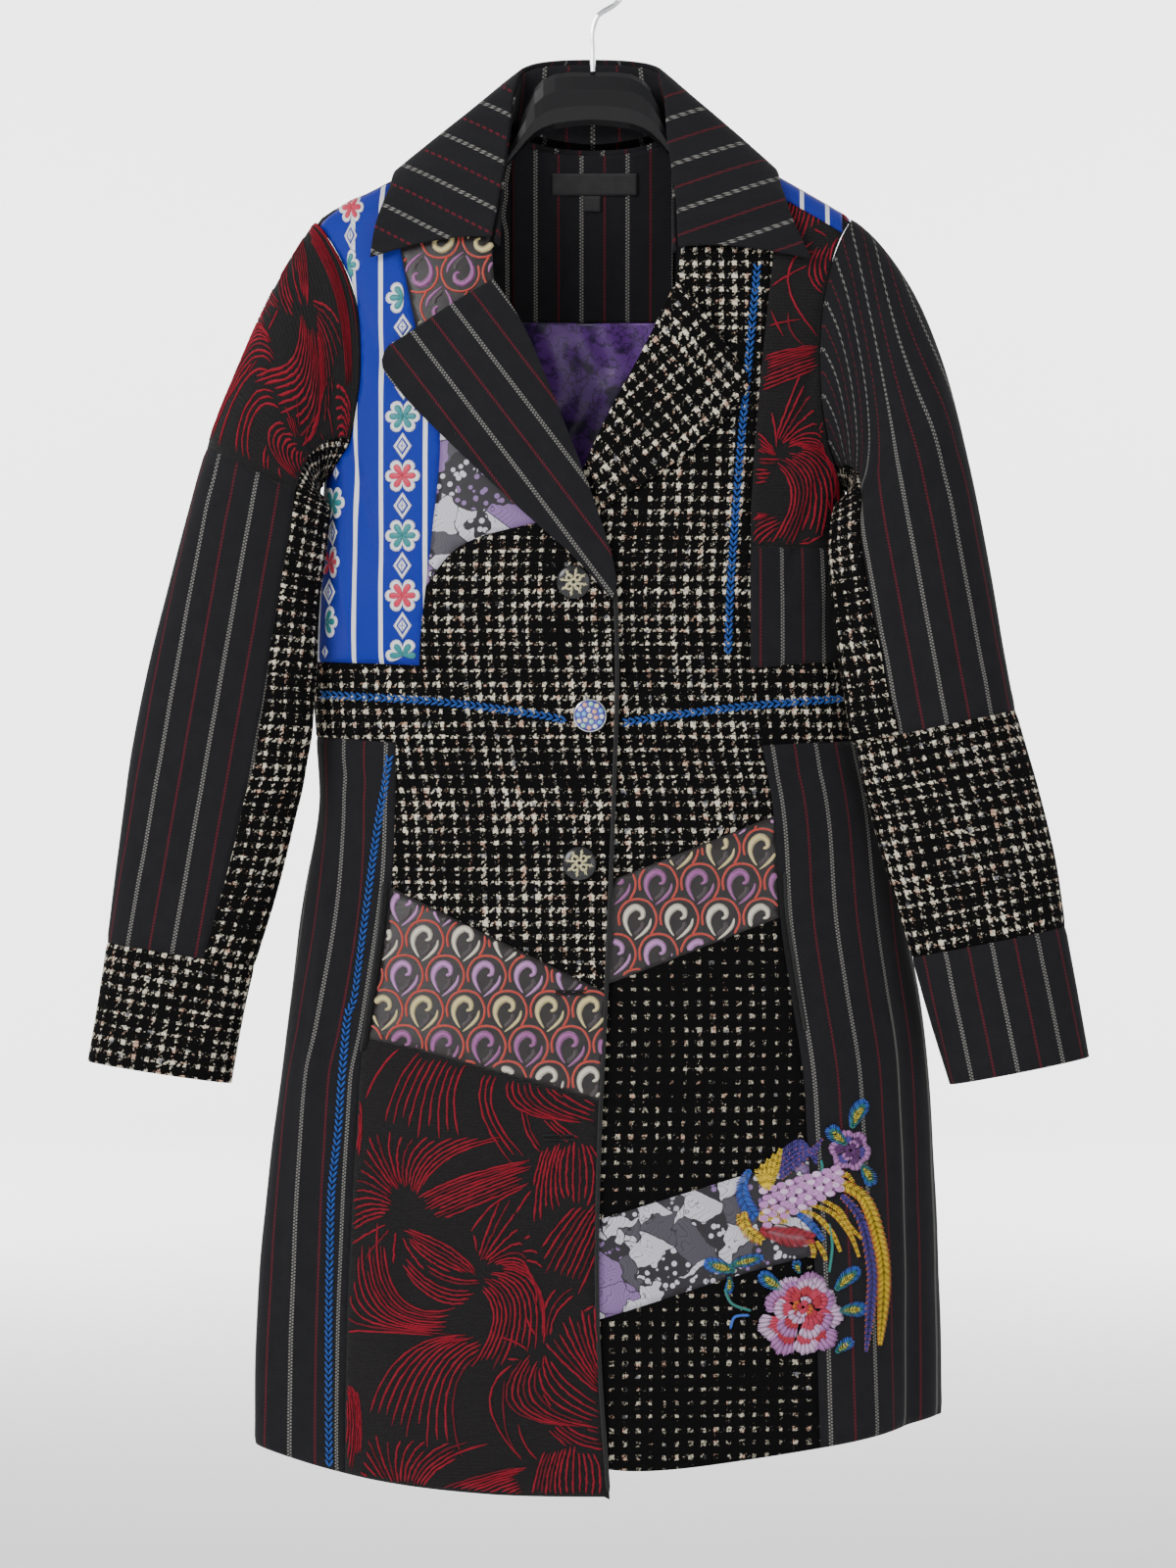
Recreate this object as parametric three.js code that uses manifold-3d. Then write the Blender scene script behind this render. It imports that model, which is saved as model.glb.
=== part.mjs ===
// A long patchwork coat, buttoned, on a moulded hanger with a wire hook.
// Millimetres, +Z up, the front faces -Y and the wearer's left is +X.
// The origin is inside the top of the hook, where a rail carries it.
// A "drop" is a distance straight down from there, so z = -drop.
import * as THREE from 'three';
import { mergeVertices } from 'three/addons/utils/BufferGeometryUtils.js';
import Module from 'manifold-3d';

const wasm = await Module();
wasm.setup();

// Driving dimensions
const CLOTH = 2.2;            // wall of the coat's outer cloth with its backing
const LAPEL_CLOTH = 3.0;      // a lapel is two cloths and a canvas
const COLLAR_CLOTH = 3.0;
const STAND_CLOTH = 1.8;
const THIN_CLOTH = 1.2;       // lining, facing and label
const SEAM = 0.3;             // gap between two cut pieces
const SIDE_DEPTH = 10;        // y of the side edges
const NECK_DROP = 121;        // where the shoulder line meets the neck
const HEM_BLEND = 850;        // below this drop the rows turn into the hem's curve
const ROWS_END = 1030;
const WAIST_TOP = 490;
const UNDER_INSET = 2.9;      // how far the under front lies below the over front
const FRONT_LAP = 30;         // the under front reaches this far past the middle
const CUTTER_REACH = 400;
const OPENING_REACH = 130;    // the neck's cutter goes this far past the middle
const SLEEVE_REACH = 320;     // the armhole's cutter goes this far out
const BODY_REACH = 40;        // and this near to the middle on the sleeve's side
const SLEEVE_OVERLAP = 6;     // a sleeve's first row lies this far over the body
const LAPEL_FOOT = 436;       // drop at which the over front's roll line ends
const SIDE_SLOPE = 2.2;       // a step round the body at its side against one in front
const SEAT = 0.6;             // gap between a button and the cloth
const PAD_GAP = 0.8;          // gap between an embroidered pad and the cloth
const BUTTON_RADIUS = 11.7;
const BUTTON_THICK = 4.2;
const WIRE_RADIUS = 1.8;
const HOOK_DEPTH = 5;         // y of the hook in the coat's own tables
const HOOK_INSIDE = 20;       // inner radius of the hook's loop
const APPLIQUE = 1.3;         // height of the embroidered pads

// Level sections of the body. right and left are the x of the side edges, front
// and back are how far the cloth stands before and behind them.
const BODY = [
  { drop: 121, right: -60, left: 60, front: 11, back: 12 },
  { drop: 138, right: -99, left: 96, front: 18, back: 18 },
  { drop: 154, right: -135, left: 127, front: 25, back: 24 },
  { drop: 164, right: -154, left: 145, front: 29, back: 27 },
  { drop: 176, right: -178, left: 166, front: 34, back: 30 },
  { drop: 187, right: -191, left: 183, front: 38, back: 32 },
  { drop: 210, right: -193, left: 186, front: 44, back: 37 },
  { drop: 270, right: -190, left: 183, front: 55, back: 43 },
  { drop: 345, right: -185, left: 175, front: 63, back: 45 },
  { drop: 400, right: -187, left: 171, front: 66, back: 43 },
  { drop: 440, right: -192, left: 172, front: 65, back: 39 },
  { drop: 490, right: -193, left: 177, front: 60, back: 35 },
  { drop: 544, right: -190, left: 183, front: 57, back: 33 },
  { drop: 585, right: -188, left: 194, front: 60, back: 37 },
  { drop: 637, right: -197, left: 209, front: 64, back: 44 },
  { drop: 677, right: -203, left: 217, front: 67, back: 48 },
  { drop: 737, right: -210, left: 227, front: 70, back: 53 },
  { drop: 790, right: -217, left: 231, front: 72, back: 56 },
  { drop: 857, right: -225, left: 234, front: 75, back: 58 },
  { drop: 937, right: -231, left: 236, front: 78, back: 60 },
  { drop: 1060, right: -232, left: 237, front: 82, back: 62 },
];

// Soft folds that grow from the waist to the hem. turn is the place round the
// body in degrees, 0 at the front, 90 at the wearer's left side, 180 behind.
const SKIRT_FOLDS = [
  { turn: -150, spread: 13, depth: -11 },
  { turn: -122, spread: 11, depth: 8 },
  { turn: -98, spread: 9, depth: -7 },
  { turn: -74, spread: 9, depth: 6 },
  { turn: -52, spread: 10, depth: -7 },
  { turn: -22, spread: 14, depth: 4 },
  { turn: 24, spread: 12, depth: -4 },
  { turn: 50, spread: 10, depth: 5 },
  { turn: 70, spread: 8, depth: -7 },
  { turn: 96, spread: 9, depth: 5 },
  { turn: 120, spread: 11, depth: -9 },
  { turn: 146, spread: 12, depth: 8 },
  { turn: 178, spread: 14, depth: 5 },
];

// Armhole seam seen from the front: x at each drop, on either side
const RIGHT_ARMHOLE = [
  { drop: 185, x: -190 },
  { drop: 198, x: -180 },
  { drop: 224, x: -167 },
  { drop: 255, x: -160 },
  { drop: 290, x: -158.5 },
  { drop: 316, x: -162 },
  { drop: 340, x: -168 },
  { drop: 366, x: -187 },
];
const LEFT_ARMHOLE = [
  { drop: 182, x: 178 },
  { drop: 196, x: 170 },
  { drop: 224, x: 161 },
  { drop: 255, x: 156.5 },
  { drop: 285, x: 155 },
  { drop: 317, x: 157 },
  { drop: 344, x: 163 },
  { drop: 366, x: 173 },
];

// Sleeve rings from the armhole to the cuff. out is the outer edge, in the edge
// beside the body, midY the ring's middle and half its half thickness;
// armhole says how much of the ring still has the armhole's own outline.
const RIGHT_SLEEVE = [
  { outX: -190, outDrop: 185, inX: -187, inDrop: 366, midY: 10, half: 38, armhole: 1 },
  { outX: -200, outDrop: 193, inX: -188.5, inDrop: 368, midY: 8, half: 38, armhole: 0.7 },
  { outX: -213, outDrop: 216, inX: -188, inDrop: 370, midY: 5, half: 37, armhole: 0.45 },
  { outX: -230, outDrop: 250, inX: -187, inDrop: 373, midY: 0, half: 36, armhole: 0.2 },
  { outX: -246, outDrop: 292, inX: -185, inDrop: 376, midY: -6, half: 34, armhole: 0.05 },
  { outX: -264, outDrop: 341, inX: -182, inDrop: 381, midY: -13, half: 31, armhole: 0 },
  { outX: -276, outDrop: 385, inX: -182, inDrop: 408, midY: -18, half: 29, armhole: 0 },
  { outX: -289, outDrop: 435, inX: -186, inDrop: 448, midY: -20, half: 27, armhole: 0 },
  { outX: -302, outDrop: 487, inX: -188, inDrop: 495, midY: -21, half: 26, armhole: 0 },
  { outX: -313, outDrop: 541, inX: -192, inDrop: 547, midY: -21, half: 26, armhole: 0 },
  { outX: -320, outDrop: 590, inX: -203, inDrop: 597, midY: -21, half: 25, armhole: 0 },
  { outX: -326, outDrop: 637, inX: -216, inDrop: 648, midY: -21, half: 24, armhole: 0 },
  { outX: -331, outDrop: 678, inX: -230, inDrop: 694, midY: -22, half: 23, armhole: 0 },
  { outX: -337, outDrop: 718, inX: -239, inDrop: 734, midY: -22, half: 22, armhole: 0 },
  { outX: -344, outDrop: 759, inX: -246, inDrop: 774, midY: -22, half: 21, armhole: 0 },
];
const LEFT_SLEEVE = [
  { outX: 178, outDrop: 182, inX: 173, inDrop: 366, midY: 10, half: 38, armhole: 1 },
  { outX: 193, outDrop: 191, inX: 176, inDrop: 368, midY: 8, half: 38, armhole: 0.7 },
  { outX: 213, outDrop: 213, inX: 177.5, inDrop: 370, midY: 5, half: 37, armhole: 0.45 },
  { outX: 230, outDrop: 245, inX: 177, inDrop: 373, midY: 0, half: 36, armhole: 0.2 },
  { outX: 241, outDrop: 282, inX: 174, inDrop: 376, midY: -7, half: 34, armhole: 0.05 },
  { outX: 251, outDrop: 326, inX: 169, inDrop: 381, midY: -15, half: 31, armhole: 0 },
  { outX: 262, outDrop: 378, inX: 163, inDrop: 408, midY: -20, half: 29, armhole: 0 },
  { outX: 272, outDrop: 432, inX: 165, inDrop: 446, midY: -22, half: 27, armhole: 0 },
  { outX: 280, outDrop: 480, inX: 171, inDrop: 497, midY: -23, half: 26, armhole: 0 },
  { outX: 288, outDrop: 520, inX: 178, inDrop: 543, midY: -23, half: 26, armhole: 0 },
  { outX: 303, outDrop: 572, inX: 189, inDrop: 592, midY: -23, half: 25, armhole: 0 },
  { outX: 315, outDrop: 621, inX: 203, inDrop: 640, midY: -22, half: 24, armhole: 0 },
  { outX: 322, outDrop: 667, inX: 217, inDrop: 688, midY: -22, half: 23, armhole: 0 },
  { outX: 330, outDrop: 711, inX: 229, inDrop: 730, midY: -22, half: 22, armhole: 0 },
  { outX: 338, outDrop: 756, inX: 243, inDrop: 775, midY: -22, half: 21, armhole: 0 },
];

// Places of a collar half, from its front end to the middle of the back:
// seam is the neck seam, fold the top, edge the outer edge of the fall.
const RIGHT_COLLAR = [
  {
    seamX: -64, seamY: -27, seamDrop: 205, foldX: -69, foldY: -36, foldDrop: 199,
    edgeX: -152, edgeY: -26, edgeDrop: 212,
  },
  {
    seamX: -63, seamY: -20, seamDrop: 170, foldX: -63, foldY: -28, foldDrop: 166,
    edgeX: -148, edgeY: -24, edgeDrop: 188,
  },
  {
    seamX: -61, seamY: -5, seamDrop: 140, foldX: -58, foldY: -13, foldDrop: 130,
    edgeX: -140, edgeY: -12, edgeDrop: 164,
  },
  {
    seamX: -57, seamY: 10, seamDrop: 117.5, foldX: -53, foldY: 8, foldDrop: 93,
    edgeX: -133, edgeY: 12, edgeDrop: 148,
  },
  {
    seamX: -46, seamY: 20, seamDrop: 123, foldX: -42, foldY: 29, foldDrop: 80,
    edgeX: -104, edgeY: 43, edgeDrop: 164,
  },
  {
    seamX: 0, seamY: 25, seamDrop: 130, foldX: 0, foldY: 37, foldDrop: 77,
    edgeX: 0, edgeY: 56, edgeDrop: 177,
  },
];
const LEFT_COLLAR = [
  {
    seamX: 55, seamY: -28, seamDrop: 210, foldX: 58, foldY: -38, foldDrop: 206,
    edgeX: 149, edgeY: -26, edgeDrop: 213,
  },
  {
    seamX: 56, seamY: -21, seamDrop: 172, foldX: 56, foldY: -29, foldDrop: 168,
    edgeX: 137, edgeY: -24, edgeDrop: 187,
  },
  {
    seamX: 58.5, seamY: -6, seamDrop: 140, foldX: 51, foldY: -13, foldDrop: 130,
    edgeX: 130, edgeY: -12, edgeDrop: 164,
  },
  {
    seamX: 57.5, seamY: 10, seamDrop: 116.5, foldX: 48, foldY: 8, foldDrop: 91,
    edgeX: 124, edgeY: 12, edgeDrop: 147,
  },
  {
    seamX: 46, seamY: 20, seamDrop: 123, foldX: 40, foldY: 29, foldDrop: 80,
    edgeX: 100, edgeY: 43, edgeDrop: 164,
  },
  {
    seamX: 0, seamY: 25, seamDrop: 130, foldX: 0, foldY: 37, foldDrop: 77,
    edgeX: 0, edgeY: 56, edgeDrop: 177,
  },
];

// Lapel outlines from the front, as [x, drop]
const RIGHT_LAPEL = {
  roll: [[-67, 229], [-54, 248], [-40, 275], [-10, 350], [11, 410], [16, 436]],
  outer: [[-138, 273], [-143, 282], [-138, 295], [-110, 326], [-52, 382], [-14, 416], [13, 446]],
};
const LEFT_LAPEL = {
  roll: [[57, 228], [47, 249], [35, 274], [21, 300], [5, 331], [-4, 351]],
  outer: [[101, 288], [105, 298], [101, 308], [80, 331], [59, 350], [38, 365], [6, 385]],
};

// Hem drop at each x, from the front
const OVER_HEM = [
  { x: -235, drop: 1020 },
  { x: -170, drop: 1037 },
  { x: -70, drop: 1047 },
  { x: 16, drop: 1049 },
];
const UNDER_HEM = [
  { x: -30, drop: 1026 },
  { x: 37, drop: 1032 },
  { x: 157, drop: 1018 },
  { x: 237, drop: 1003 },
];
const BACK_HEM = [
  { x: -235, drop: 1020 },
  { x: 0, drop: 1030 },
  { x: 237, drop: 1003 },
];

// Front edge of the over front below the lapel: x at each drop
const OVER_EDGE = [
  { drop: 400, x: 14 },
  { drop: 490, x: 17 },
  { drop: 585, x: 14.5 },
  { drop: 700, x: 10 },
  { drop: 840, x: 4 },
  { drop: 940, x: 4 },
  { drop: 1060, x: 12 },
];

// Seams of the over front, as [x, drop]
const OVER_SEAMS = {
  braid: [
    [-141, 150], [-136, 175], [-131, 208], [-120, 262],
    [-104, 328], [-109, 400], [-116, 460], [-118, 491],
  ],
  chest: [[-113, 291], [-80, 270], [-40, 252], [-20, 248]],
  print: [[-115.5, 440], [-92, 411], [-52, 397], [22, 384]],
  waist: [[-260, 484], [-118, 490], [13, 497], [40, 498]],
  band: [[-260, 532], [-137, 542], [-70, 547], [40, 551]],
  side: [[-134, 541], [-137, 637], [-153, 737], [-160, 770], [-170, 937], [-173, 1070]],
  paisleyTop: [[-138, 640], [-65, 675], [7, 710], [40, 724]],
  paisleyFoot: [[-158, 742], [-103, 754], [7, 784], [40, 793]],
};

// Seams of the under front
const UNDER_SEAMS = {
  plume: [[131, 140], [127, 180], [122, 218], [113, 304], [108, 370], [107, 410], [107, 493]],
  plumeFoot: [[106, 410], [240, 409]],
  waist: [[-60, 499], [15, 497], [103, 492], [163, 487], [240, 484]],
  band: [[-60, 552], [17, 550], [63, 549], [117, 544], [240, 538]],
  side: [
    [115, 543], [123, 592], [127, 660], [133, 704],
    [142, 760], [145, 804], [150, 904], [154, 1070],
  ],
  paisleyTop: [[-60, 660], [15, 634], [125, 591]],
  paisleyFoot: [[-60, 730], [13, 704], [128, 660]],
  printTop: [[-60, 882], [5, 863], [103, 834], [147, 822]],
  printFoot: [[-60, 946], [5, 930], [90, 904], [151, 888]],
};

// Seams of the back
const BACK_SEAMS = {
  yoke: [[-260, 246], [0, 238], [260, 246]],
  braid: [[122, 100], [128, 260]],
  waist: [[-260, 484], [0, 492], [260, 484]],
  band: [[-260, 532], [0, 548], [260, 538]],
  middle: [[0, 230], [0, 500]],
  skirt: [[0, 540], [0, 1080]],
};

// Buttons on the over front
const BUTTONS = [
  { name: 'button_1', x: -13, drop: 434, style: 'rosette' },
  { name: 'button_2', x: -2, drop: 524, style: 'mosaic' },
  { name: 'button_3', x: -9, drop: 624, style: 'rosette' },
];

// Hanger: top and foot drop, middle y and half depth at each distance from its middle
const HANGER = [
  { reach: 0, top: 82, foot: 118, midY: 5, half: 7 },
  { reach: 26, top: 83, foot: 121, midY: 5, half: 7 },
  { reach: 40, top: 93, foot: 127, midY: 5, half: 7 },
  { reach: 50, top: 115, foot: 136, midY: 6, half: 6 },
  { reach: 60, top: 134, foot: 147, midY: 9, half: 6 },
  { reach: 96, top: 142, foot: 163, midY: 9.5, half: 8 },
  { reach: 127, top: 157.6, foot: 180, midY: 10, half: 9 },
  { reach: 150, top: 172.4, foot: 194, midY: 10, half: 10 },
  { reach: 162, top: 181, foot: 200, midY: 10, half: 10.5 },
];

// Finishes of the cloths and hard parts
const FINISH = {
  pinstripe: { color: 0x232326, roughness: 0.92, metalness: 0 },
  tweed: { color: 0x56534e, roughness: 0.97, metalness: 0 },
  plume: { color: 0x4a0d14, roughness: 0.97, metalness: 0 },
  paisley: { color: 0x5a3b3c, roughness: 0.55, metalness: 0 },
  braid: { color: 0x1c3fb4, roughness: 0.6, metalness: 0 },
  print: { color: 0x8a819a, roughness: 0.6, metalness: 0 },
  lining: { color: 0x5b3380, roughness: 0.4, metalness: 0 },
  label: { color: 0x141416, roughness: 0.8, metalness: 0 },
  thread: { color: 0xd8a23a, roughness: 0.5, metalness: 0 },
  rosette: { color: 0x18181a, roughness: 0.3, metalness: 0 },
  mosaic: { color: 0x6f7fd0, roughness: 0.25, metalness: 0 },
  plastic: { color: 0x141416, roughness: 0.35, metalness: 0 },
  steel: { color: 0xb8bcc0, roughness: 0.2, metalness: 1 },
};

const coat = new THREE.Group();

function addPiece(name, finish, geometry) {
  const clean = geometry.clone();
  clean.computeVertexNormals();
  const mesh = new THREE.Mesh(clean, new THREE.MeshStandardMaterial(FINISH[finish]));
  mesh.name = name;
  coat.add(mesh);
}

// A smooth curve through one column of a table, read at a key's value
function readTable(table, key, column, value) {
  const last = table.length - 1;
  if (value <= table[0][key]) return table[0][column];
  if (value >= table[last][key]) return table[last][column];
  let i = 0;
  while (value > table[i + 1][key]) i += 1;
  const slope = (j) => {
    const low = Math.max(j - 1, 0);
    const high = Math.min(j + 1, last);
    return (table[high][column] - table[low][column]) / (table[high][key] - table[low][key]);
  };
  const span = table[i + 1][key] - table[i][key];
  const t = (value - table[i][key]) / span;
  const t2 = t * t;
  const t3 = t2 * t;
  return (2 * t3 - 3 * t2 + 1) * table[i][column] + (t3 - 2 * t2 + t) * span * slope(i)
    + (3 * t2 - 2 * t3) * table[i + 1][column] + (t3 - t2) * span * slope(i + 1);
}

// A smooth run of places through a few [x, drop] points
function smoothRun(points, count) {
  const curve = new THREE.SplineCurve(points.map(([x, drop]) => new THREE.Vector2(x, drop)));
  return curve.getSpacedPoints(count).map((p) => [p.x, p.y]);
}

function lerp(a, b, t) {
  return a + (b - a) * t;
}

function smoothstep(low, high, value) {
  const t = Math.min(Math.max((value - low) / (high - low), 0), 1);
  return t * t * (3 - 2 * t);
}

// The body's surface

function bodySection(drop) {
  const right = readTable(BODY, 'drop', 'right', drop);
  const left = readTable(BODY, 'drop', 'left', drop);
  return {
    middle: (left + right) / 2,
    half: (left - right) / 2,
    front: readTable(BODY, 'drop', 'front', drop),
    back: readTable(BODY, 'drop', 'back', drop),
  };
}

// The turn, in degrees, at which the front shows a given x
function frontTurn(x, drop) {
  const section = bodySection(drop);
  const ratio = Math.min(Math.max((x - section.middle) / section.half, -1), 1);
  return THREE.MathUtils.radToDeg(Math.asin(ratio));
}

function foldDepth(turn, drop) {
  const grown = Math.max((drop - 560) / 480, 0) ** 1.3;
  let depth = 0;
  for (const fold of SKIRT_FOLDS) {
    let away = turn - fold.turn;
    away -= 360 * Math.round(away / 360);
    depth += fold.depth * Math.exp(-((away / fold.spread) ** 2));
  }
  return depth * grown;
}

function skinPoint(turn, drop) {
  const section = bodySection(drop);
  const angle = THREE.MathUtils.degToRad(turn);
  const side = Math.sin(angle);
  const face = Math.cos(angle);
  const depth = face > 0 ? section.front : section.back;
  const fold = foldDepth(turn, drop);
  return new THREE.Vector3(
    section.middle + (section.half + fold) * side,
    SIDE_DEPTH - (depth + fold) * face,
    -drop,
  );
}

function skinNormal(turn, drop) {
  const step = 0.5;
  const round = skinPoint(turn + step, drop).sub(skinPoint(turn - step, drop));
  const top = Math.max(drop - step, NECK_DROP);
  const down = skinPoint(turn, drop + step).sub(skinPoint(turn, top));
  return down.cross(round).normalize();
}

// A place on the body, moved inward by an inset
function bodyPoint(turn, drop, inset) {
  return skinPoint(turn, drop).addScaledVector(skinNormal(turn, drop), -inset);
}

function frontPoint(x, drop, inset) {
  return bodyPoint(frontTurn(x, drop), drop, inset);
}

function backPoint(x, drop, inset) {
  return bodyPoint(180 - frontTurn(x, drop), drop, inset);
}

// Walls from rows of points

// Closes an outer and an inner grid of points into one solid
function closeWall(outer, inner, round = false) {
  const rows = outer.length;
  const columns = outer[0].length;
  const positions = [];
  for (const grid of [outer, inner]) {
    for (const row of grid) {
      for (const p of row) positions.push(p.x, p.y, p.z);
    }
  }
  const at = (layer, i, j) => layer * rows * columns + i * columns + (j % columns);
  const faces = [];
  const quad = (a, b, c, d) => faces.push(a, b, c, a, c, d);
  const spans = round ? columns : columns - 1;
  for (let i = 0; i < rows - 1; i += 1) {
    for (let j = 0; j < spans; j += 1) {
      quad(at(0, i, j), at(0, i + 1, j), at(0, i + 1, j + 1), at(0, i, j + 1));
      quad(at(1, i, j), at(1, i, j + 1), at(1, i + 1, j + 1), at(1, i + 1, j));
    }
  }
  for (let j = 0; j < spans; j += 1) {
    quad(at(0, 0, j), at(0, 0, j + 1), at(1, 0, j + 1), at(1, 0, j));
    quad(at(0, rows - 1, j), at(1, rows - 1, j), at(1, rows - 1, j + 1), at(0, rows - 1, j + 1));
  }
  if (!round) {
    const last = columns - 1;
    for (let i = 0; i < rows - 1; i += 1) {
      quad(at(0, i, 0), at(1, i, 0), at(1, i + 1, 0), at(0, i + 1, 0));
      quad(at(0, i, last), at(0, i + 1, last), at(1, i + 1, last), at(1, i, last));
    }
  }
  const geometry = new THREE.BufferGeometry();
  geometry.setAttribute('position', new THREE.Float32BufferAttribute(positions, 3));
  geometry.setIndex(faces);
  return faceOut(geometry);
}

// Turns a closed geometry's faces outward where they point in
function faceOut(geometry) {
  const p = geometry.getAttribute('position');
  const index = geometry.getIndex().array;
  const a = new THREE.Vector3();
  const b = new THREE.Vector3();
  const c = new THREE.Vector3();
  let volume = 0;
  for (let i = 0; i < index.length; i += 3) {
    a.fromBufferAttribute(p, index[i]);
    b.fromBufferAttribute(p, index[i + 1]);
    c.fromBufferAttribute(p, index[i + 2]);
    volume += a.dot(b.cross(c));
  }
  if (volume < 0) {
    const turned = Array.from(index);
    for (let i = 0; i < turned.length; i += 3) {
      [turned[i + 1], turned[i + 2]] = [turned[i + 2], turned[i + 1]];
    }
    geometry.setIndex(turned);
  }
  return geometry;
}

// Directions that point away from a grid of points, one for each point
function gridNormals(grid, round = false) {
  const rows = grid.length;
  const columns = grid[0].length;
  return grid.map((row, i) => row.map((point, j) => {
    const up = grid[Math.max(i - 1, 0)][j];
    const down = grid[Math.min(i + 1, rows - 1)][j];
    const before = round ? row[(j - 1 + columns) % columns] : row[Math.max(j - 1, 0)];
    const after = round ? row[(j + 1) % columns] : row[Math.min(j + 1, columns - 1)];
    return down.clone().sub(up).cross(after.clone().sub(before)).normalize();
  }));
}

function moveGrid(grid, normals, distance) {
  return grid.map((row, i) => row.map((p, j) => p.clone().addScaledVector(normals[i][j], distance)));
}

// Joining and cutting

function toSolid(geometry) {
  const bare = geometry.clone();
  bare.deleteAttribute('normal');
  bare.deleteAttribute('uv');
  const merged = mergeVertices(bare, 1e-4);
  return new wasm.Manifold(new wasm.Mesh({
    numProp: 3,
    vertProperties: new Float32Array(merged.getAttribute('position').array),
    triVerts: new Uint32Array(merged.getIndex().array),
  }));
}

function toGeometry(solid) {
  const mesh = solid.getMesh();
  const geometry = new THREE.BufferGeometry();
  const stride = mesh.numProp;
  const positions = [];
  for (let i = 0; i < mesh.vertProperties.length; i += stride) {
    positions.push(...mesh.vertProperties.slice(i, i + 3));
  }
  geometry.setAttribute('position', new THREE.Float32BufferAttribute(positions, 3));
  geometry.setIndex(Array.from(mesh.triVerts));
  return geometry;
}

// A block with a given outline from the front, as deep as it needs to be
function frontBlock(outline, from = -CUTTER_REACH, to = CUTTER_REACH) {
  const shape = new THREE.Shape(outline.map(([x, drop]) => new THREE.Vector2(x, -drop)));
  const block = new THREE.ExtrudeGeometry(shape, { depth: to - from, bevelEnabled: false });
  block.rotateX(Math.PI / 2);
  block.translate(0, to, 0);
  return toSolid(block);
}

// A thin blade along a seam, as wide as the gap it leaves
function seamBlade(points) {
  const run = smoothRun(points, 3 * (points.length - 1));
  const near = [];
  const far = [];
  run.forEach(([x, drop], i) => {
    const [x0, d0] = run[Math.max(i - 1, 0)];
    const [x1, d1] = run[Math.min(i + 1, run.length - 1)];
    const length = Math.hypot(x1 - x0, d1 - d0);
    const sideX = (-(d1 - d0) / length) * (SEAM / 2);
    const sideD = ((x1 - x0) / length) * (SEAM / 2);
    near.push([x + sideX, drop + sideD]);
    far.push([x - sideX, drop - sideD]);
  });
  return frontBlock([...near, ...far.reverse()]);
}

// Cuts a wall along its seams and names each part by a place inside it
function cutIntoPieces(wall, blades, names) {
  let solid = wall;
  for (const blade of blades) solid = solid.subtract(blade);
  const parts = solid.decompose();
  for (const [name, finish, x, drop] of names) {
    const probe = frontBlock([
      [x - 3, drop - 3],
      [x + 3, drop - 3],
      [x + 3, drop + 3],
      [x - 3, drop + 3],
    ]);
    const part = parts.find((candidate) => candidate.intersect(probe).volume() > 1);
    addPiece(name, finish, toGeometry(part));
  }
}

// The body's four walls

function rowDrops() {
  const drops = [121, 130, 140, 150, 162, 174, 187, 205];
  for (let drop = 235; drop < 480; drop += 35) drops.push(drop);
  for (let i = 0; i <= 12; i += 1) drops.push(lerp(WAIST_TOP, ROWS_END, i / 12));
  return drops;
}

// The seam between front and back: over the shoulder, then down the side
function sideTurn(drop) {
  return lerp(79, 96, smoothstep(200, 360, drop));
}

function bodyWall(startTurn, endTurn, columns, hem, insetAt) {
  const outer = [];
  const inner = [];
  for (const base of rowDrops()) {
    const outerRow = [];
    const innerRow = [];
    for (let j = 0; j <= columns; j += 1) {
      const turn = lerp(startTurn(base), endTurn(base), j / columns);
      let drop = base;
      if (base > HEM_BLEND) {
        const x = skinPoint(turn, base).x;
        const foot = readTable(hem, 'x', 'drop', x);
        drop = lerp(HEM_BLEND, foot, (base - HEM_BLEND) / (ROWS_END - HEM_BLEND));
      }
      const inset = insetAt(turn, drop);
      outerRow.push(bodyPoint(turn, drop, inset));
      innerRow.push(bodyPoint(turn, drop, inset + CLOTH));
    }
    outer.push(outerRow);
    inner.push(innerRow);
  }
  return toSolid(closeWall(outer, inner));
}

function halfSeamTurn(drop) {
  return THREE.MathUtils.radToDeg(SEAM / 2 / bodySection(drop).half) * SIDE_SLOPE;
}

// What the armhole takes off the body, and what it takes off the sleeve
function armholeCutter(table, shift, towardBody) {
  const side = Math.sign(table[0].x);
  const run = [];
  const first = table[0].drop;
  const last = table[table.length - 1].drop;
  for (let i = 0; i <= 14; i += 1) {
    const drop = lerp(first, last, i / 14);
    run.push([readTable(table, 'drop', 'x', drop) + side * shift, drop]);
  }
  const far = towardBody ? side * BODY_REACH : side * SLEEVE_REACH;
  const foot = run[run.length - 1];
  const head = run[0];
  const above = towardBody ? [head[0], first - 60] : [far, head[1] + 6];
  return frontBlock([...run, [far, foot[1]], [far, above[1]], ...(towardBody ? [above] : [])]);
}

function frontOpening(roll, neckX, overX) {
  const run = smoothRun(roll, 14);
  const far = -Math.sign(neckX) * OPENING_REACH;
  return frontBlock([
    [neckX, 90],
    [neckX * 1.05, 150],
    ...run,
    [overX, LAPEL_FOOT],
    [far, LAPEL_FOOT],
    [far, 90],
  ]);
}

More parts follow.
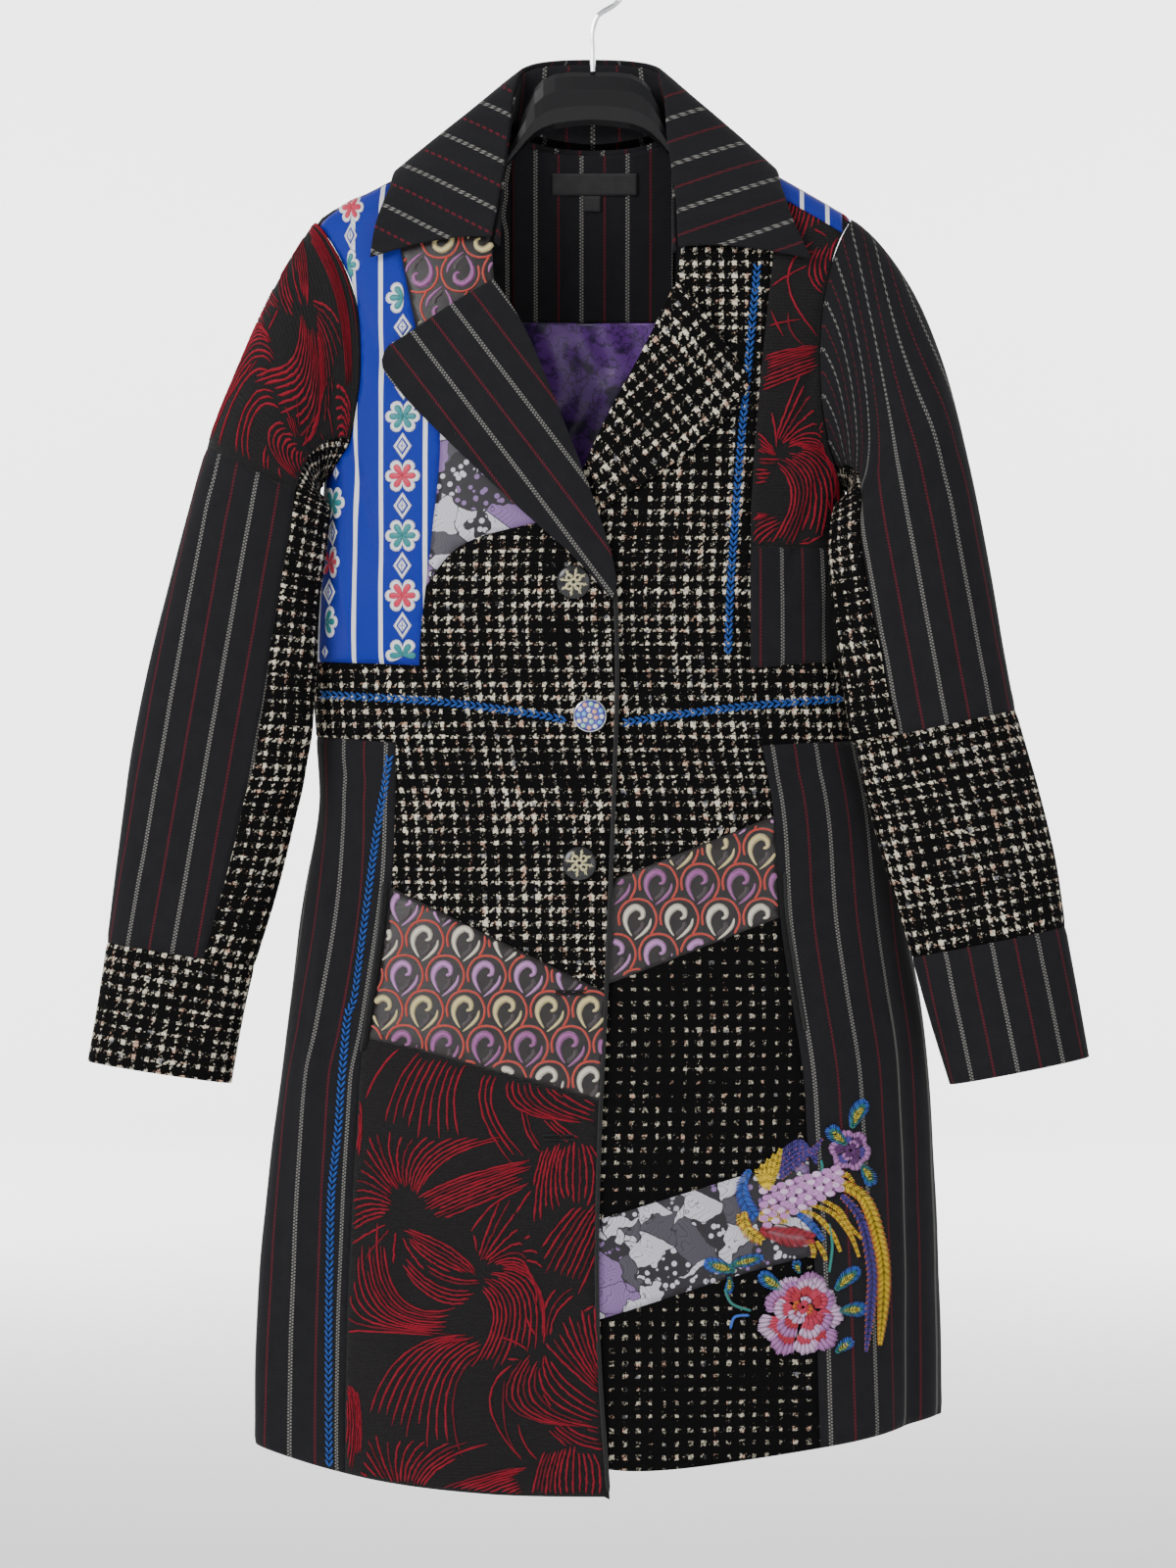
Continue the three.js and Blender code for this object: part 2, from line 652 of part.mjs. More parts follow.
function buildFronts() {
  const overEdge = (drop) => frontTurn(readTable(OVER_EDGE, 'drop', 'x', drop), drop);
  const over = bodyWall(
    (drop) => -sideTurn(drop) + halfSeamTurn(drop),
    overEdge,
    10,
    OVER_HEM,
    () => 0,
  );
  const overOpen = frontOpening(RIGHT_LAPEL.roll, -63, 16);
  const overBody = over.subtract(overOpen).subtract(armholeCutter(RIGHT_ARMHOLE, 0, false));
  cutIntoPieces(overBody, Object.values(OVER_SEAMS).map(seamBlade), [
    ['right_shoulder_braid', 'braid', -150, 400],
    ['right_chest_paisley', 'paisley', -90, 230],
    ['right_chest_print', 'print', -80, 340],
    ['right_bust_tweed', 'tweed', -60, 450],
    ['right_waistband', 'tweed', -60, 520],
    ['right_skirt_side', 'pinstripe', -185, 900],
    ['right_skirt_tweed', 'tweed', -60, 600],
    ['right_skirt_paisley', 'paisley', -60, 720],
    ['right_skirt_plume', 'plume', -60, 900],
  ]);

  const under = bodyWall(
    (drop) => frontTurn(-FRONT_LAP, drop),
    (drop) => sideTurn(drop) - halfSeamTurn(drop),
    11,
    UNDER_HEM,
    (turn, drop) => UNDER_INSET * (1 - smoothstep(22, 60, skinPoint(turn, drop).x)),
  );
  const underOpen = frontOpening([...LEFT_LAPEL.roll, [-18, 385]], 61, -32);
  const underBody = under.subtract(underOpen).subtract(armholeCutter(LEFT_ARMHOLE, 0, false));
  cutIntoPieces(underBody, Object.values(UNDER_SEAMS).map(seamBlade), [
    ['left_chest_plume', 'plume', 130, 350],
    ['left_waist_stripe', 'pinstripe', 130, 450],
    ['left_bust_tweed', 'tweed', 60, 450],
    ['left_waistband', 'tweed', 60, 520],
    ['left_skirt_side', 'pinstripe', 180, 900],
    ['left_skirt_tweed_upper', 'tweed', 60, 580],
    ['left_skirt_paisley', 'paisley', 60, 650],
    ['left_skirt_tweed_middle', 'tweed', 60, 760],
    ['left_skirt_print', 'print', 60, 880],
    ['left_skirt_tweed_hem', 'tweed', 60, 980],
  ]);
}

function buildBack() {
  const wall = bodyWall(
    (drop) => sideTurn(drop) + halfSeamTurn(drop),
    (drop) => 360 - sideTurn(drop) - halfSeamTurn(drop),
    14,
    BACK_HEM,
    () => 0,
  );
  const neck = frontBlock([
    [-64, 90], [-59, 119], [-44, 127], [-20, 132],
    [20, 132], [44, 127], [59, 119], [64, 90],
  ]);
  const body = wall.subtract(neck)
    .subtract(armholeCutter(RIGHT_ARMHOLE, 0, false))
    .subtract(armholeCutter(LEFT_ARMHOLE, 0, false));
  cutIntoPieces(body, Object.values(BACK_SEAMS).map(seamBlade), [
    ['back_yoke', 'pinstripe', 0, 200],
    ['left_shoulder_braid', 'braid', 142, 205],
    ['back_bodice_right', 'pinstripe', -80, 400],
    ['back_bodice_left', 'pinstripe', 80, 400],
    ['back_waistband', 'tweed', 0, 520],
    ['back_skirt_right', 'pinstripe', -80, 800],
    ['back_skirt_left', 'pinstripe', 80, 800],
  ]);
}

// Sleeves

// A place on the armhole's outline; part runs 0 at the shoulder, 90 in front,
// 180 under the arm and 270 behind. reach moves it over the body.
function armholePoint(table, part, reach) {
  const angle = THREE.MathUtils.degToRad(part);
  const first = table[0].drop;
  const last = table[table.length - 1].drop;
  const side = Math.sign(table[0].x);
  const drop = lerp(first, last, (1 - Math.cos(angle)) / 2);
  const x = readTable(table, 'drop', 'x', drop) - side * reach;
  const lifted = drop - reach * 0.5 * Math.cos(angle);
  return part <= 180 ? frontPoint(x, lifted, 0) : backPoint(x, lifted, 0);
}

function sleeveRing(row, armhole, parts) {
  const out = new THREE.Vector3(row.outX, row.midY, -row.outDrop);
  const inn = new THREE.Vector3(row.inX, row.midY, -row.inDrop);
  const middle = out.clone().add(inn).multiplyScalar(0.5);
  const reach = out.clone().sub(inn).multiplyScalar(0.5);
  return parts.map((part) => {
    const angle = THREE.MathUtils.degToRad(part);
    const p = middle.clone().addScaledVector(reach, Math.cos(angle));
    p.y -= row.half * Math.sin(angle);
    if (row.armhole > 0) p.lerp(armholePoint(armhole, part, 0), row.armhole);
    return p;
  });
}

// Rows of points from the armhole to the cuff, with one row run over the body
function sleeveGrid(table, armhole, frontSeam, backSeam, columns) {
  const grid = [];
  const partsAt = (row) => {
    const front = lerp(frontSeam[0], frontSeam[1], row / (table.length - 1));
    const parts = [];
    for (let j = 0; j < columns.upper; j += 1) {
      parts.push(lerp(backSeam - 360, front, j / columns.upper));
    }
    for (let j = 0; j < columns.under; j += 1) parts.push(lerp(front, backSeam, j / columns.under));
    return parts.map((part) => (part < 0 ? part + 360 : part));
  };
  grid.push(partsAt(0).map((part) => armholePoint(armhole, part, SLEEVE_OVERLAP)));
  table.forEach((row, i) => grid.push(sleeveRing(row, armhole, partsAt(i))));
  return grid;
}

// One stretch of a sleeve's wall, drawn in a little at its seams
function sleevePiece(grid, inner, rows, columns) {
  const pick = (source) => {
    const picked = [];
    for (let i = rows[0]; i <= rows[1]; i += 1) {
      const row = [];
      for (let j = columns[0]; j <= columns[1]; j += 1) row.push(source[i][j % source[i].length].clone());
      picked.push(row);
    }
    return picked;
  };
  const pull = (points, toward) => {
    points.forEach((p, i) => p.add(toward[i].clone().sub(p).setLength(SEAM / 2)));
  };
  const layers = [pick(grid), pick(inner)];
  const whole = columns[1] - columns[0] >= grid[0].length;
  for (const layer of layers) {
    const last = layer.length - 1;
    if (rows[0] > 0) pull(layer[0], layer[1]);
    if (rows[1] < grid.length - 1) pull(layer[last], layer[last - 1]);
    if (whole) {
      layer.forEach((row) => row.pop());
    } else {
      const end = layer[0].length - 1;
      pull(layer.map((row) => row[0]), layer.map((row) => row[1]));
      pull(layer.map((row) => row[end]), layer.map((row) => row[end - 1]));
    }
  }
  return closeWall(layers[0], layers[1], whole);
}

function buildSleeve(spec) {
  const grid = sleeveGrid(spec.table, spec.armhole, spec.frontSeam, spec.backSeam, spec.columns);
  const normals = gridNormals(grid, true);
  const centre = (row) => row.reduce((sum, p) => sum.add(p), new THREE.Vector3()).divideScalar(row.length);
  const test = normals[8][0].dot(grid[8][0].clone().sub(centre(grid[8])));
  const inner = moveGrid(grid, normals, test > 0 ? -CLOTH : CLOTH);
  const trim = armholeCutter(spec.armhole, SEAM, true);
  for (const [name, finish, rows, columns] of spec.pieces) {
    let piece = toSolid(sleevePiece(grid, inner, rows, columns));
    if (rows[0] === 0) piece = piece.subtract(trim);
    const parts = piece.decompose().sort((a, b) => b.volume() - a.volume());
    addPiece(name, finish, toGeometry(parts[0]));
  }
}

function buildSleeves() {
  const columns = { upper: 11, under: 5 };
  buildSleeve({
    table: RIGHT_SLEEVE,
    armhole: RIGHT_ARMHOLE,
    frontSeam: [132, 106],
    backSeam: 236,
    columns,
    pieces: [
      ['right_sleeve_plume', 'plume', [0, 6], [0, 11]],
      ['right_sleeve_stripe', 'pinstripe', [6, 13], [0, 11]],
      ['right_sleeve_under', 'tweed', [0, 13], [11, 16]],
      ['right_sleeve_cuff', 'tweed', [13, 15], [0, 16]],
    ],
  });
  buildSleeve({
    table: LEFT_SLEEVE,
    armhole: LEFT_ARMHOLE,
    frontSeam: [154, 100],
    backSeam: 236,
    columns,
    pieces: [
      ['left_sleeve_stripe', 'pinstripe', [0, 10], [0, 11]],
      ['left_sleeve_under', 'tweed', [0, 10], [11, 16]],
      ['left_sleeve_patch', 'tweed', [10, 13], [0, 16]],
      ['left_sleeve_cuff', 'pinstripe', [13, 15], [0, 16]],
    ],
  });
}

// Collar and lapels

// Stations round the whole collar, right front end to left front end
function collarStations(count) {
  const rows = [...RIGHT_COLLAR, ...LEFT_COLLAR.slice(0, -1).reverse()];
  const placed = rows.map((row, i) => ({ ...row, at: i }));
  const stations = [];
  for (let i = 0; i <= count; i += 1) {
    const at = (i / count) * (rows.length - 1);
    const read = (name) => new THREE.Vector3(
      readTable(placed, 'at', `${name}X`, at),
      readTable(placed, 'at', `${name}Y`, at),
      -readTable(placed, 'at', `${name}Drop`, at),
    );
    stations.push({ seam: read('seam'), fold: read('fold'), edge: read('edge') });
  }
  return stations;
}

function buildCollar() {
  const stations = collarStations(26);
  const acrossFall = 5;
  const fall = [];
  for (let k = 0; k <= acrossFall; k += 1) {
    const t = k / acrossFall;
    fall.push(stations.map(({ fold, edge }) => {
      const reach = edge.clone().sub(fold);
      const lift = new THREE.Vector3(0, 0, 1).multiplyScalar(0.10 * reach.length());
      const control = fold.clone().addScaledVector(reach, 0.36).add(lift);
      const p = fold.clone().multiplyScalar((1 - t) ** 2);
      p.addScaledVector(control, 2 * t * (1 - t));
      return p.addScaledVector(edge, t * t);
    }));
  }
  const fallNormals = gridNormals(fall);
  const outward = fallNormals[3][13].y > 0 ? 1 : -1;
  const fallUnder = moveGrid(fall, fallNormals, -outward * COLLAR_CLOTH);
  addPiece('collar_fall', 'pinstripe', closeWall(fall, fallUnder));

  const stand = [];
  for (let k = 0; k <= 2; k += 1) {
    stand.push(stations.map(({ seam, fold }) => {
      const reach = fold.clone().sub(seam);
      const length = reach.length();
      return seam.clone().addScaledVector(reach, lerp(1.2, length - 7, k / 2) / length);
    }));
  }
  const standNormals = gridNormals(stand);
  const away = standNormals[1][13].y > 0 ? 1 : -1;
  const standInside = moveGrid(stand, standNormals, -away * STAND_CLOTH);
  addPiece('collar_stand', 'pinstripe', closeWall(stand, standInside));
}

function lapelWall(outline, insetAt) {
  const along = 10;
  const across = 4;
  const roll = smoothRun(outline.roll, along);
  const outer = smoothRun(outline.outer, along);
  const top = [];
  const foot = [];
  for (let k = 0; k <= across; k += 1) {
    const t = k / across;
    const topRow = [];
    const footRow = [];
    for (let i = 0; i <= along; i += 1) {
      const x = lerp(roll[i][0], outer[i][0], t);
      const drop = lerp(roll[i][1], outer[i][1], t);
      const width = Math.hypot(outer[i][0] - roll[i][0], outer[i][1] - roll[i][1]);
      const lift = 0.5 + Math.min(width * 0.06, 4) * Math.sin(Math.PI * Math.min(t + 0.18, 1)) ** 1.5;
      const inset = insetAt(x, drop);
      topRow.push(frontPoint(x, drop, inset - lift - LAPEL_CLOTH));
      footRow.push(frontPoint(x, drop, inset - lift));
    }
    top.push(topRow);
    foot.push(footRow);
  }
  return closeWall(top, foot);
}

function buildLapels() {
  addPiece('right_lapel', 'pinstripe', lapelWall(RIGHT_LAPEL, () => 0));
  const underInset = (x) => UNDER_INSET * (1 - smoothstep(22, 60, x));
  const left = toSolid(lapelWall(LEFT_LAPEL, underInset));
  const roll = smoothRun(RIGHT_LAPEL.roll, 14).map(([x, drop]) => [x + SEAM * 2, drop]);
  const over = frontBlock([...roll, [16, 470], [-150, 470], [-150, roll[0][1]]]);
  addPiece('left_lapel', 'tweed', toGeometry(left.subtract(over)));
}

// What shows inside the neck

function backPatch(left, right, top, foot, inset, thick, columns, rows) {
  const outer = [];
  const inner = [];
  for (let i = 0; i <= rows; i += 1) {
    const outerRow = [];
    const innerRow = [];
    for (let j = 0; j <= columns; j += 1) {
      const x = lerp(left, right, j / columns);
      const drop = lerp(top(x), foot, i / rows);
      outerRow.push(backPoint(x, drop, inset));
      innerRow.push(backPoint(x, drop, inset + thick));
    }
    outer.push(outerRow);
    inner.push(innerRow);
  }
  return closeWall(outer, inner);
}

function buildInside() {
  const under = CLOTH + SEAM + 0.4;
  const neckTop = (x) => 134 - 12 * (x / 66) ** 2 + 2;
  addPiece('neck_facing', 'pinstripe', backPatch(-56, 56, neckTop, 249.5, under, THIN_CLOTH, 6, 5));
  addPiece('lining', 'lining', backPatch(-96, 90, () => 250, 400, under, THIN_CLOTH, 8, 4));
  const onFacing = under + THIN_CLOTH + 0.4;
  addPiece('neck_label', 'label', backPatch(-28.5, 31, () => 147, 162, onFacing, 0.8, 4, 1));
  addPiece('size_tab', 'label', backPatch(-6.5, 5.5, () => 162.4, 173, onFacing, 0.8, 1, 1));
}

// Buttons

function buttonProfile() {
  const r = BUTTON_RADIUS;
  const t = BUTTON_THICK;
  return [
    [0, 0], [r * 0.86, 0], [r, t * 0.3], [r * 0.97, t * 0.6], [r * 0.72, t * 0.9], [r * 0.35, t], [0, t],
  ].map(([x, y]) => new THREE.Vector2(x, y));
}

function buildButtons() {
  for (const { name, x, drop, style } of BUTTONS) {
    const button = new THREE.LatheGeometry(buttonProfile(), 16);
    button.deleteAttribute('normal');
    button.deleteAttribute('uv');
    const closed = faceOut(mergeVertices(button, 1e-4));
    const outward = skinNormal(frontTurn(x, drop), drop);
    closed.applyQuaternion(new THREE.Quaternion().setFromUnitVectors(new THREE.Vector3(0, 1, 0), outward));
    const seat = frontPoint(x, drop, -SEAT);
    closed.translate(seat.x, seat.y, seat.z);
    addPiece(name, style, closed);
  }
}

// Embroidered pads on the skirt, as outlines from the front

function petalOutline(x, drop, radius, petals, depth, count) {
  const outline = [];
  for (let i = 0; i < count; i += 1) {
    const angle = (i / count) * 2 * Math.PI;
    const reach = radius * (1 - depth + depth * Math.abs(Math.cos((petals * angle) / 2)));
    outline.push([x + reach * Math.cos(angle), drop + reach * Math.sin(angle)]);
  }
  return outline;
}

const BIRD = [
  [107, 874], [101, 866], [104, 857], [112, 851], [113, 838], [118, 826], [129, 822], [136, 829],
  [146, 821], [154, 824], [156, 836], [166, 846], [178, 850], [188, 862], [194, 884], [196, 916],
  [193, 948], [188, 957], [184, 940], [180, 905], [172, 880], [162, 872], [150, 878], [136, 884],
  [122, 886], [112, 882],
];

function applique(outline) {
  const left = 90;
  const right = 206;
  const top = 790;
  const foot = 970;
  const outer = [];
  const inner = [];
  for (let i = 0; i <= 6; i += 1) {
    const drop = lerp(top, foot, i / 6);
    const outerRow = [];
    const innerRow = [];
    for (let j = 0; j <= 5; j += 1) {
      const x = lerp(left, right, j / 5);
      outerRow.push(frontPoint(x, drop, -PAD_GAP - APPLIQUE));
      innerRow.push(frontPoint(x, drop, -PAD_GAP));
    }
    outer.push(outerRow);
    inner.push(innerRow);
  }
  return toGeometry(toSolid(closeWall(outer, inner)).intersect(frontBlock(outline)));
}

function buildEmbroidery() {
  addPiece('bird_applique', 'thread', applique(BIRD));
  addPiece('flower_applique', 'thread', applique(petalOutline(142, 927, 32, 7, 0.16, 42)));
  addPiece('blossom_applique', 'thread', applique(petalOutline(174, 818, 16, 5, 0.2, 30)));
}

// Hanger

function buildHanger() {
  const reaches = [0, 14, 26, 34, 40, 46, 52, 60, 78, 96, 112, 127, 140, 152, 162];
  const places = [...reaches.slice(1).reverse().map((reach) => -reach), ...reaches];
  const sides = 10;
  const grid = places.map((x) => {
    const reach = Math.abs(x);
    const top = readTable(HANGER, 'reach', 'top', reach);
    const foot = readTable(HANGER, 'reach', 'foot', reach);
    const half = readTable(HANGER, 'reach', 'half', reach);
    const midY = readTable(HANGER, 'reach', 'midY', reach);
    const ring = [];
    for (let j = 0; j < sides; j += 1) {
      const angle = (j / sides) * 2 * Math.PI;
      ring.push(new THREE.Vector3(
        x,
        midY + half * Math.sin(angle),
        -(top + foot) / 2 + ((foot - top) / 2) * Math.cos(angle),
      ));
    }
    return ring;
  });
  addPiece('hanger_body', 'plastic', closeBar(grid));
}

// Closes a run of rings into a bar with flat ends
function closeBar(rings) {
  const sides = rings[0].length;
  const positions = [];
  for (const ring of rings) {
    for (const p of ring) positions.push(p.x, p.y, p.z);
  }
  const faces = [];
  for (let i = 0; i < rings.length - 1; i += 1) {
    for (let j = 0; j < sides; j += 1) {
      const next = (j + 1) % sides;
      const a = i * sides;
      const b = (i + 1) * sides;
      faces.push(a + j, b + j, b + next, a + j, b + next, a + next);
    }
  }
  const last = (rings.length - 1) * sides;
  for (let j = 1; j < sides - 1; j += 1) {
    faces.push(0, j, j + 1, last, last + j + 1, last + j);
  }
  const geometry = new THREE.BufferGeometry();
  geometry.setAttribute('position', new THREE.Float32BufferAttribute(positions, 3));
  geometry.setIndex(faces);
  return faceOut(geometry);
}

function buildHook() {
  const radius = HOOK_INSIDE + WIRE_RADIUS;
  const centre = -HOOK_INSIDE;
  const run = [
    new THREE.Vector3(0, HOOK_DEPTH, -81.4),
    new THREE.Vector3(0, HOOK_DEPTH, -66),
    new THREE.Vector3(0, HOOK_DEPTH, -52),
    new THREE.Vector3(3.5, HOOK_DEPTH, -43),
  ];
  for (let angle = -42; angle <= 205; angle += 19) {
    const a = THREE.MathUtils.degToRad(angle);
    run.push(new THREE.Vector3(radius * Math.cos(a), HOOK_DEPTH, centre + radius * Math.sin(a)));
  }
  const curve = new THREE.CatmullRomCurve3(run, false, 'centripetal');
  const steps = 34;
  const sides = 8;
  const rings = [];
  for (let i = 0; i <= steps; i += 1) {
    const p = curve.getPointAt(i / steps);
    const along = curve.getTangentAt(i / steps);
    const side = new THREE.Vector3(0, 1, 0);
    const up = along.clone().cross(side).normalize();
    const ring = [];
    for (let j = 0; j < sides; j += 1) {
      const angle = (j / sides) * 2 * Math.PI;
      ring.push(p.clone()
        .addScaledVector(side, WIRE_RADIUS * Math.cos(angle))
        .addScaledVector(up, WIRE_RADIUS * Math.sin(angle)));
    }
    rings.push(ring);
  }
  addPiece('hanger_hook', 'steel', closeBar(rings));
}

buildFronts();
buildBack();
buildSleeves();
buildCollar();
buildLapels();
buildInside();
buildButtons();
buildEmbroidery();
buildHanger();
buildHook();
coat.position.y = -HOOK_DEPTH;

export default coat;
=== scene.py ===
"""A long patchwork coat on a moulded hanger: its cloths, stitching, embroidery and buttons."""

import logging
import math
import random
from dataclasses import dataclass
from enum import Enum
from functools import lru_cache
from typing import Callable, Iterable, Sequence

import bpy
import bmesh
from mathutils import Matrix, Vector
from mathutils.geometry import delaunay_2d_cdt
from mathutils.kdtree import KDTree


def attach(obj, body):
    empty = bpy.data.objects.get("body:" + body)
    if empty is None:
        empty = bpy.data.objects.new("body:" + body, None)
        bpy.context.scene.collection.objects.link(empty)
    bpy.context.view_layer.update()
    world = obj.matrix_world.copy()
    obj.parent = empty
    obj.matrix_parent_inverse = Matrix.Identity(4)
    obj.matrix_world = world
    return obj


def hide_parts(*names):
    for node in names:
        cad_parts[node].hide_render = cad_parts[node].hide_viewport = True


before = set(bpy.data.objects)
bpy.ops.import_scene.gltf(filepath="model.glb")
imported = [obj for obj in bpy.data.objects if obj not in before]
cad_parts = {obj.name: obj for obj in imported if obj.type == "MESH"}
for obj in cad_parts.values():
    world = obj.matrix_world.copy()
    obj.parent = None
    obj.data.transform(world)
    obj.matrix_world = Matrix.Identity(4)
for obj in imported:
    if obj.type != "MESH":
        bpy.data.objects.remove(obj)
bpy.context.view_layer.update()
LOG = logging.getLogger("coat")

# Sizes of the garment, in millimetres. A drop is a distance straight down from the rail.
MM = 0.001
SIDE_DEPTH = 10.0
HOOK_DEPTH = 5.0
CLOTH = 2.2
LAPEL_CLOTH = 3.0
COLLAR_CLOTH = 3.0
THIN_CLOTH = 1.2
NECK_DROP = 121.0
ROWS_END = 1030.0
UNDER_INSET = 2.9
FRONT_LAP = 30.0
TURN_SCALE = 3.3          # millimetres of chart for one degree of turn
CELL = 6.0                # spacing of the points inside a patch of cloth
LINED_BELOW = 245.0       # inside the coat, the lining shows below this drop
CREASE_GAIN = 1.4         # the body's creases are this much deeper than their table says
CREASE_REACH = 2.5        # a crease moves no cloth past this many of its widths
FOLDS_START = 560.0       # drop at which the skirt's folds begin
FOLDS_GROWTH = 480.0      # distance over which they grow to their full depth
ARC_STEP = 3              # degrees of turn between the lengths kept for a section
ARC_COUNT = 61            # how many such steps are kept, a little past the middle of the back
CUFF_RING = 14            # the last ring of a sleeve, at its cuff; ring 0 is the armhole
RING_LENGTH = 43.0        # millimetres along a sleeve for one ring
ROUND_LENGTH = 0.72       # millimetres round a sleeve for one degree
CREASE_RING = 45          # degrees that one ring counts for where a sleeve creases
SEAM_VALLEY = 0.75        # how far a patch's rim lies in, where it is sewn
OPENING_FOOT = 436        # drop at which the neck's opening ends
ROW_SHARE = 0.87          # distance of two rows of points, as a share of their spacing
CLEAR_SHARE = 0.45        # free distance round a seam's point, as a share of that spacing
BODY_RIPPLE = 0.35        # height of the cloth's own unevenness
PAD_SHOULDER = 0.78       # place of a pad's shoulder from its middle to its rim
PAD_RISE = 0.85           # height of that shoulder, as a share of the pad's
FAR = 5000.0              # moves a weave's start off the cloth, so that no thread's number is negative
FAR_PITCHES = 1000        # moves a pattern's start off the cloth, so that no place is negative
# An arc's sign turns at the middle of the back, so a back patch that reaches past it measures far too wide.
WRAPPED_SHARE = 2.9       # past this many times the patch's area, its box is taken to be such a wrong one
MEAN_GROWTH = 1.12        # its width is then taken as this many times its mean width, not measured

Pair = tuple[float, float]


class Table:
    """Rows of sizes under named columns, read as smooth curves."""

    def __init__(self, names: str, rows: Sequence[Sequence[float]]) -> None:
        """Keep the rows.

        Args:
            names: The columns' names, the first of which is the key.
            rows: One tuple of sizes for each row, in the key's order.
        """
        self.columns = {name: [row[i] for row in rows] for i, name in enumerate(names.split())}
        self.keys = next(iter(self.columns.values()))

    def read(self, column: str, at: float) -> float:
        """Read a column at a key's value.

        Args:
            column: The column's name.
            at: The key's value.

        Returns:
            The size there.
        """
        keys, values = self.keys, self.columns[column]
        last = len(keys) - 1
        if at <= keys[0]:
            return values[0]
        if at >= keys[last]:
            return values[last]
        i = 0
        while at > keys[i + 1]:
            i += 1

        def slope(j: int) -> float:
            """Slope of the curve at row j."""
            low, high = max(j - 1, 0), min(j + 1, last)
            return (values[high] - values[low]) / (keys[high] - keys[low])

        span = keys[i + 1] - keys[i]
        t = (at - keys[i]) / span
        t2, t3 = t * t, t * t * t
        return ((2 * t3 - 3 * t2 + 1) * values[i] + (t3 - 2 * t2 + t) * span * slope(i)
                + (3 * t2 - 2 * t3) * values[i + 1] + (t3 - t2) * span * slope(i + 1))


BODY = Table("drop right left front back", [
    (121, -60, 60, 11, 12), (138, -99, 96, 18, 18), (154, -135, 127, 25, 24),
    (164, -154, 145, 29, 27), (176, -178, 166, 34, 30), (187, -191, 183, 38, 32),
    (210, -193, 186, 44, 37), (270, -190, 183, 55, 43), (345, -185, 175, 63, 45),
    (400, -187, 171, 66, 43), (440, -192, 172, 65, 39), (490, -193, 177, 60, 35),
    (544, -190, 183, 57, 33), (585, -188, 194, 60, 37), (637, -197, 209, 64, 44),
    (677, -203, 217, 67, 48), (737, -210, 227, 70, 53), (790, -217, 231, 72, 56),
    (857, -225, 234, 75, 58), (937, -231, 236, 78, 60), (1060, -232, 237, 82, 62),
])

SKIRT_FOLDS = [  # turn, spread, depth
    (-150, 13, -11), (-122, 11, 8), (-98, 9, -7), (-74, 9, 6), (-52, 10, -7), (-22, 14, 4),
    (24, 12, -4), (50, 10, 5), (70, 8, -7), (96, 9, 5), (120, 11, -9), (146, 12, 8), (178, 14, 5),
]

RIGHT_ARMHOLE = Table("drop x", [
    (185, -190), (198, -180), (224, -167), (255, -160), (290, -158.5), (316, -162),
    (340, -168), (366, -187),
])
LEFT_ARMHOLE = Table("drop x", [
    (182, 178), (196, 170), (224, 161), (255, 156.5), (285, 155), (317, 157), (344, 163),
    (366, 173),
])

RIGHT_SLEEVE = Table("at outX outDrop inX inDrop midY half armhole", [
    (0, -190, 185, -187, 366, 10, 38, 1), (1, -200, 193, -188.5, 368, 8, 38, 0.7),
    (2, -213, 216, -188, 370, 5, 37, 0.45), (3, -230, 250, -187, 373, 0, 36, 0.2),
    (4, -246, 292, -185, 376, -6, 34, 0.05), (5, -264, 341, -182, 381, -13, 31, 0),
    (6, -276, 385, -182, 408, -18, 29, 0), (7, -289, 435, -186, 448, -20, 27, 0),
    (8, -302, 487, -188, 495, -21, 26, 0), (9, -313, 541, -192, 547, -21, 26, 0),
    (10, -320, 590, -203, 597, -21, 25, 0), (11, -326, 637, -216, 648, -21, 24, 0),
    (12, -331, 678, -230, 694, -22, 23, 0), (13, -337, 718, -239, 734, -22, 22, 0),
    (14, -344, 759, -246, 774, -22, 21, 0),
])
LEFT_SLEEVE = Table("at outX outDrop inX inDrop midY half armhole", [
    (0, 178, 182, 173, 366, 10, 38, 1), (1, 193, 191, 176, 368, 8, 38, 0.7),
    (2, 213, 213, 177.5, 370, 5, 37, 0.45), (3, 230, 245, 177, 373, 0, 36, 0.2),
    (4, 241, 282, 174, 376, -7, 34, 0.05), (5, 251, 326, 169, 381, -15, 31, 0),
    (6, 262, 378, 163, 408, -20, 29, 0), (7, 272, 432, 165, 446, -22, 27, 0),
    (8, 280, 480, 171, 497, -23, 26, 0), (9, 288, 520, 178, 543, -23, 26, 0),
    (10, 303, 572, 189, 592, -23, 25, 0), (11, 315, 621, 203, 640, -22, 24, 0),
    (12, 322, 667, 217, 688, -22, 23, 0), (13, 330, 711, 229, 730, -22, 22, 0),
    (14, 338, 756, 243, 775, -22, 21, 0),
])

COLLAR_COLUMNS = "at seamX seamY seamDrop foldX foldY foldDrop edgeX edgeY edgeDrop"
COLLAR = Table(COLLAR_COLUMNS, [
    (0, -64, -27, 205, -69, -36, 199, -152, -26, 212),
    (1, -63, -20, 170, -63, -28, 166, -148, -24, 188),
    (2, -61, -5, 140, -58, -13, 130, -140, -12, 164),
    (3, -57, 10, 117.5, -53, 8, 89, -133, 12, 148),
    (4, -46, 20, 123, -42, 29, 72.5, -104, 43, 164),
    (5, 0, 25, 130, 0, 37, 68.5, 0, 56, 177),
    (6, 46, 20, 123, 40, 29, 72.5, 100, 43, 164),
    (7, 57.5, 10, 116.5, 48, 8, 87, 124, 12, 147),
    (8, 58.5, -6, 140, 51, -13, 130, 130, -12, 164),
    (9, 56, -21, 172, 56, -29, 168, 137, -24, 187),
    (10, 55, -28, 210, 58, -38, 206, 149, -26, 213),
])

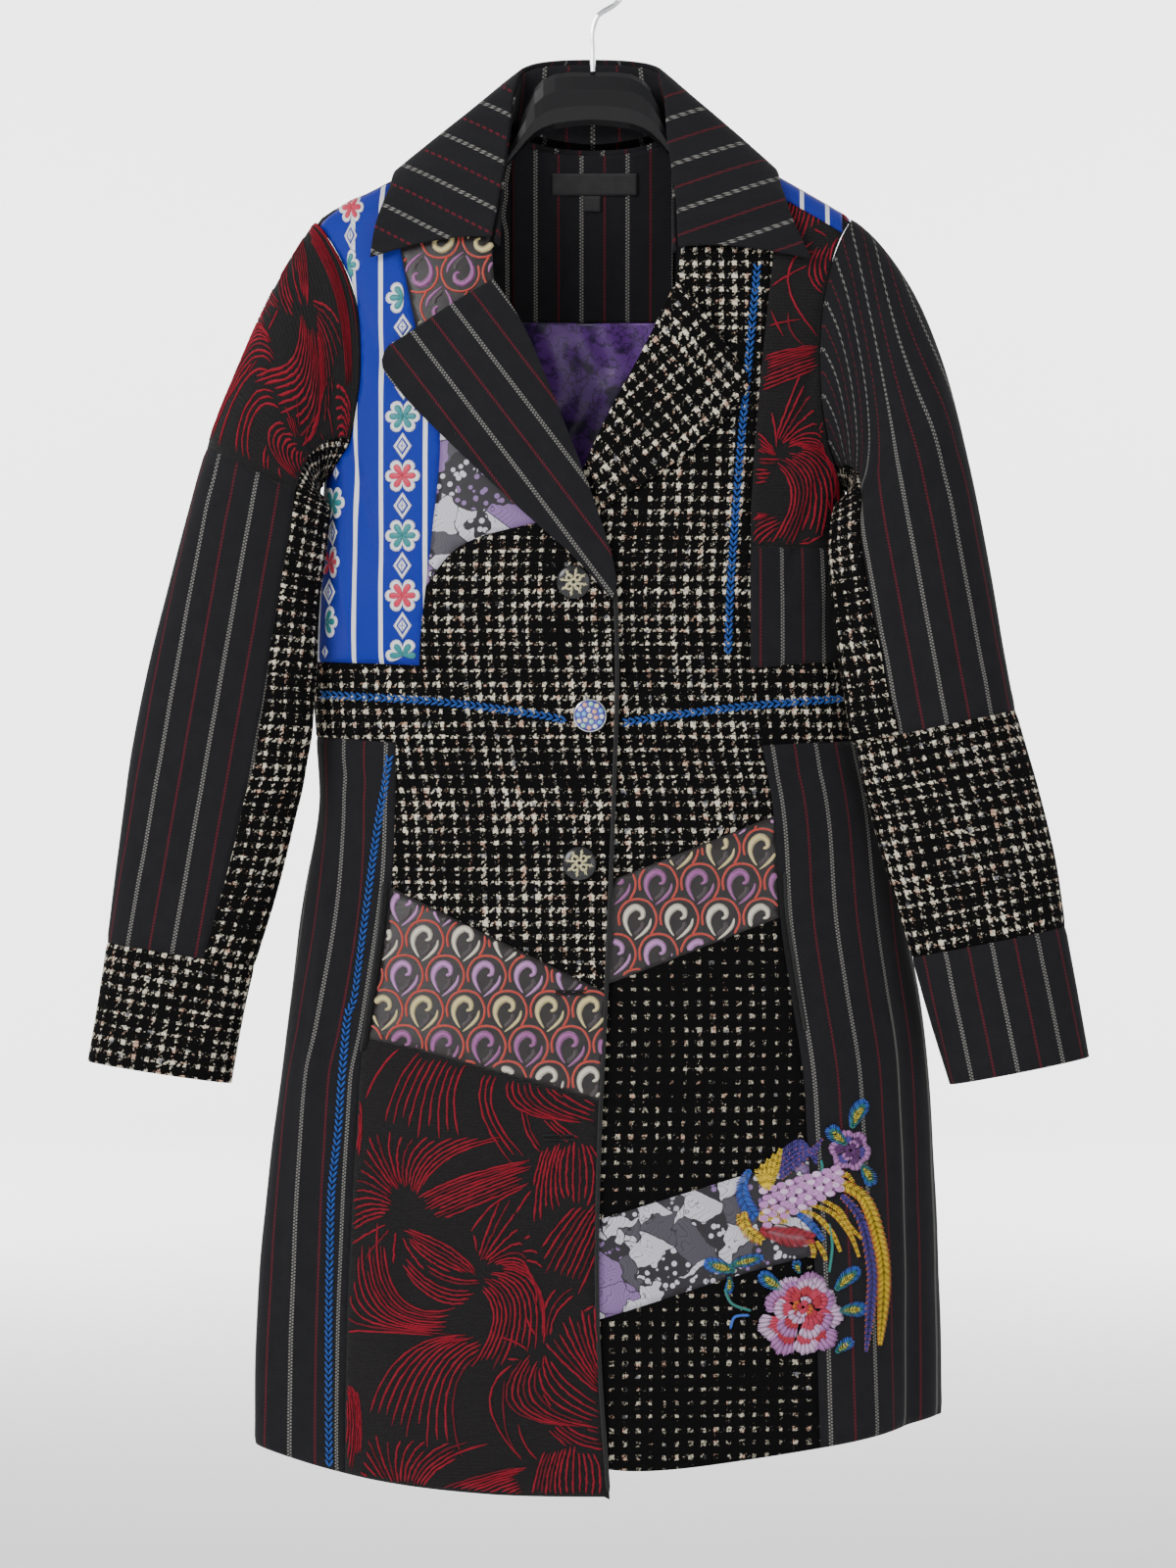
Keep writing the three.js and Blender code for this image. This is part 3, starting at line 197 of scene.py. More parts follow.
RIGHT_ROLL = [(-67, 229), (-54, 248), (-40, 275), (-10, 350), (11, 410), (16, 436)]
RIGHT_LAPEL_EDGE = [(-138, 273), (-143, 282), (-138, 295), (-110, 326), (-52, 382), (-14, 416), (13, 446)]
LEFT_ROLL = [(57, 228), (47, 249), (35, 274), (21, 300), (5, 331), (-4, 351)]
LEFT_LAPEL_EDGE = [(101, 288), (105, 298), (101, 308), (80, 331), (59, 350), (38, 365), (6, 385)]

OVER_HEM = Table("x drop", [(-235, 1020), (-170, 1037), (-70, 1047), (16, 1049)])
UNDER_HEM = Table("x drop", [(-30, 1026), (37, 1032), (157, 1018), (237, 1003)])
BACK_HEM = Table("x drop", [(-235, 1020), (0, 1030), (237, 1003)])
OVER_EDGE = Table("drop x", [
    (400, 14), (490, 17), (585, 14.5), (700, 10), (840, 4), (940, 4), (1060, 12),
])

OVER_SEAMS = {
    "braid": [(-141, 150), (-136, 175), (-131, 208), (-120, 262), (-104, 328), (-109, 400), (-116, 460),
              (-118, 491)],
    "chest": [(-113, 291), (-80, 270), (-40, 252), (-20, 248)],
    "print": [(-115.5, 440), (-92, 411), (-52, 397), (22, 384)],
    "waist": [(-260, 484), (-118, 490), (13, 497), (40, 498)],
    "band": [(-260, 532), (-137, 542), (-70, 547), (40, 551)],
    "side": [(-134, 541), (-137, 637), (-153, 737), (-160, 770), (-170, 937), (-173, 1070)],
    "paisleyTop": [(-138, 640), (-65, 675), (7, 710), (40, 724)],
    "paisleyFoot": [(-158, 742), (-103, 754), (7, 784), (40, 793)],
}
UNDER_SEAMS = {
    "plume": [(131, 140), (127, 180), (122, 218), (113, 304), (108, 370), (107, 410), (107, 493)],
    "plumeFoot": [(106, 410), (240, 409)],
    "waist": [(-60, 499), (15, 497), (103, 492), (163, 487), (240, 484)],
    "band": [(-60, 552), (17, 550), (63, 549), (117, 544), (240, 538)],
    "side": [(115, 543), (123, 592), (127, 660), (133, 704), (142, 760), (145, 804), (150, 904), (154, 1070)],
    "paisleyTop": [(-60, 660), (15, 634), (125, 591)],
    "paisleyFoot": [(-60, 730), (13, 704), (128, 660)],
    "printTop": [(-60, 882), (5, 863), (103, 834), (147, 822)],
    "printFoot": [(-60, 946), (5, 930), (90, 904), (151, 888)],
}
BACK_SEAMS = {
    "yoke": [(-260, 246), (0, 238), (260, 246)],
    "braid": [(122, 100), (128, 260)],
    "waist": [(-260, 484), (0, 492), (260, 484)],
    "band": [(-260, 532), (0, 548), (260, 538)],
    "middle": [(0, 230), (0, 500)],
    "skirt": [(0, 540), (0, 1080)],
}

BODY_CREASES = [  # turn and drop of the two ends, width, depth
    (-62, 215, -40, 330, 9, -1.6), (-66, 330, -50, 420, 8, -1.8), (-70, 380, -58, 470, 7, 1.6),
    (60, 230, 52, 330, 8, -1.4), (66, 340, 52, 430, 8, -1.8), (74, 390, 62, 470, 7, 1.4),
    (-60, 500, -38, 486, 7, -1.5), (-72, 560, -48, 574, 8, -1.4), (58, 560, 40, 566, 7, -1.2),
    (-30, 470, -8, 482, 9, -1.0), (30, 474, 12, 480, 9, -1.0), (-12, 560, -24, 640, 10, -0.9),
    (-56, 600, -54, 760, 8, -1.8), (-66, 640, -62, 1000, 9, 1.6), (62, 640, 64, 1000, 9, 1.6),
    (38, 700, 36, 860, 10, -1.2), (-36, 820, -30, 1010, 12, -1.4), (12, 800, 14, 1000, 12, -1.1),
    (130, 300, 150, 430, 10, -2.0), (-130, 300, -150, 430, 10, -2.0), (160, 400, 170, 500, 9, 1.5),
    (-160, 400, -172, 500, 9, -1.5), (120, 520, 150, 560, 8, -1.4), (-120, 520, -150, 560, 8, -1.4),
    (140, 260, 175, 262, 8, -1.2), (-140, 262, -170, 262, 8, -1.2), (150, 640, 152, 980, 12, -2.0),
    (-136, 640, -140, 980, 12, 2.0),
]
SLEEVE_CREASES = [  # ring and part of the two ends, width in degrees, depth
    (4.2, 60, 5.6, 150, 13, -2.2), (5.2, 20, 6.4, 130, 12, -1.8), (7.2, 70, 8.4, 175, 12, -2.6),
    (8.3, 60, 9.2, 178, 11, -2.8), (9.4, 50, 10.0, 172, 11, -2.2), (10.4, 20, 11.2, 120, 12, -1.4),
    (1.4, 30, 2.6, 110, 12, -1.6), (2.4, 60, 3.8, 160, 11, -2.0), (7.4, 200, 8.6, 290, 13, -2.6),
    (9.0, 190, 9.8, 280, 12, -2.2), (3.4, 210, 4.6, 300, 13, -2.2), (12.4, 60, 13.2, 130, 12, -1.2),
    (11.2, 200, 12.0, 290, 12, -1.4), (6.2, 330, 9.6, 350, 10, 1.4), (3.6, 168, 5.8, 178, 24, 3.8),
]


def lerp(a: float, b: float, t: float) -> float:
    """Mix two values."""
    return a + (b - a) * t


def smoothstep(low: float, high: float, value: float) -> float:
    """Rise smoothly from 0 at low to 1 at high."""
    t = min(max((value - low) / (high - low), 0.0), 1.0)
    return t * t * (3 - 2 * t)


def smooth_run(points: Sequence[Pair], step: float) -> list[Pair]:
    """Draw a smooth curve through a few points.

    Args:
        points: The points it passes through.
        step: The distance between the points of the result.

    Returns:
        The curve's points.
    """
    run: list[Pair] = []
    last = len(points) - 1
    for i in range(last):
        p = [Vector(points[max(min(k, last), 0)]) for k in (i - 1, i, i + 1, i + 2)]
        count = max(int((p[2] - p[1]).length / step), 1)
        for k in range(count):
            t = k / count
            q = 0.5 * (2 * p[1] + (p[2] - p[0]) * t + (2 * p[0] - 5 * p[1] + 4 * p[2] - p[3]) * t ** 2
                       + (3 * p[1] - p[0] - 3 * p[2] + p[3]) * t ** 3)
            run.append((q.x, q.y))
    run.append((float(points[last][0]), float(points[last][1])))
    return run


def crease_depth(rows: Sequence[Sequence[float]], s: float, d: float, scale: float) -> float:
    """Add up the creases that reach a place.

    Args:
        rows: Creases by their two ends, width and depth.
        s: First coordinate of the place.
        d: Second coordinate of the place.
        scale: Millimetres in one unit of the first coordinate.

    Returns:
        How far the cloth moves out.
    """
    total = 0.0
    for s0, d0, s1, d1, width, depth in rows:
        ax, ay = (s - s0) * scale, d - d0
        bx, by = (s1 - s0) * scale, d1 - d0
        length = bx * bx + by * by
        t = min(max((ax * bx + ay * by) / length, 0.0), 1.0)
        away = math.hypot(ax - bx * t, ay - by * t)
        if away < CREASE_REACH * width:
            total += CREASE_GAIN * depth * math.exp(-(away / width) ** 2) * (0.35 + 0.65
                                                                             * math.sin(math.pi * t))
    return total


class Skin:
    """The coat's body as a surface: a turn round it and a drop give a place."""

    @staticmethod
    @lru_cache(maxsize=40000)
    def section(drop: float) -> tuple[float, float, float, float]:
        """Middle, half width, front and back depth of the section at a drop."""
        right, left = BODY.read("right", drop), BODY.read("left", drop)
        return ((left + right) / 2, (left - right) / 2, BODY.read("front", drop), BODY.read("back", drop))

    @staticmethod
    def turn(x: float, drop: float) -> float:
        """Turn at which the front shows a given x."""
        middle, half, _, _ = Skin.section(drop)
        return math.degrees(math.asin(min(max((x - middle) / half, -1), 1)))

    @staticmethod
    def fold(turn: float, drop: float) -> float:
        """How far the skirt's folds move the cloth out.

        Args:
            turn: Degrees round the body, 0 in front and 180 behind.
            drop: Distance down from the rail.

        Returns:
            The distance.
        """
        grown = max((drop - FOLDS_START) / FOLDS_GROWTH, 0) ** 1.3
        if grown == 0:
            return 0.0
        depth = 0.0
        for at, spread, height in SKIRT_FOLDS:
            away = (turn - at + 180) % 360 - 180
            depth += height * math.exp(-(away / spread) ** 2)
        return depth * grown

    @staticmethod
    def raw(turn: float, drop: float) -> Vector:
        """Place on the surface, in millimetres, before it is moved in or out.

        Args:
            turn: Degrees round the body, 0 in front and 180 behind.
            drop: Distance down from the rail.

        Returns:
            The place.
        """
        middle, half, front, back = Skin.section(drop)
        side, face = math.sin(math.radians(turn)), math.cos(math.radians(turn))
        depth = front if face > 0 else back
        fold = Skin.fold(turn, drop)
        return Vector((middle + (half + fold) * side, SIDE_DEPTH - (depth + fold) * face, -drop))

    @staticmethod
    def normal(turn: float, drop: float) -> Vector:
        """Outward direction of the surface.

        Args:
            turn: Degrees round the body, 0 in front and 180 behind.
            drop: Distance down from the rail.

        Returns:
            The direction, of length one.
        """
        step = 0.5
        around = Skin.raw(turn + step, drop) - Skin.raw(turn - step, drop)
        down = Skin.raw(turn, drop + step) - Skin.raw(turn, max(drop - step, NECK_DROP))
        return down.cross(around).normalized()

    @staticmethod
    def place(turn: float, drop: float, inset: float = 0.0) -> Vector:
        """Place on the surface, moved in by an inset, with its creases.

        Args:
            turn: Degrees round the body, 0 in front and 180 behind.
            drop: Distance down from the rail.
            inset: How far in from the surface.

        Returns:
            The place.
        """
        signed = (turn + 180) % 360 - 180
        out = crease_depth(BODY_CREASES, signed, drop, TURN_SCALE)
        ripple = BODY_RIPPLE * math.sin(signed * 0.21 + drop * 0.031) * math.sin(drop * 0.047 - signed * 0.09)
        return Skin.raw(turn, drop) + Skin.normal(turn, drop) * (out + ripple - inset)

    @staticmethod
    @lru_cache(maxsize=4000)
    def arcs(drop: int) -> list[float]:
        """Length round the section from the middle of the front, at each step of turn.

        Args:
            drop: Distance down from the rail.

        Returns:
            The lengths in millimetres.
        """
        middle, half, front, back = Skin.section(float(drop))
        lengths = [0.0]
        for i in range(1, ARC_COUNT + 1):
            angle = math.radians(ARC_STEP * (i - 0.5))
            depth = front if math.cos(angle) > 0 else back
            part = math.radians(ARC_STEP) * math.hypot(half * math.cos(angle), depth * math.sin(angle))
            lengths.append(lengths[-1] + part)
        return lengths

    @staticmethod
    def arc(turn: float, drop: float) -> float:
        """Length round the section from the middle of the front to a turn, in millimetres.

        Args:
            turn: Degrees round the body, 0 in front and 180 behind.
            drop: Distance down from the rail.

        Returns:
            The length.
        """
        signed = turn if turn <= 180 else turn - 360
        lengths = Skin.arcs(int(round(drop)))
        at = min(abs(signed) / ARC_STEP, ARC_COUNT - 0.001)
        i = int(at)
        return math.copysign(lerp(lengths[i], lengths[i + 1], at - i), signed)


def under_inset(x: float) -> float:
    """How far the under front lies in at a given x."""
    return UNDER_INSET * (1 - smoothstep(22, 60, x))


def on_front(x: float, drop: float, lift: float = 0.0) -> Vector:
    """Place on the over front at a given x, lifted off it, in millimetres."""
    return Skin.place(Skin.turn(x, drop), drop, -lift)


def on_under(x: float, drop: float, lift: float = 0.0) -> Vector:
    """Place on the under front at a given x, lifted off it, in millimetres."""
    return Skin.place(Skin.turn(x, drop), drop, under_inset(x) - lift)


def to_scene(p: Vector) -> Vector:
    """Turn a place in millimetres into the scene's metres."""
    return Vector((p.x * MM, (p.y - HOOK_DEPTH) * MM, p.z * MM))


class Value:
    """A number or colour in a material's node tree: arithmetic with it adds Math nodes."""

    def __init__(self, graph: "Graph", socket: bpy.types.NodeSocket) -> None:
        """Keep the socket that gives it."""
        self.graph, self.socket = graph, socket

    def __add__(self, other: "Term") -> "Value":
        """Add a term."""
        return self.graph.math("ADD", self, other)

    def __radd__(self, other: float) -> "Value":
        """Add it to a plain number."""
        return self.graph.math("ADD", other, self)

    def __sub__(self, other: "Term") -> "Value":
        """Take a term away."""
        return self.graph.math("SUBTRACT", self, other)

    def __rsub__(self, other: float) -> "Value":
        """Take it from a plain number."""
        return self.graph.math("SUBTRACT", other, self)

    def __mul__(self, other: "Term") -> "Value":
        """Multiply it by a term."""
        return self.graph.math("MULTIPLY", self, other)

    def __truediv__(self, other: "Term") -> "Value":
        """Divide it by a term."""
        return self.graph.math("DIVIDE", self, other)


Term = Value | float | tuple | None


class Graph:
    """A material's node tree with short ways to add nodes."""

    def __init__(self, name: str) -> None:
        """Start a material with a Principled shader.

        Args:
            name: The material's name.
        """
        self.material = bpy.data.materials.new(name)
        self.material.use_nodes = True
        self.tree = self.material.node_tree
        self.shader = next(n for n in self.tree.nodes if n.type == "BSDF_PRINCIPLED")
        self.uv = self.tree.nodes.new("ShaderNodeUVMap")
        self.uv.uv_map = "cloth"
        split = self.tree.nodes.new("ShaderNodeSeparateXYZ")
        self.tree.links.new(self.uv.outputs[0], split.inputs[0])
        self.u = Value(self, split.outputs[0]) * (1 / MM)
        self.v = Value(self, split.outputs[1]) * (1 / MM)

    def wire(self, value: Term, socket: bpy.types.NodeSocket) -> None:
        """Link a socket, or set it to a plain value.

        Args:
            value: What the socket gets.
            socket: The socket.
        """
        if isinstance(value, Value):
            self.tree.links.new(value.socket, socket)
        elif value is not None:
            socket.default_value = value

    def math(self, operation: str, a: Term, b: Term = None, clamp: bool = False) -> Value:
        """Add a Math node and return its result.

        Args:
            operation: The node's operation.
            a: Its first term.
            b: Its second term, or None.
            clamp: Whether the result is kept from 0 to 1.

        Returns:
            The result.
        """
        node = self.tree.nodes.new("ShaderNodeMath")
        node.operation = operation
        node.use_clamp = clamp
        for value, socket in zip((a, b), node.inputs):
            self.wire(value, socket)
        return Value(self, node.outputs[0])

    def step(self, value: Term, edge: float, soft: float) -> Value:
        """Go from 0 to 1 around an edge, over a soft width.

        Args:
            value: What is compared.
            edge: Where the result is a half.
            soft: Width of the rise.

        Returns:
            The result.
        """
        node = self.tree.nodes.new("ShaderNodeMapRange")
        node.interpolation_type = "SMOOTHSTEP"
        self.wire(value, node.inputs["Value"])
        node.inputs["From Min"].default_value = edge - soft / 2
        node.inputs["From Max"].default_value = edge + soft / 2
        return Value(self, node.outputs["Result"])

    def band(self, value: Term, half: float, soft: float) -> Value:
        """Be 1 where a value lies within a half width of zero."""
        return 1.0 - self.step(self.math("ABSOLUTE", value), half, soft)

    def wave(self, value: Value, pitch: float) -> Value:
        """Rise and fall once in every pitch."""
        return self.math("SINE", value * (2 * math.pi / pitch))

    def repeat(self, value: Value, pitch: float, shift: float = 0.0) -> Value:
        """Distance from the nearest of evenly spaced lines."""
        return self.math("PINGPONG", value - shift + FAR_PITCHES * pitch, pitch / 2)

    def mix(self, amount: Term, a: Term, b: Term) -> Value:
        """Mix two colours.

        Args:
            amount: Share of the second colour.
            a: The first colour.
            b: The second colour.

        Returns:
            The mixed colour.
        """
        node = self.tree.nodes.new("ShaderNodeMix")
        node.data_type = "RGBA"
        self.wire(amount, node.inputs[0])
        self.wire(a, node.inputs[6])
        self.wire(b, node.inputs[7])
        return Value(self, node.outputs[2])

    def place_vector(self, u: Term = None, v: Term = None) -> Value:
        """Join two lengths in millimetres into a vector.

        Args:
            u: The first length, or None for the cloth's own.
            v: The second length, or None for the cloth's own.

        Returns:
            The vector.
        """
        node = self.tree.nodes.new("ShaderNodeCombineXYZ")
        self.wire(self.u if u is None else u, node.inputs[0])
        self.wire(self.v if v is None else v, node.inputs[1])
        return Value(self, node.outputs[0])

    def noise(self, pitch: float, detail: float = 2.0, vector: Term = None, rough: float = 0.5) -> Value:
        """Noise with spots about a pitch apart, in millimetres.

        Args:
            pitch: Distance between its spots.
            detail: How many finer layers it has.
            vector: Where it is read, or None for the cloth's place.
            rough: Strength of its finer layers.

        Returns:
            The noise, from 0 to 1.
        """
        node = self.tree.nodes.new("ShaderNodeTexNoise")
        self.wire(self.place_vector() if vector is None else vector, node.inputs["Vector"])
        node.inputs["Scale"].default_value = 1 / pitch
        node.inputs["Detail"].default_value = detail
        node.inputs["Roughness"].default_value = rough
        return Value(self, node.outputs["Fac"])

    def object_noise(self, pitch: float, detail: float = 2.0) -> Value:
        """Noise in the object's own space, with spots about a pitch apart in metres.

        Args:
            pitch: Distance between its spots.
            detail: How many finer layers it has.

        Returns:
            The noise, from 0 to 1.
        """
        where = self.tree.nodes.new("ShaderNodeTexCoord")
        node = self.tree.nodes.new("ShaderNodeTexNoise")
        self.wire(Value(self, where.outputs["Object"]), node.inputs["Vector"])
        node.inputs["Scale"].default_value = 1 / pitch
        node.inputs["Detail"].default_value = detail
        return Value(self, node.outputs["Fac"])

    def voronoi(self, place: Value, pitch: float, feature: str = "F1") -> bpy.types.Node:
        """Add a pattern of cells about a pitch apart.

        Args:
            place: Where it is read.
            pitch: Distance between cells, in millimetres.
            feature: What its distance is measured from.

        Returns:
            The pattern's node.
        """
        node = self.tree.nodes.new("ShaderNodeTexVoronoi")
        node.feature = feature
        self.wire(place, node.inputs["Vector"])
        node.inputs["Scale"].default_value = 1 / pitch
        return node

    def bump(self, height: Term, distance: float, strength: float = 1.0) -> None:
        """Raise the surface by a height, in millimetres at 1.

        Args:
            height: The height, from 0 to 1.
            distance: How high 1 stands.
            strength: How much of it shows.
        """
        node = self.tree.nodes.new("ShaderNodeBump")
        node.inputs["Strength"].default_value = strength
        node.inputs["Distance"].default_value = distance * MM
        self.wire(height, node.inputs["Height"])
        self.tree.links.new(node.outputs[0], self.shader.inputs["Normal"])

    def finish(self, color: Term, roughness: Term, sheen: float = 0.0, specular: float = 0.5,
               metallic: float = 0.0) -> bpy.types.Material:
        """Set the shader's main sockets and return the material.

        Args:
            color: The base colour.
            roughness: The roughness.
            sheen: The fuzz's weight.
            specular: The level of its gloss.
            metallic: How metallic it is.

        Returns:
            The material.
        """
        self.wire(color, self.shader.inputs["Base Color"])
        self.wire(roughness, self.shader.inputs["Roughness"])
        self.shader.inputs["Sheen Weight"].default_value = sheen
        self.shader.inputs["Sheen Roughness"].default_value = 0.5
        self.shader.inputs["Sheen Tint"].default_value = (1, 1, 1, 1)
        self.shader.inputs["Specular IOR Level"].default_value = specular
        self.shader.inputs["Metallic"].default_value = metallic
        return self.material


@dataclass(frozen=True)
class Pinstripe:
    """Black twill with a dotted white stripe and a fine red one by turns."""

    name: str = "pinstripe"
    pitch: float = 32.0
    white: tuple = (0.19, 0.185, 0.17, 1)
    red: tuple = (0.105, 0.010, 0.018, 1)
    ground: tuple = (0.0058, 0.0058, 0.0068, 1)
    worn: tuple = (0.0155, 0.0155, 0.0180, 1)

    def make(self) -> bpy.types.Material:
        """Build the material.

        Returns:
            The material.
        """
        g = Graph(self.name)
        cloud = g.noise(14.0, 3)
        fuzz = g.noise(0.9, 2)
        twill = g.wave(g.u + g.v, 1.1)
        ground = g.mix((cloud + fuzz) * 0.5, self.ground, self.worn)
        from_white = g.repeat(g.u, self.pitch)
        column = g.band(from_white - 0.75, 0.55, 0.5)
        side = g.math("SIGN", g.wave(g.u, self.pitch))
        dot = g.math("SINE", g.v * (2 * math.pi / 2.2) + side * 1.5)
        white = column * g.step(dot, -0.25, 0.9)
        from_red = g.repeat(g.u, self.pitch, self.pitch / 2)
        dash = g.wave(g.v + g.u, 2.4)
        red = g.band(from_red, 0.75, 0.5) * g.step(dash, -0.3, 0.9)
        worn = g.math("ADD", 0.55, fuzz * 0.7, clamp=True)
        color = g.mix(white * worn, ground, self.white)
        color = g.mix(red * worn, color, self.red)
        height = twill * 0.25 + (fuzz + white * 0.5)
        g.bump(height, 0.28, 0.6)
        return g.finish(color, 0.95, sheen=0.03, specular=0.12)


@dataclass(frozen=True)
class Tweed:
    """Nubby black and cream cloth woven in a check of large and small stars."""

    name: str = "tweed"
    thread: float = 1.12
    plain: float = 72.0
    plain_share: float = 0.56
    check: float = 8.0
    large: float = 2.5
    small: float = 1.5
    light: float = 1.0
    black: tuple = (0.0032, 0.0030, 0.0032, 1)
    cream: tuple = (0.74, 0.68, 0.54, 1)
    peach: tuple = (0.52, 0.33, 0.24, 1)
    grey: tuple = (0.17, 0.17, 0.185, 1)

    def make(self) -> bpy.types.Material:
        """Build the material.

        Returns:
            The material.
        """
        g = Graph(self.name)
        wander = g.noise(5.0, 2)
        wander_more = g.noise(5.0, 2, g.place_vector(g.u + 300.0, g.v))
        fray = (g.noise(1.1, 2) - 0.5) * 1.5
        u = g.u + fray + (wander - 0.5) * 2.6
        v = g.v - fray + (wander_more - 0.5) * 2.6
        i = g.math("FLOOR", (u + FAR) / self.thread)
        j = g.math("FLOOR", (v + FAR) / self.thread)

        def light_thread(count: Value, along: Value) -> Value:
            """Say whether a thread is a light one.

            Args:
                count: The thread's number.
                along: Place along the thread.

            Returns:
                1 for a light thread, 0 for a black one.
            """
            big = g.math("LESS_THAN", g.math("MODULO", count, self.check), self.large)
            small = g.math("LESS_THAN", g.math("MODULO", count, self.check), self.small)
            zone = g.math("LESS_THAN", g.math("MODULO", along + 6200.0, self.plain),
                          self.plain * self.plain_share)
            return big * zone + small * (1.0 - zone)

        warp = light_thread(i, u)
        weft = light_thread(j, v)
        over = g.math("LESS_THAN", g.math("MODULO", i + j, 4.0), 1.5)
        shown = warp * over + weft * (1.0 - over)
        both = warp * weft
        slub = g.noise(1.7, 3, rough=0.7)
        large = g.noise(24.0, 2)
        level = slub + (large - 0.5) * 0.5
        crossing = both * g.step(level, 0.41 / self.light, 0.1)
        single = shown * g.step(level, 0.555 / self.light, 0.07)
        shown = g.math("MAXIMUM", crossing, single)
        hue = g.noise(7.0, 1, g.place_vector(g.v, g.u))
        light = g.mix(g.step(hue, 0.60, 0.08), self.cream, self.peach)
        light = g.mix(g.step(hue, 0.36, 0.06), self.grey, light)
        color = g.mix(shown, self.black, light)
        nub = g.noise(1.4, 3, rough=0.8)
        g.bump(nub + shown * 0.5, 1.1, 0.9)
        return g.finish(color, 0.97, sheen=0.0, specular=0.08)


@dataclass(frozen=True)
class PlumeGround:
    """Matt black boucle of small loops."""

    name: str = "plume_ground"
    black: tuple = (0.005, 0.0048, 0.005, 1)
    grey: tuple = (0.022, 0.020, 0.021, 1)

    def make(self) -> bpy.types.Material:
        """Build the material.

        Returns:
            The material.
        """
        g = Graph(self.name)
        loop = g.noise(1.5, 3, rough=0.7)
        row = g.wave(g.v + loop * 1.5, 2.2)
        g.bump(loop + row * 0.2, 1.3, 0.9)
        return g.finish(g.mix(loop, self.black, self.grey), 0.97, sheen=0.04, specular=0.1)


@dataclass(frozen=True)
class Satin:
    """A smooth cloth of floats with a fine rib and a soft gloss."""

    name: str
    color: tuple
    dark: tuple
    rib: float = 0.7
    roughness: float = 0.42
    blotch: float = 9.0

    def make(self) -> bpy.types.Material:
        """Build the material.

        Returns:
            The material.
        """
        g = Graph(self.name)
        rib = g.wave(g.v, self.rib)
        cloud = g.noise(self.blotch, 2)
        color = g.mix(g.step(cloud, 0.55, 0.5), self.color, self.dark)
        g.bump(rib * 0.5 + g.noise(0.8, 1), 0.12, 0.5)
        return g.finish(color, self.roughness, sheen=0.05, specular=0.4)


@dataclass(frozen=True)
class BlossomPrint:
    """Lavender, grey and white jacquard of leaves and round blossoms on black."""

    name: str = "print_ground"
    cell: float = 19.0
    petal: float = 5.2
    black: tuple = (0.012, 0.010, 0.014, 1)
    lavender: tuple = (0.19, 0.11, 0.27, 1)
    grey: tuple = (0.055, 0.05, 0.065, 1)
    white: tuple = (0.50, 0.49, 0.55, 1)

    def make(self) -> bpy.types.Material:
        """Build the material.

        Returns:
            The material.
        """
        g = Graph(self.name)
        bend = (g.noise(19.0, 2) - 0.5) * 34.0
        place = g.place_vector(g.u + bend, g.v + bend * 0.7)
        cells = g.voronoi(place, self.cell)
        rim = Value(g, g.voronoi(place, self.cell, "DISTANCE_TO_EDGE").outputs["Distance"])
        pick = g.tree.nodes.new("ShaderNodeSeparateColor")
        g.wire(Value(g, cells.outputs["Color"]), pick.inputs[0])
        tone, open_ground, petal_tone = (Value(g, socket) for socket in pick.outputs)
        color = g.mix(g.step(tone, 0.34, 0.02), self.grey, self.lavender)
        color = g.mix(g.step(tone, 0.68, 0.02), color, self.white)
        vein = g.math("SINE", (Value(g, cells.outputs["Distance"]) * 3.0 + g.u * 0.16) * 7.0)
        color = g.mix(g.band(vein, 0.16, 0.2) * 0.8, color, self.black)
        color = g.mix(g.step(open_ground, 0.66, 0.02), color, self.black)
        petals = Value(g, g.voronoi(g.place_vector(), self.petal).outputs["Distance"])
        blossom = g.step(open_ground, 0.66, 0.02) * (1.0 - g.step(petals, 0.36, 0.08))
        color = g.mix(blossom, color, g.mix(g.step(petal_tone, 0.5, 0.1), self.white, self.lavender))
        color = g.mix(g.band(rim, 0.016, 0.012), color, self.black)
        weave = g.wave(g.v, 0.7)
        g.bump(weave * 0.4 + g.noise(0.9, 1), 0.15, 0.5)
        return g.finish(color, 0.5, sheen=0.05, specular=0.35)


@dataclass(frozen=True)
class PrintedSatin:
    """A satin with a darker generic print of blots and lines, as on the lining."""

    name: str = "lining"
    color: tuple = (0.115, 0.028, 0.235, 1)
    dark: tuple = (0.018, 0.006, 0.045, 1)

    def make(self) -> bpy.types.Material:
        """Build the material.

        Returns:
            The material.
        """
        g = Graph(self.name)
        cloud = g.noise(26.0, 2)
        lines = g.noise(11.0, 4, rough=0.6)
        line = g.band(lines - 0.5, 0.022, 0.02)
        color = g.mix(g.step(cloud, 0.56, 0.08), self.color, self.dark)
        color = g.mix(line * 0.75, color, self.dark)
        g.bump(g.noise(9.0, 2), 1.2, 0.35)
        return g.finish(color, 0.34, sheen=0.1, specular=0.5)


@dataclass(frozen=True)
class Braid:
    """Royal blue woven strips between white and pale columns, laid side by side."""

    name: str = "braid"
    pitch: float = 52.0
    blue: tuple = (0.006, 0.022, 0.36, 1)
    deep: tuple = (0.003, 0.010, 0.18, 1)
    white: tuple = (0.72, 0.74, 0.78, 1)

    def make(self) -> bpy.types.Material:
        """Build the material.

        Returns:
            The material.
        """
        g = Graph(self.name)
        grain = g.noise(0.9, 2)
        twill = g.wave(g.u - g.v, 0.9)
        blue = g.mix(grain, self.blue, self.deep)
        away = g.repeat(g.u, self.pitch)
        color = g.mix(g.band(away - 16.0, 1.6, 0.4), blue, self.white)
        g.bump(twill * 0.5 + grain, 0.22, 0.6)
        return g.finish(color, 0.5, sheen=0.0, specular=0.22)


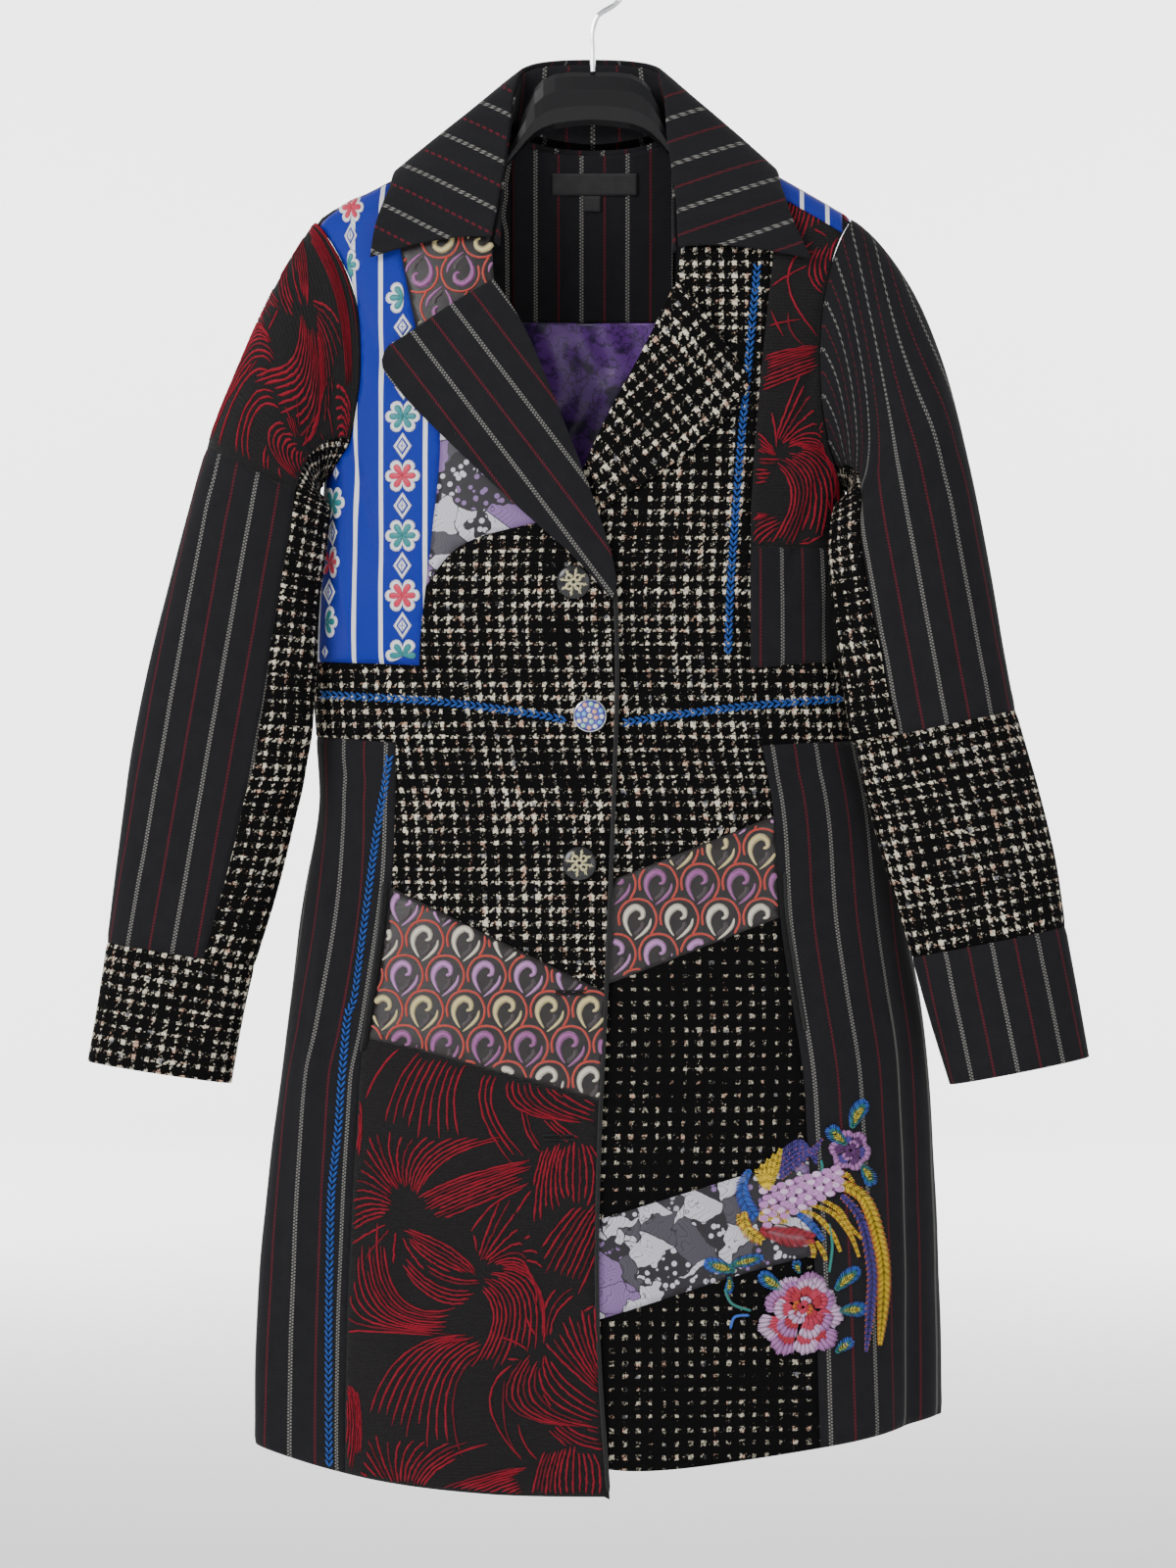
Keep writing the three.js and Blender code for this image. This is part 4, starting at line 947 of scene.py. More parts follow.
@dataclass(frozen=True)
class Yarn:
    """Stitching or pile in one colour, twisted and a little glossy."""

    name: str
    color: tuple
    roughness: float = 0.45
    sheen: float = 0.2
    vary: float = 0.35

    def make(self) -> bpy.types.Material:
        """Build the material.

        Returns:
            The material.
        """
        g = Graph(self.name)
        grain = g.object_noise(0.0011, 2)
        dark = tuple(c * (1 - self.vary) for c in self.color[:3]) + (1,)
        g.bump(grain, 0.35, 0.7)
        return g.finish(g.mix(grain, dark, self.color), self.roughness, sheen=self.sheen, specular=0.4)


@dataclass(frozen=True)
class Moulding:
    """Hard plastic with a faint mould grain."""

    name: str
    color: tuple
    roughness: float = 0.32
    shine: float = 0.5

    def make(self) -> bpy.types.Material:
        """Build the material.

        Returns:
            The material.
        """
        g = Graph(self.name)
        grain = g.object_noise(0.0016, 2)
        g.bump(grain, 0.05, 0.4)
        rough = self.roughness + grain * 0.12
        return g.finish(self.color, rough, specular=self.shine)


@dataclass(frozen=True)
class Plating:
    """Bright plated metal with fine drawing marks."""

    name: str = "plating"
    color: tuple = (0.62, 0.63, 0.65, 1)
    roughness: float = 0.16

    def make(self) -> bpy.types.Material:
        """Build the material.

        Returns:
            The material.
        """
        g = Graph(self.name)
        mark = g.object_noise(0.0008, 3)
        g.bump(mark, 0.03, 0.3)
        return g.finish(self.color, self.roughness + mark * 0.1, metallic=1.0)


SLOT_OF = {"pinstripe": "pinstripe_wool", "tweed": "tweed_boucle", "tweed_dark": "tweed_boucle",
           "plume_ground": "plume_boucle", "paisley_ground": "paisley_satin", "print_ground": "blossom_print",
           "braid": "blue_braid", "lining": "lining_satin", "label_tape": "woven_label"}


class Cloths:
    """Every finish of the coat, each made once."""

    def __init__(self) -> None:
        """Start with nothing made."""
        self.made: dict[str, bpy.types.Material] = {}
        self.finishes = {finish.name: finish for finish in (
            Pinstripe(), Tweed(), Tweed(name="tweed_dark", light=0.82, cream=(0.50, 0.46, 0.36, 1)),
            PlumeGround(), PrintedSatin(), Braid(),
            Satin("paisley_ground", (0.016, 0.012, 0.012, 1), (0.007, 0.005, 0.006, 1), rib=0.8,
                  roughness=0.4),
            BlossomPrint(),
            Satin("label_tape", (0.010, 0.010, 0.011, 1), (0.016, 0.016, 0.018, 1), rib=0.9, roughness=0.75),
            Moulding("hanger_black", (0.0035, 0.0035, 0.0045, 1), 0.34, 0.3),
            Moulding("button_black", (0.008, 0.008, 0.010, 1), 0.2),
            Plating(),
        )}

    def get(self, name: str) -> bpy.types.Material:
        """Return a finish's material, making it the first time.

        Args:
            name: The finish's name.

        Returns:
            The material.
        """
        if name not in self.made:
            self.made[name] = self.finishes[name].make()
        return self.made[name]

    def yarn(self, name: str, color: tuple, **options: float) -> bpy.types.Material:
        """Return a yarn of one colour, making it the first time.

        Args:
            name: The yarn's name.
            color: Its colour.
            **options: Its other fields.

        Returns:
            The material.
        """
        if name not in self.made:
            self.made[name] = Yarn(name, color, **options).make()
        return self.made[name]


CLOTHS = Cloths()


def make_mesh(name: str, verts: Sequence[Vector], faces: Sequence[Sequence[int]],
              uvs: Sequence[Pair] | None, materials: Sequence[bpy.types.Material],
              slots: Sequence[int] | None = None) -> bpy.types.Object:
    """Make a smooth-shaded object from points in millimetres.

    Args:
        name: The object's name.
        verts: The points.
        faces: The faces, as indices of points.
        uvs: A length pair for each point, in millimetres, or None.
        materials: The object's materials.
        slots: The material of each face, or None for the first.

    Returns:
        The new object.
    """
    mesh = bpy.data.meshes.new(name)
    mesh.from_pydata([to_scene(v) for v in verts], [], [list(f) for f in faces])
    if uvs is not None:
        layer = mesh.uv_layers.new(name="cloth")
        for loop in mesh.loops:
            u, v = uvs[loop.vertex_index]
            layer.data[loop.index].uv = (u * MM, v * MM)
    for material in materials:
        mesh.materials.append(material)
    if slots is not None:
        mesh.polygons.foreach_set("material_index", list(slots))
    mesh.polygons.foreach_set("use_smooth", [True] * len(mesh.polygons))
    mesh.update()
    obj = bpy.data.objects.new(name, mesh)
    bpy.context.scene.collection.objects.link(obj)
    return obj


def dress(obj: bpy.types.Object, slot: str, nodes: Iterable[str] = ()) -> bpy.types.Object:
    """Tie a piece to the coat's body, and hide the nodes that it stands for.

    Args:
        obj: The piece.
        slot: Its material slot in the record; not used.
        nodes: The nodes that it stands for.

    Returns:
        The same piece.
    """
    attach(obj, "root")
    if nodes:
        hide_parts(*nodes)
    LOG.info("%s: %d faces", obj.name, len(obj.data.polygons))
    return obj


def sheet_area(obj: bpy.types.Object) -> float:
    """Flat area of a walled piece of cloth, in square metres: half of all its faces."""
    return sum(p.area for p in obj.data.polygons) / 2


def declare_sheet(obj: bpy.types.Object, flat: Pair) -> None:
    """Work out a piece of cloth's flat size, grown to hold its area as measured on the model; the result is
    not kept.

    The size grows where its box couldn't hold that area, so the area is no proof that the size is right.

    Args:
        obj: The cloth.
        flat: The cut's width and length, in millimetres.
    """
    width, length = flat[0] * MM, flat[1] * MM
    area = sheet_area(obj)
    grown = math.sqrt(max(area / (width * length), 1.0)) * 1.01
    width, length = width * grown, length * grown


@dataclass
class Wall:
    """One wall of the coat's body, cut along its seams into patches."""

    start: Callable[[float], float]
    end: Callable[[float], float]
    hem: Table
    seams: dict[str, list[Pair]]
    inset: Callable[[float], float]
    keep_out: Callable[[float, float], bool]
    edges: list[list[Pair]]
    back: bool = False

    def chart(self, x: float, drop: float) -> Pair:
        """Chart place of a point given by its x."""
        turn = Skin.turn(x, drop)
        return ((180 - turn if self.back else turn) * TURN_SCALE, drop)

    def cut(self) -> None:
        """Cut the wall into patches, kept as points and groups of faces."""
        lines: list[list[Pair]] = []
        foot_drop = ROWS_END + 25
        drops = [NECK_DROP + 1 + (foot_drop - NECK_DROP) * i / 180 for i in range(181)]
        sides = [[(self.start(d) * TURN_SCALE, d) for d in drops],
                 [(self.end(d) * TURN_SCALE, d) for d in drops]]
        lines += sides
        lines.append([(lerp(sides[0][0][0], sides[1][0][0], i / 40), drops[0]) for i in range(41)])
        foot = []
        for i in range(81):
            turn = lerp(self.start(1000), self.end(1000), i / 80)
            foot.append((turn * TURN_SCALE, self.hem.read("drop", Skin.raw(turn, 1000).x)))
        lines.append(foot)
        for seam in self.seams.values():
            run = []
            for x, d in smooth_run(seam, 5.0):
                middle, half, _, _ = Skin.section(d)
                if abs(x - middle) <= half:
                    run.append(self.chart(x, d))
                    continue
                side = 1 if x > middle else -1
                reach = 90 + min((abs(x - middle) - half) * 0.4, 12)
                run.append(((180 - side * reach if self.back else side * reach) * TURN_SCALE, d))
            lines.append(run)
        lines += self.edges
        points: list[Vector] = []
        links: list[tuple[int, int]] = []
        for line in lines:
            first = len(points)
            points += [Vector(p) for p in line]
            links += [(first + i, first + i + 1) for i in range(len(line) - 1)]
        tree = KDTree(len(points))
        for i, p in enumerate(points):
            tree.insert((p.x, p.y, 0), i)
        tree.balance()
        low = min(p[0] for p in sides[0] + sides[1])
        high = max(p[0] for p in sides[0] + sides[1])
        row, d = 0, NECK_DROP + 3
        while d < foot_drop:
            s = low + (CELL / 2 if row % 2 else 0)
            while s < high:
                if tree.find((s, d, 0))[2] > CLEAR_SHARE * CELL:
                    points.append(Vector((s, d)))
                s += CELL
            row, d = row + 1, d + CELL * ROW_SHARE
        verts, edges, faces, _, edge_from, _ = delaunay_2d_cdt(points, links, [], 0, 1e-4)
        fixed = {tuple(sorted(e)) for e, source in zip(edges, edge_from) if source}
        kept = []
        for face in faces:
            s = sum(verts[i].x for i in face) / len(face)
            d = sum(verts[i].y for i in face) / len(face)
            turn = s / TURN_SCALE
            if not self.start(d) < turn < self.end(d) or d < NECK_DROP + 1:
                continue
            x = Skin.raw(turn, d).x
            if d > self.hem.read("drop", Skin.raw(turn, 1000).x) or self.keep_out(x, d):
                continue
            kept.append(tuple(face))
        self._name_patches(verts, kept, fixed)

    def _name_patches(self, verts: list, kept: list, fixed: set) -> None:
        """Group the kept faces into patches that no seam crosses.

        Args:
            verts: The chart's points.
            kept: The wall's faces.
            fixed: The edges that lie on a seam.
        """
        by_edge: dict[tuple, list[int]] = {}
        for index, face in enumerate(kept):
            for k in range(3):
                key = tuple(sorted((face[k], face[(k + 1) % 3])))
                by_edge.setdefault(key, []).append(index)
        near: list[list[int]] = [[] for _ in kept]
        for key, users in by_edge.items():
            if len(users) == 2 and key not in fixed:
                near[users[0]].append(users[1])
                near[users[1]].append(users[0])
        seen = [False] * len(kept)
        self.groups = []
        for start in range(len(kept)):
            if seen[start]:
                continue
            stack, group = [start], []
            seen[start] = True
            while stack:
                at = stack.pop()
                group.append(kept[at])
                for other in near[at]:
                    if not seen[other]:
                        seen[other] = True
                        stack.append(other)
            self.groups.append(group)
        self.verts = verts

    def patch(self, name: str, x: float, drop: float, finish: str,
              uv: Callable[[float, float], Pair]) -> bpy.types.Object:
        """Make the patch that holds a place.

        Args:
            name: The node that the patch stands for.
            x: A place inside it, seen from the front.
            drop: The place's drop.
            finish: The cloth's finish.
            uv: Gives a weave place in millimetres for a turn and a drop.

        Returns:
            The patch.
        """
        s, d = self.chart(x, drop)

        def holds(face: tuple) -> bool:
            """Say whether a face covers the place.

            Args:
                face: The face's points.

            Returns:
                True if it does.
            """
            a, b, c = (self.verts[i] for i in face)
            signs = [(q.x - p.x) * (d - p.y) - (q.y - p.y) * (s - p.x) > 0
                     for p, q in ((a, b), (b, c), (c, a))]
            return all(signs) or not any(signs)

        group = next(g for g in self.groups if any(holds(face) for face in g))
        index = {v: i for i, v in enumerate(sorted({i for face in group for i in face}))}
        counts: dict[tuple, int] = {}
        for face in group:
            for k in range(3):
                key = tuple(sorted((face[k], face[(k + 1) % 3])))
                counts[key] = counts.get(key, 0) + 1
        rim = {i for key, n in counts.items() if n == 1 for i in key}
        outer, inner, uvs = [], [], []
        for v in index:
            turn, at = self.verts[v].x / TURN_SCALE, self.verts[v].y
            inset = self.inset(Skin.raw(turn, at).x)
            valley = SEAM_VALLEY if v in rim else 0.0
            outer.append(Skin.place(turn, at, inset + valley))
            inner.append(Skin.place(turn, at, inset + CLOTH))
            uvs.append(uv(turn, at))
        faces = []
        size = len(index)
        sample = [index[i] for i in group[0]]
        cross = (outer[sample[1]] - outer[sample[0]]).cross(outer[sample[2]] - outer[sample[0]])
        turn0 = self.verts[group[0][0]].x / TURN_SCALE
        flip = cross.dot(Skin.normal(turn0, self.verts[group[0][0]].y)) < 0
        directed = set()
        for face in group:
            f = [index[i] for i in face]
            if flip:
                f.reverse()
            faces.append(f)
            faces.append([i + size for i in reversed(f)])
            for k in range(3):
                directed.add((f[k], f[(k + 1) % 3]))
        for a, b in sorted(directed):
            if (b, a) not in directed:
                faces.append([b, a, a + size, b + size])
        slots = []
        for face in group:
            slots += [0, 1 if min(self.verts[i].y for i in face) > LINED_BELOW else 0]
        slots += [0] * (len(faces) - len(slots))
        cloths = [CLOTHS.get(finish), CLOTHS.get("lining")]
        obj = make_mesh(name + "_cloth", outer + inner, faces, uvs + uvs, cloths, slots)
        turns = [self.verts[v].x / TURN_SCALE for v in index]
        drops = [self.verts[v].y for v in index]
        middle, length = (min(drops) + max(drops)) / 2, max(drops) - min(drops)
        width = abs(Skin.arc(max(turns), middle) - Skin.arc(min(turns), middle))
        area = sheet_area(obj) / (MM * MM)
        if width * length > WRAPPED_SHARE * area:
            width = MEAN_GROWTH * area / length
        dress(obj, SLOT_OF[finish], [name])
        declare_sheet(obj, (width, length))
        return obj


def side_turn(drop: float) -> float:
    """Turn of the seam between front and back."""
    return lerp(79, 96, smoothstep(200, 360, drop))


def armhole_edge(table: Table, back: bool) -> list[Pair]:
    """Chart line of an armhole seam on the front or on the back.

    Args:
        table: The x at each drop.
        back: Whether it lies on the back.

    Returns:
        The line's places.
    """
    line = []
    first, last = table.keys[0], table.keys[-1]
    for i in range(61):
        drop = lerp(first, last, i / 60)
        turn = Skin.turn(table.read("x", drop), drop)
        line.append(((180 - turn if back else turn) * TURN_SCALE, drop))
    side = 1 if table.read("x", first) > 0 else -1
    far = 180 - side * 60 if back else side * 104
    line.insert(0, (far * TURN_SCALE, first - 4))
    line.append((far * TURN_SCALE, last))
    return line


def in_armhole(x: float, drop: float) -> bool:
    """Say whether a place lies in one of the armholes.

    Args:
        x: Place across the coat, as seen from the front.
        drop: Distance down from the rail.

    Returns:
        True in an armhole.
    """
    if RIGHT_ARMHOLE.keys[0] < drop < RIGHT_ARMHOLE.keys[-1] and x < RIGHT_ARMHOLE.read("x", drop):
        return True
    return LEFT_ARMHOLE.keys[0] < drop < LEFT_ARMHOLE.keys[-1] and x > LEFT_ARMHOLE.read("x", drop)


def opening_table(roll: Sequence[Pair], neck: float) -> Table:
    """Edge of the neck opening as x at each drop."""
    return Table("drop x", [(90, neck), (150, neck * 1.05)] + [(d, x) for x, d in roll])


OVER_OPENING = opening_table(RIGHT_ROLL, -63)
UNDER_OPENING = opening_table([*LEFT_ROLL, (-18, 385), (-32, 436)], 61)


def chart_line(table: Table, first: float, last: float) -> list[Pair]:
    """Chart line of a table of x at each drop.

    Args:
        table: The x at each drop.
        first: Drop of the first place.
        last: Drop of the last place.

    Returns:
        The line's places.
    """
    count = int((last - first) / 4)
    line = []
    for i in range(count + 1):
        drop = lerp(first, last, i / count)
        line.append((Skin.turn(table.read("x", drop), drop) * TURN_SCALE, drop))
    return line


def arc_uv(turn: float, drop: float) -> Pair:
    """Weave place that follows the length round the body."""
    return (Skin.arc(turn, drop), drop)


def seam_uv(seam: Sequence[Pair], shift: float = 0.0) -> Callable[[float, float], Pair]:
    """Weave place whose stripes run beside a seam.

    Args:
        seam: The seam, as x and drop.
        shift: How far the stripes are moved, in millimetres.

    Returns:
        A function of turn and drop.
    """
    table = Table("drop x", [(d, x) for x, d in seam])

    def uv(turn: float, drop: float) -> Pair:
        """Place measured from the seam."""
        return (Skin.arc(turn, drop) - Skin.arc(Skin.turn(table.read("x", drop), drop), drop) + shift, drop)

    return uv


class Fronts:
    """The two fronts and the back, each a wall cut into patches."""

    def build(self) -> None:
        """Build every patch of the body."""
        self.build_over()
        self.build_under()
        self.build_back()

    def build_over(self) -> None:
        """Build the wearer's right front, which laps over."""
        wall = Wall(
            start=lambda d: -side_turn(d),
            end=lambda d: Skin.turn(OVER_EDGE.read("x", d), d),
            hem=OVER_HEM,
            seams=OVER_SEAMS,
            inset=lambda x: 0.0,
            keep_out=lambda x, d: in_armhole(x, d) or (d < OPENING_FOOT and x > OVER_OPENING.read("x", d)),
            edges=[armhole_edge(RIGHT_ARMHOLE, False), chart_line(OVER_OPENING, 118, 440)],
        )
        wall.cut()
        rows = [
            ("right_shoulder_braid", -150, 400, "braid", seam_uv([(-129, 150), (-129, 500)])),
            ("right_chest_paisley", -90, 230, "paisley_ground", arc_uv),
            ("right_chest_print", -80, 340, "print_ground", arc_uv),
            ("right_bust_tweed", -60, 450, "tweed", arc_uv),
            ("right_waistband", -60, 520, "tweed", arc_uv),
            ("right_skirt_side", -185, 900, "pinstripe", seam_uv(OVER_SEAMS["side"], 7)),
            ("right_skirt_tweed", -60, 600, "tweed", arc_uv),
            ("right_skirt_paisley", -60, 720, "paisley_ground", arc_uv),
            ("right_skirt_plume", -60, 900, "plume_ground", arc_uv),
        ]
        for row in rows:
            wall.patch(*row)

    def build_under(self) -> None:
        """Build the wearer's left front, which lies under."""
        wall = Wall(
            start=lambda d: Skin.turn(-FRONT_LAP, d),
            end=side_turn,
            hem=UNDER_HEM,
            seams=UNDER_SEAMS,
            inset=under_inset,
            keep_out=lambda x, d: in_armhole(x, d) or (d < OPENING_FOOT and x < UNDER_OPENING.read("x", d)),
            edges=[armhole_edge(LEFT_ARMHOLE, False), chart_line(UNDER_OPENING, 118, 440)],
        )
        wall.cut()
        rows = [
            ("left_chest_plume", 130, 350, "plume_ground", arc_uv),
            ("left_waist_stripe", 130, 450, "pinstripe", seam_uv([(107, 400), (107, 500)], 9)),
            ("left_bust_tweed", 60, 450, "tweed", arc_uv),
            ("left_waistband", 60, 520, "tweed", arc_uv),
            ("left_skirt_side", 180, 900, "pinstripe", seam_uv(UNDER_SEAMS["side"], -7)),
            ("left_skirt_tweed_upper", 60, 580, "tweed", arc_uv),
            ("left_skirt_paisley", 60, 650, "paisley_ground", arc_uv),
            ("left_skirt_tweed_middle", 60, 760, "tweed_dark", arc_uv),
            ("left_skirt_print", 60, 880, "print_ground", arc_uv),
            ("left_skirt_tweed_hem", 60, 980, "tweed_dark", arc_uv),
        ]
        for row in rows:
            wall.patch(*row)

    def build_back(self) -> None:
        """Build the back, finished plainly in the same cloths."""
        neck = Table("x drop",
                     [(-64, 90), (-59, 119), (-44, 127), (-20, 132), (20, 132), (44, 127), (59, 119),
                      (64, 90)])
        neck_line = []
        for i in range(41):
            x = lerp(-58.5, 58.5, i / 40)
            drop = max(neck.read("drop", x), NECK_DROP + 0.5)
            neck_line.append(((180 - Skin.turn(x, drop)) * TURN_SCALE, drop))
        wall = Wall(
            start=side_turn,
            end=lambda d: 360 - side_turn(d),
            hem=BACK_HEM,
            seams=BACK_SEAMS,
            inset=lambda x: 0.0,
            keep_out=lambda x, d: in_armhole(x, d) or (abs(x) < 59 and d < neck.read("drop", x)),
            edges=[armhole_edge(RIGHT_ARMHOLE, True), armhole_edge(LEFT_ARMHOLE, True), neck_line],
            back=True,
        )
        wall.cut()

        def back_uv(turn: float, drop: float) -> Pair:
            """Weave place measured from the middle of the back.

            Args:
                turn: Degrees round the body, 0 in front and 180 behind.
                drop: Distance down from the rail.

            Returns:
                The weave place.
            """
            signed = turn - 180
            half = Skin.arc(180, drop)
            return (math.copysign(half - abs(Skin.arc(turn, drop)), signed) + 8, drop)

        rows = [
            ("back_yoke", 0, 200, "pinstripe", back_uv),
            ("left_shoulder_braid", 142, 205, "braid", lambda t, d: (d * 1.0, Skin.arc(t, d))),
            ("back_bodice_right", -80, 400, "pinstripe", back_uv),
            ("back_bodice_left", 80, 400, "pinstripe", back_uv),
            ("back_waistband", 0, 520, "tweed", back_uv),
            ("back_skirt_right", -80, 800, "pinstripe", back_uv),
            ("back_skirt_left", 80, 800, "pinstripe", back_uv),
        ]
        for row in rows:
            wall.patch(*row)


def grid_normals(grid: list[list[Vector]], round_grid: bool) -> list[list[Vector]]:
    """Directions away from a grid of points, one for each point.

    Args:
        grid: Rows of points.
        round_grid: Whether the rows close on themselves.

    Returns:
        Rows of directions.
    """
    rows, columns = len(grid), len(grid[0])
    normals = []
    for i, row in enumerate(grid):
        line = []
        for j in range(columns):
            up, down = grid[max(i - 1, 0)][j], grid[min(i + 1, rows - 1)][j]
            if round_grid:
                before, after = row[(j - 1) % columns], row[(j + 1) % columns]
            else:
                before, after = row[max(j - 1, 0)], row[min(j + 1, columns - 1)]
            line.append((down - up).cross(after - before).normalized())
        normals.append(line)
    return normals


def grid_shell(name: str, outer: list[list[Vector]], inner: list[list[Vector]], uvs: list[list[Pair]],
               finish: str, round_grid: bool = False) -> bpy.types.Object:
    """Close an outer and an inner grid of points into one wall.

    Args:
        name: The object's name.
        outer: Rows of outer points.
        inner: Rows of inner points.
        uvs: Rows of weave places.
        finish: The cloth's finish.
        round_grid: Whether the rows close on themselves; their weave places then have one column more.

    Returns:
        The wall.
    """
    rows, columns = len(outer), len(outer[0])
    verts = [p for grid in (outer, inner) for row in grid for p in row]
    faces: list[list[int]] = []
    corners: list[list[Pair]] = []

    def at(layer: int, i: int, j: int) -> int:
        """Index of a point."""
        return (layer * rows + i) * columns + j % columns

    def quad(*marks: tuple[int, int, int]) -> None:
        """Add a face of four marks: layer, row and column."""
        faces.append([at(*m) for m in marks])
        corners.append([uvs[m[1]][m[2]] for m in marks])

    spans = columns if round_grid else columns - 1
    for i in range(rows - 1):
        for j in range(spans):
            quad((0, i, j), (0, i + 1, j), (0, i + 1, j + 1), (0, i, j + 1))
            quad((1, i, j), (1, i, j + 1), (1, i + 1, j + 1), (1, i + 1, j))
    for j in range(spans):
        quad((0, 0, j), (0, 0, j + 1), (1, 0, j + 1), (1, 0, j))
        quad((0, rows - 1, j), (1, rows - 1, j), (1, rows - 1, j + 1), (0, rows - 1, j + 1))
    if not round_grid:
        for i in range(rows - 1):
            quad((0, i, 0), (1, i, 0), (1, i + 1, 0), (0, i + 1, 0))
            quad((0, i, columns - 1), (0, i + 1, columns - 1), (1, i + 1, columns - 1), (1, i, columns - 1))
    obj = make_mesh(name, verts, faces, None, [CLOTHS.get(finish)])
    layer = obj.data.uv_layers.new(name="cloth")
    for polygon, places in zip(obj.data.polygons, corners):
        for loop, (u, v) in zip(polygon.loop_indices, places):
            layer.data[loop].uv = (u * MM, v * MM)
    face_out(obj)
    return obj


def face_out(obj: bpy.types.Object) -> None:
    """Turn a closed mesh's faces outward where they point in.

    Args:
        obj: The piece.
    """
    work = bmesh.new()
    work.from_mesh(obj.data)
    if work.calc_volume(signed=True) < 0:
        bmesh.ops.reverse_faces(work, faces=work.faces)
    work.to_mesh(obj.data)
    work.free()


def round_edges(obj: bpy.types.Object, width: float) -> None:
    """Round a wall's sharp rims with a small bevel, in millimetres.

    Args:
        obj: The piece.
        width: The bevel's width.
    """
    bevel = obj.modifiers.new("rim", "BEVEL")
    bevel.width = width * MM
    bevel.segments = 2
    bevel.limit_method = "ANGLE"
    bevel.angle_limit = math.radians(55)
    bpy.ops.object.select_all(action="DESELECT")
    bpy.context.view_layer.objects.active = obj
    obj.select_set(True)
    bpy.ops.object.modifier_apply(modifier=bevel.name)
    obj.data.polygons.foreach_set("use_smooth", [True] * len(obj.data.polygons))


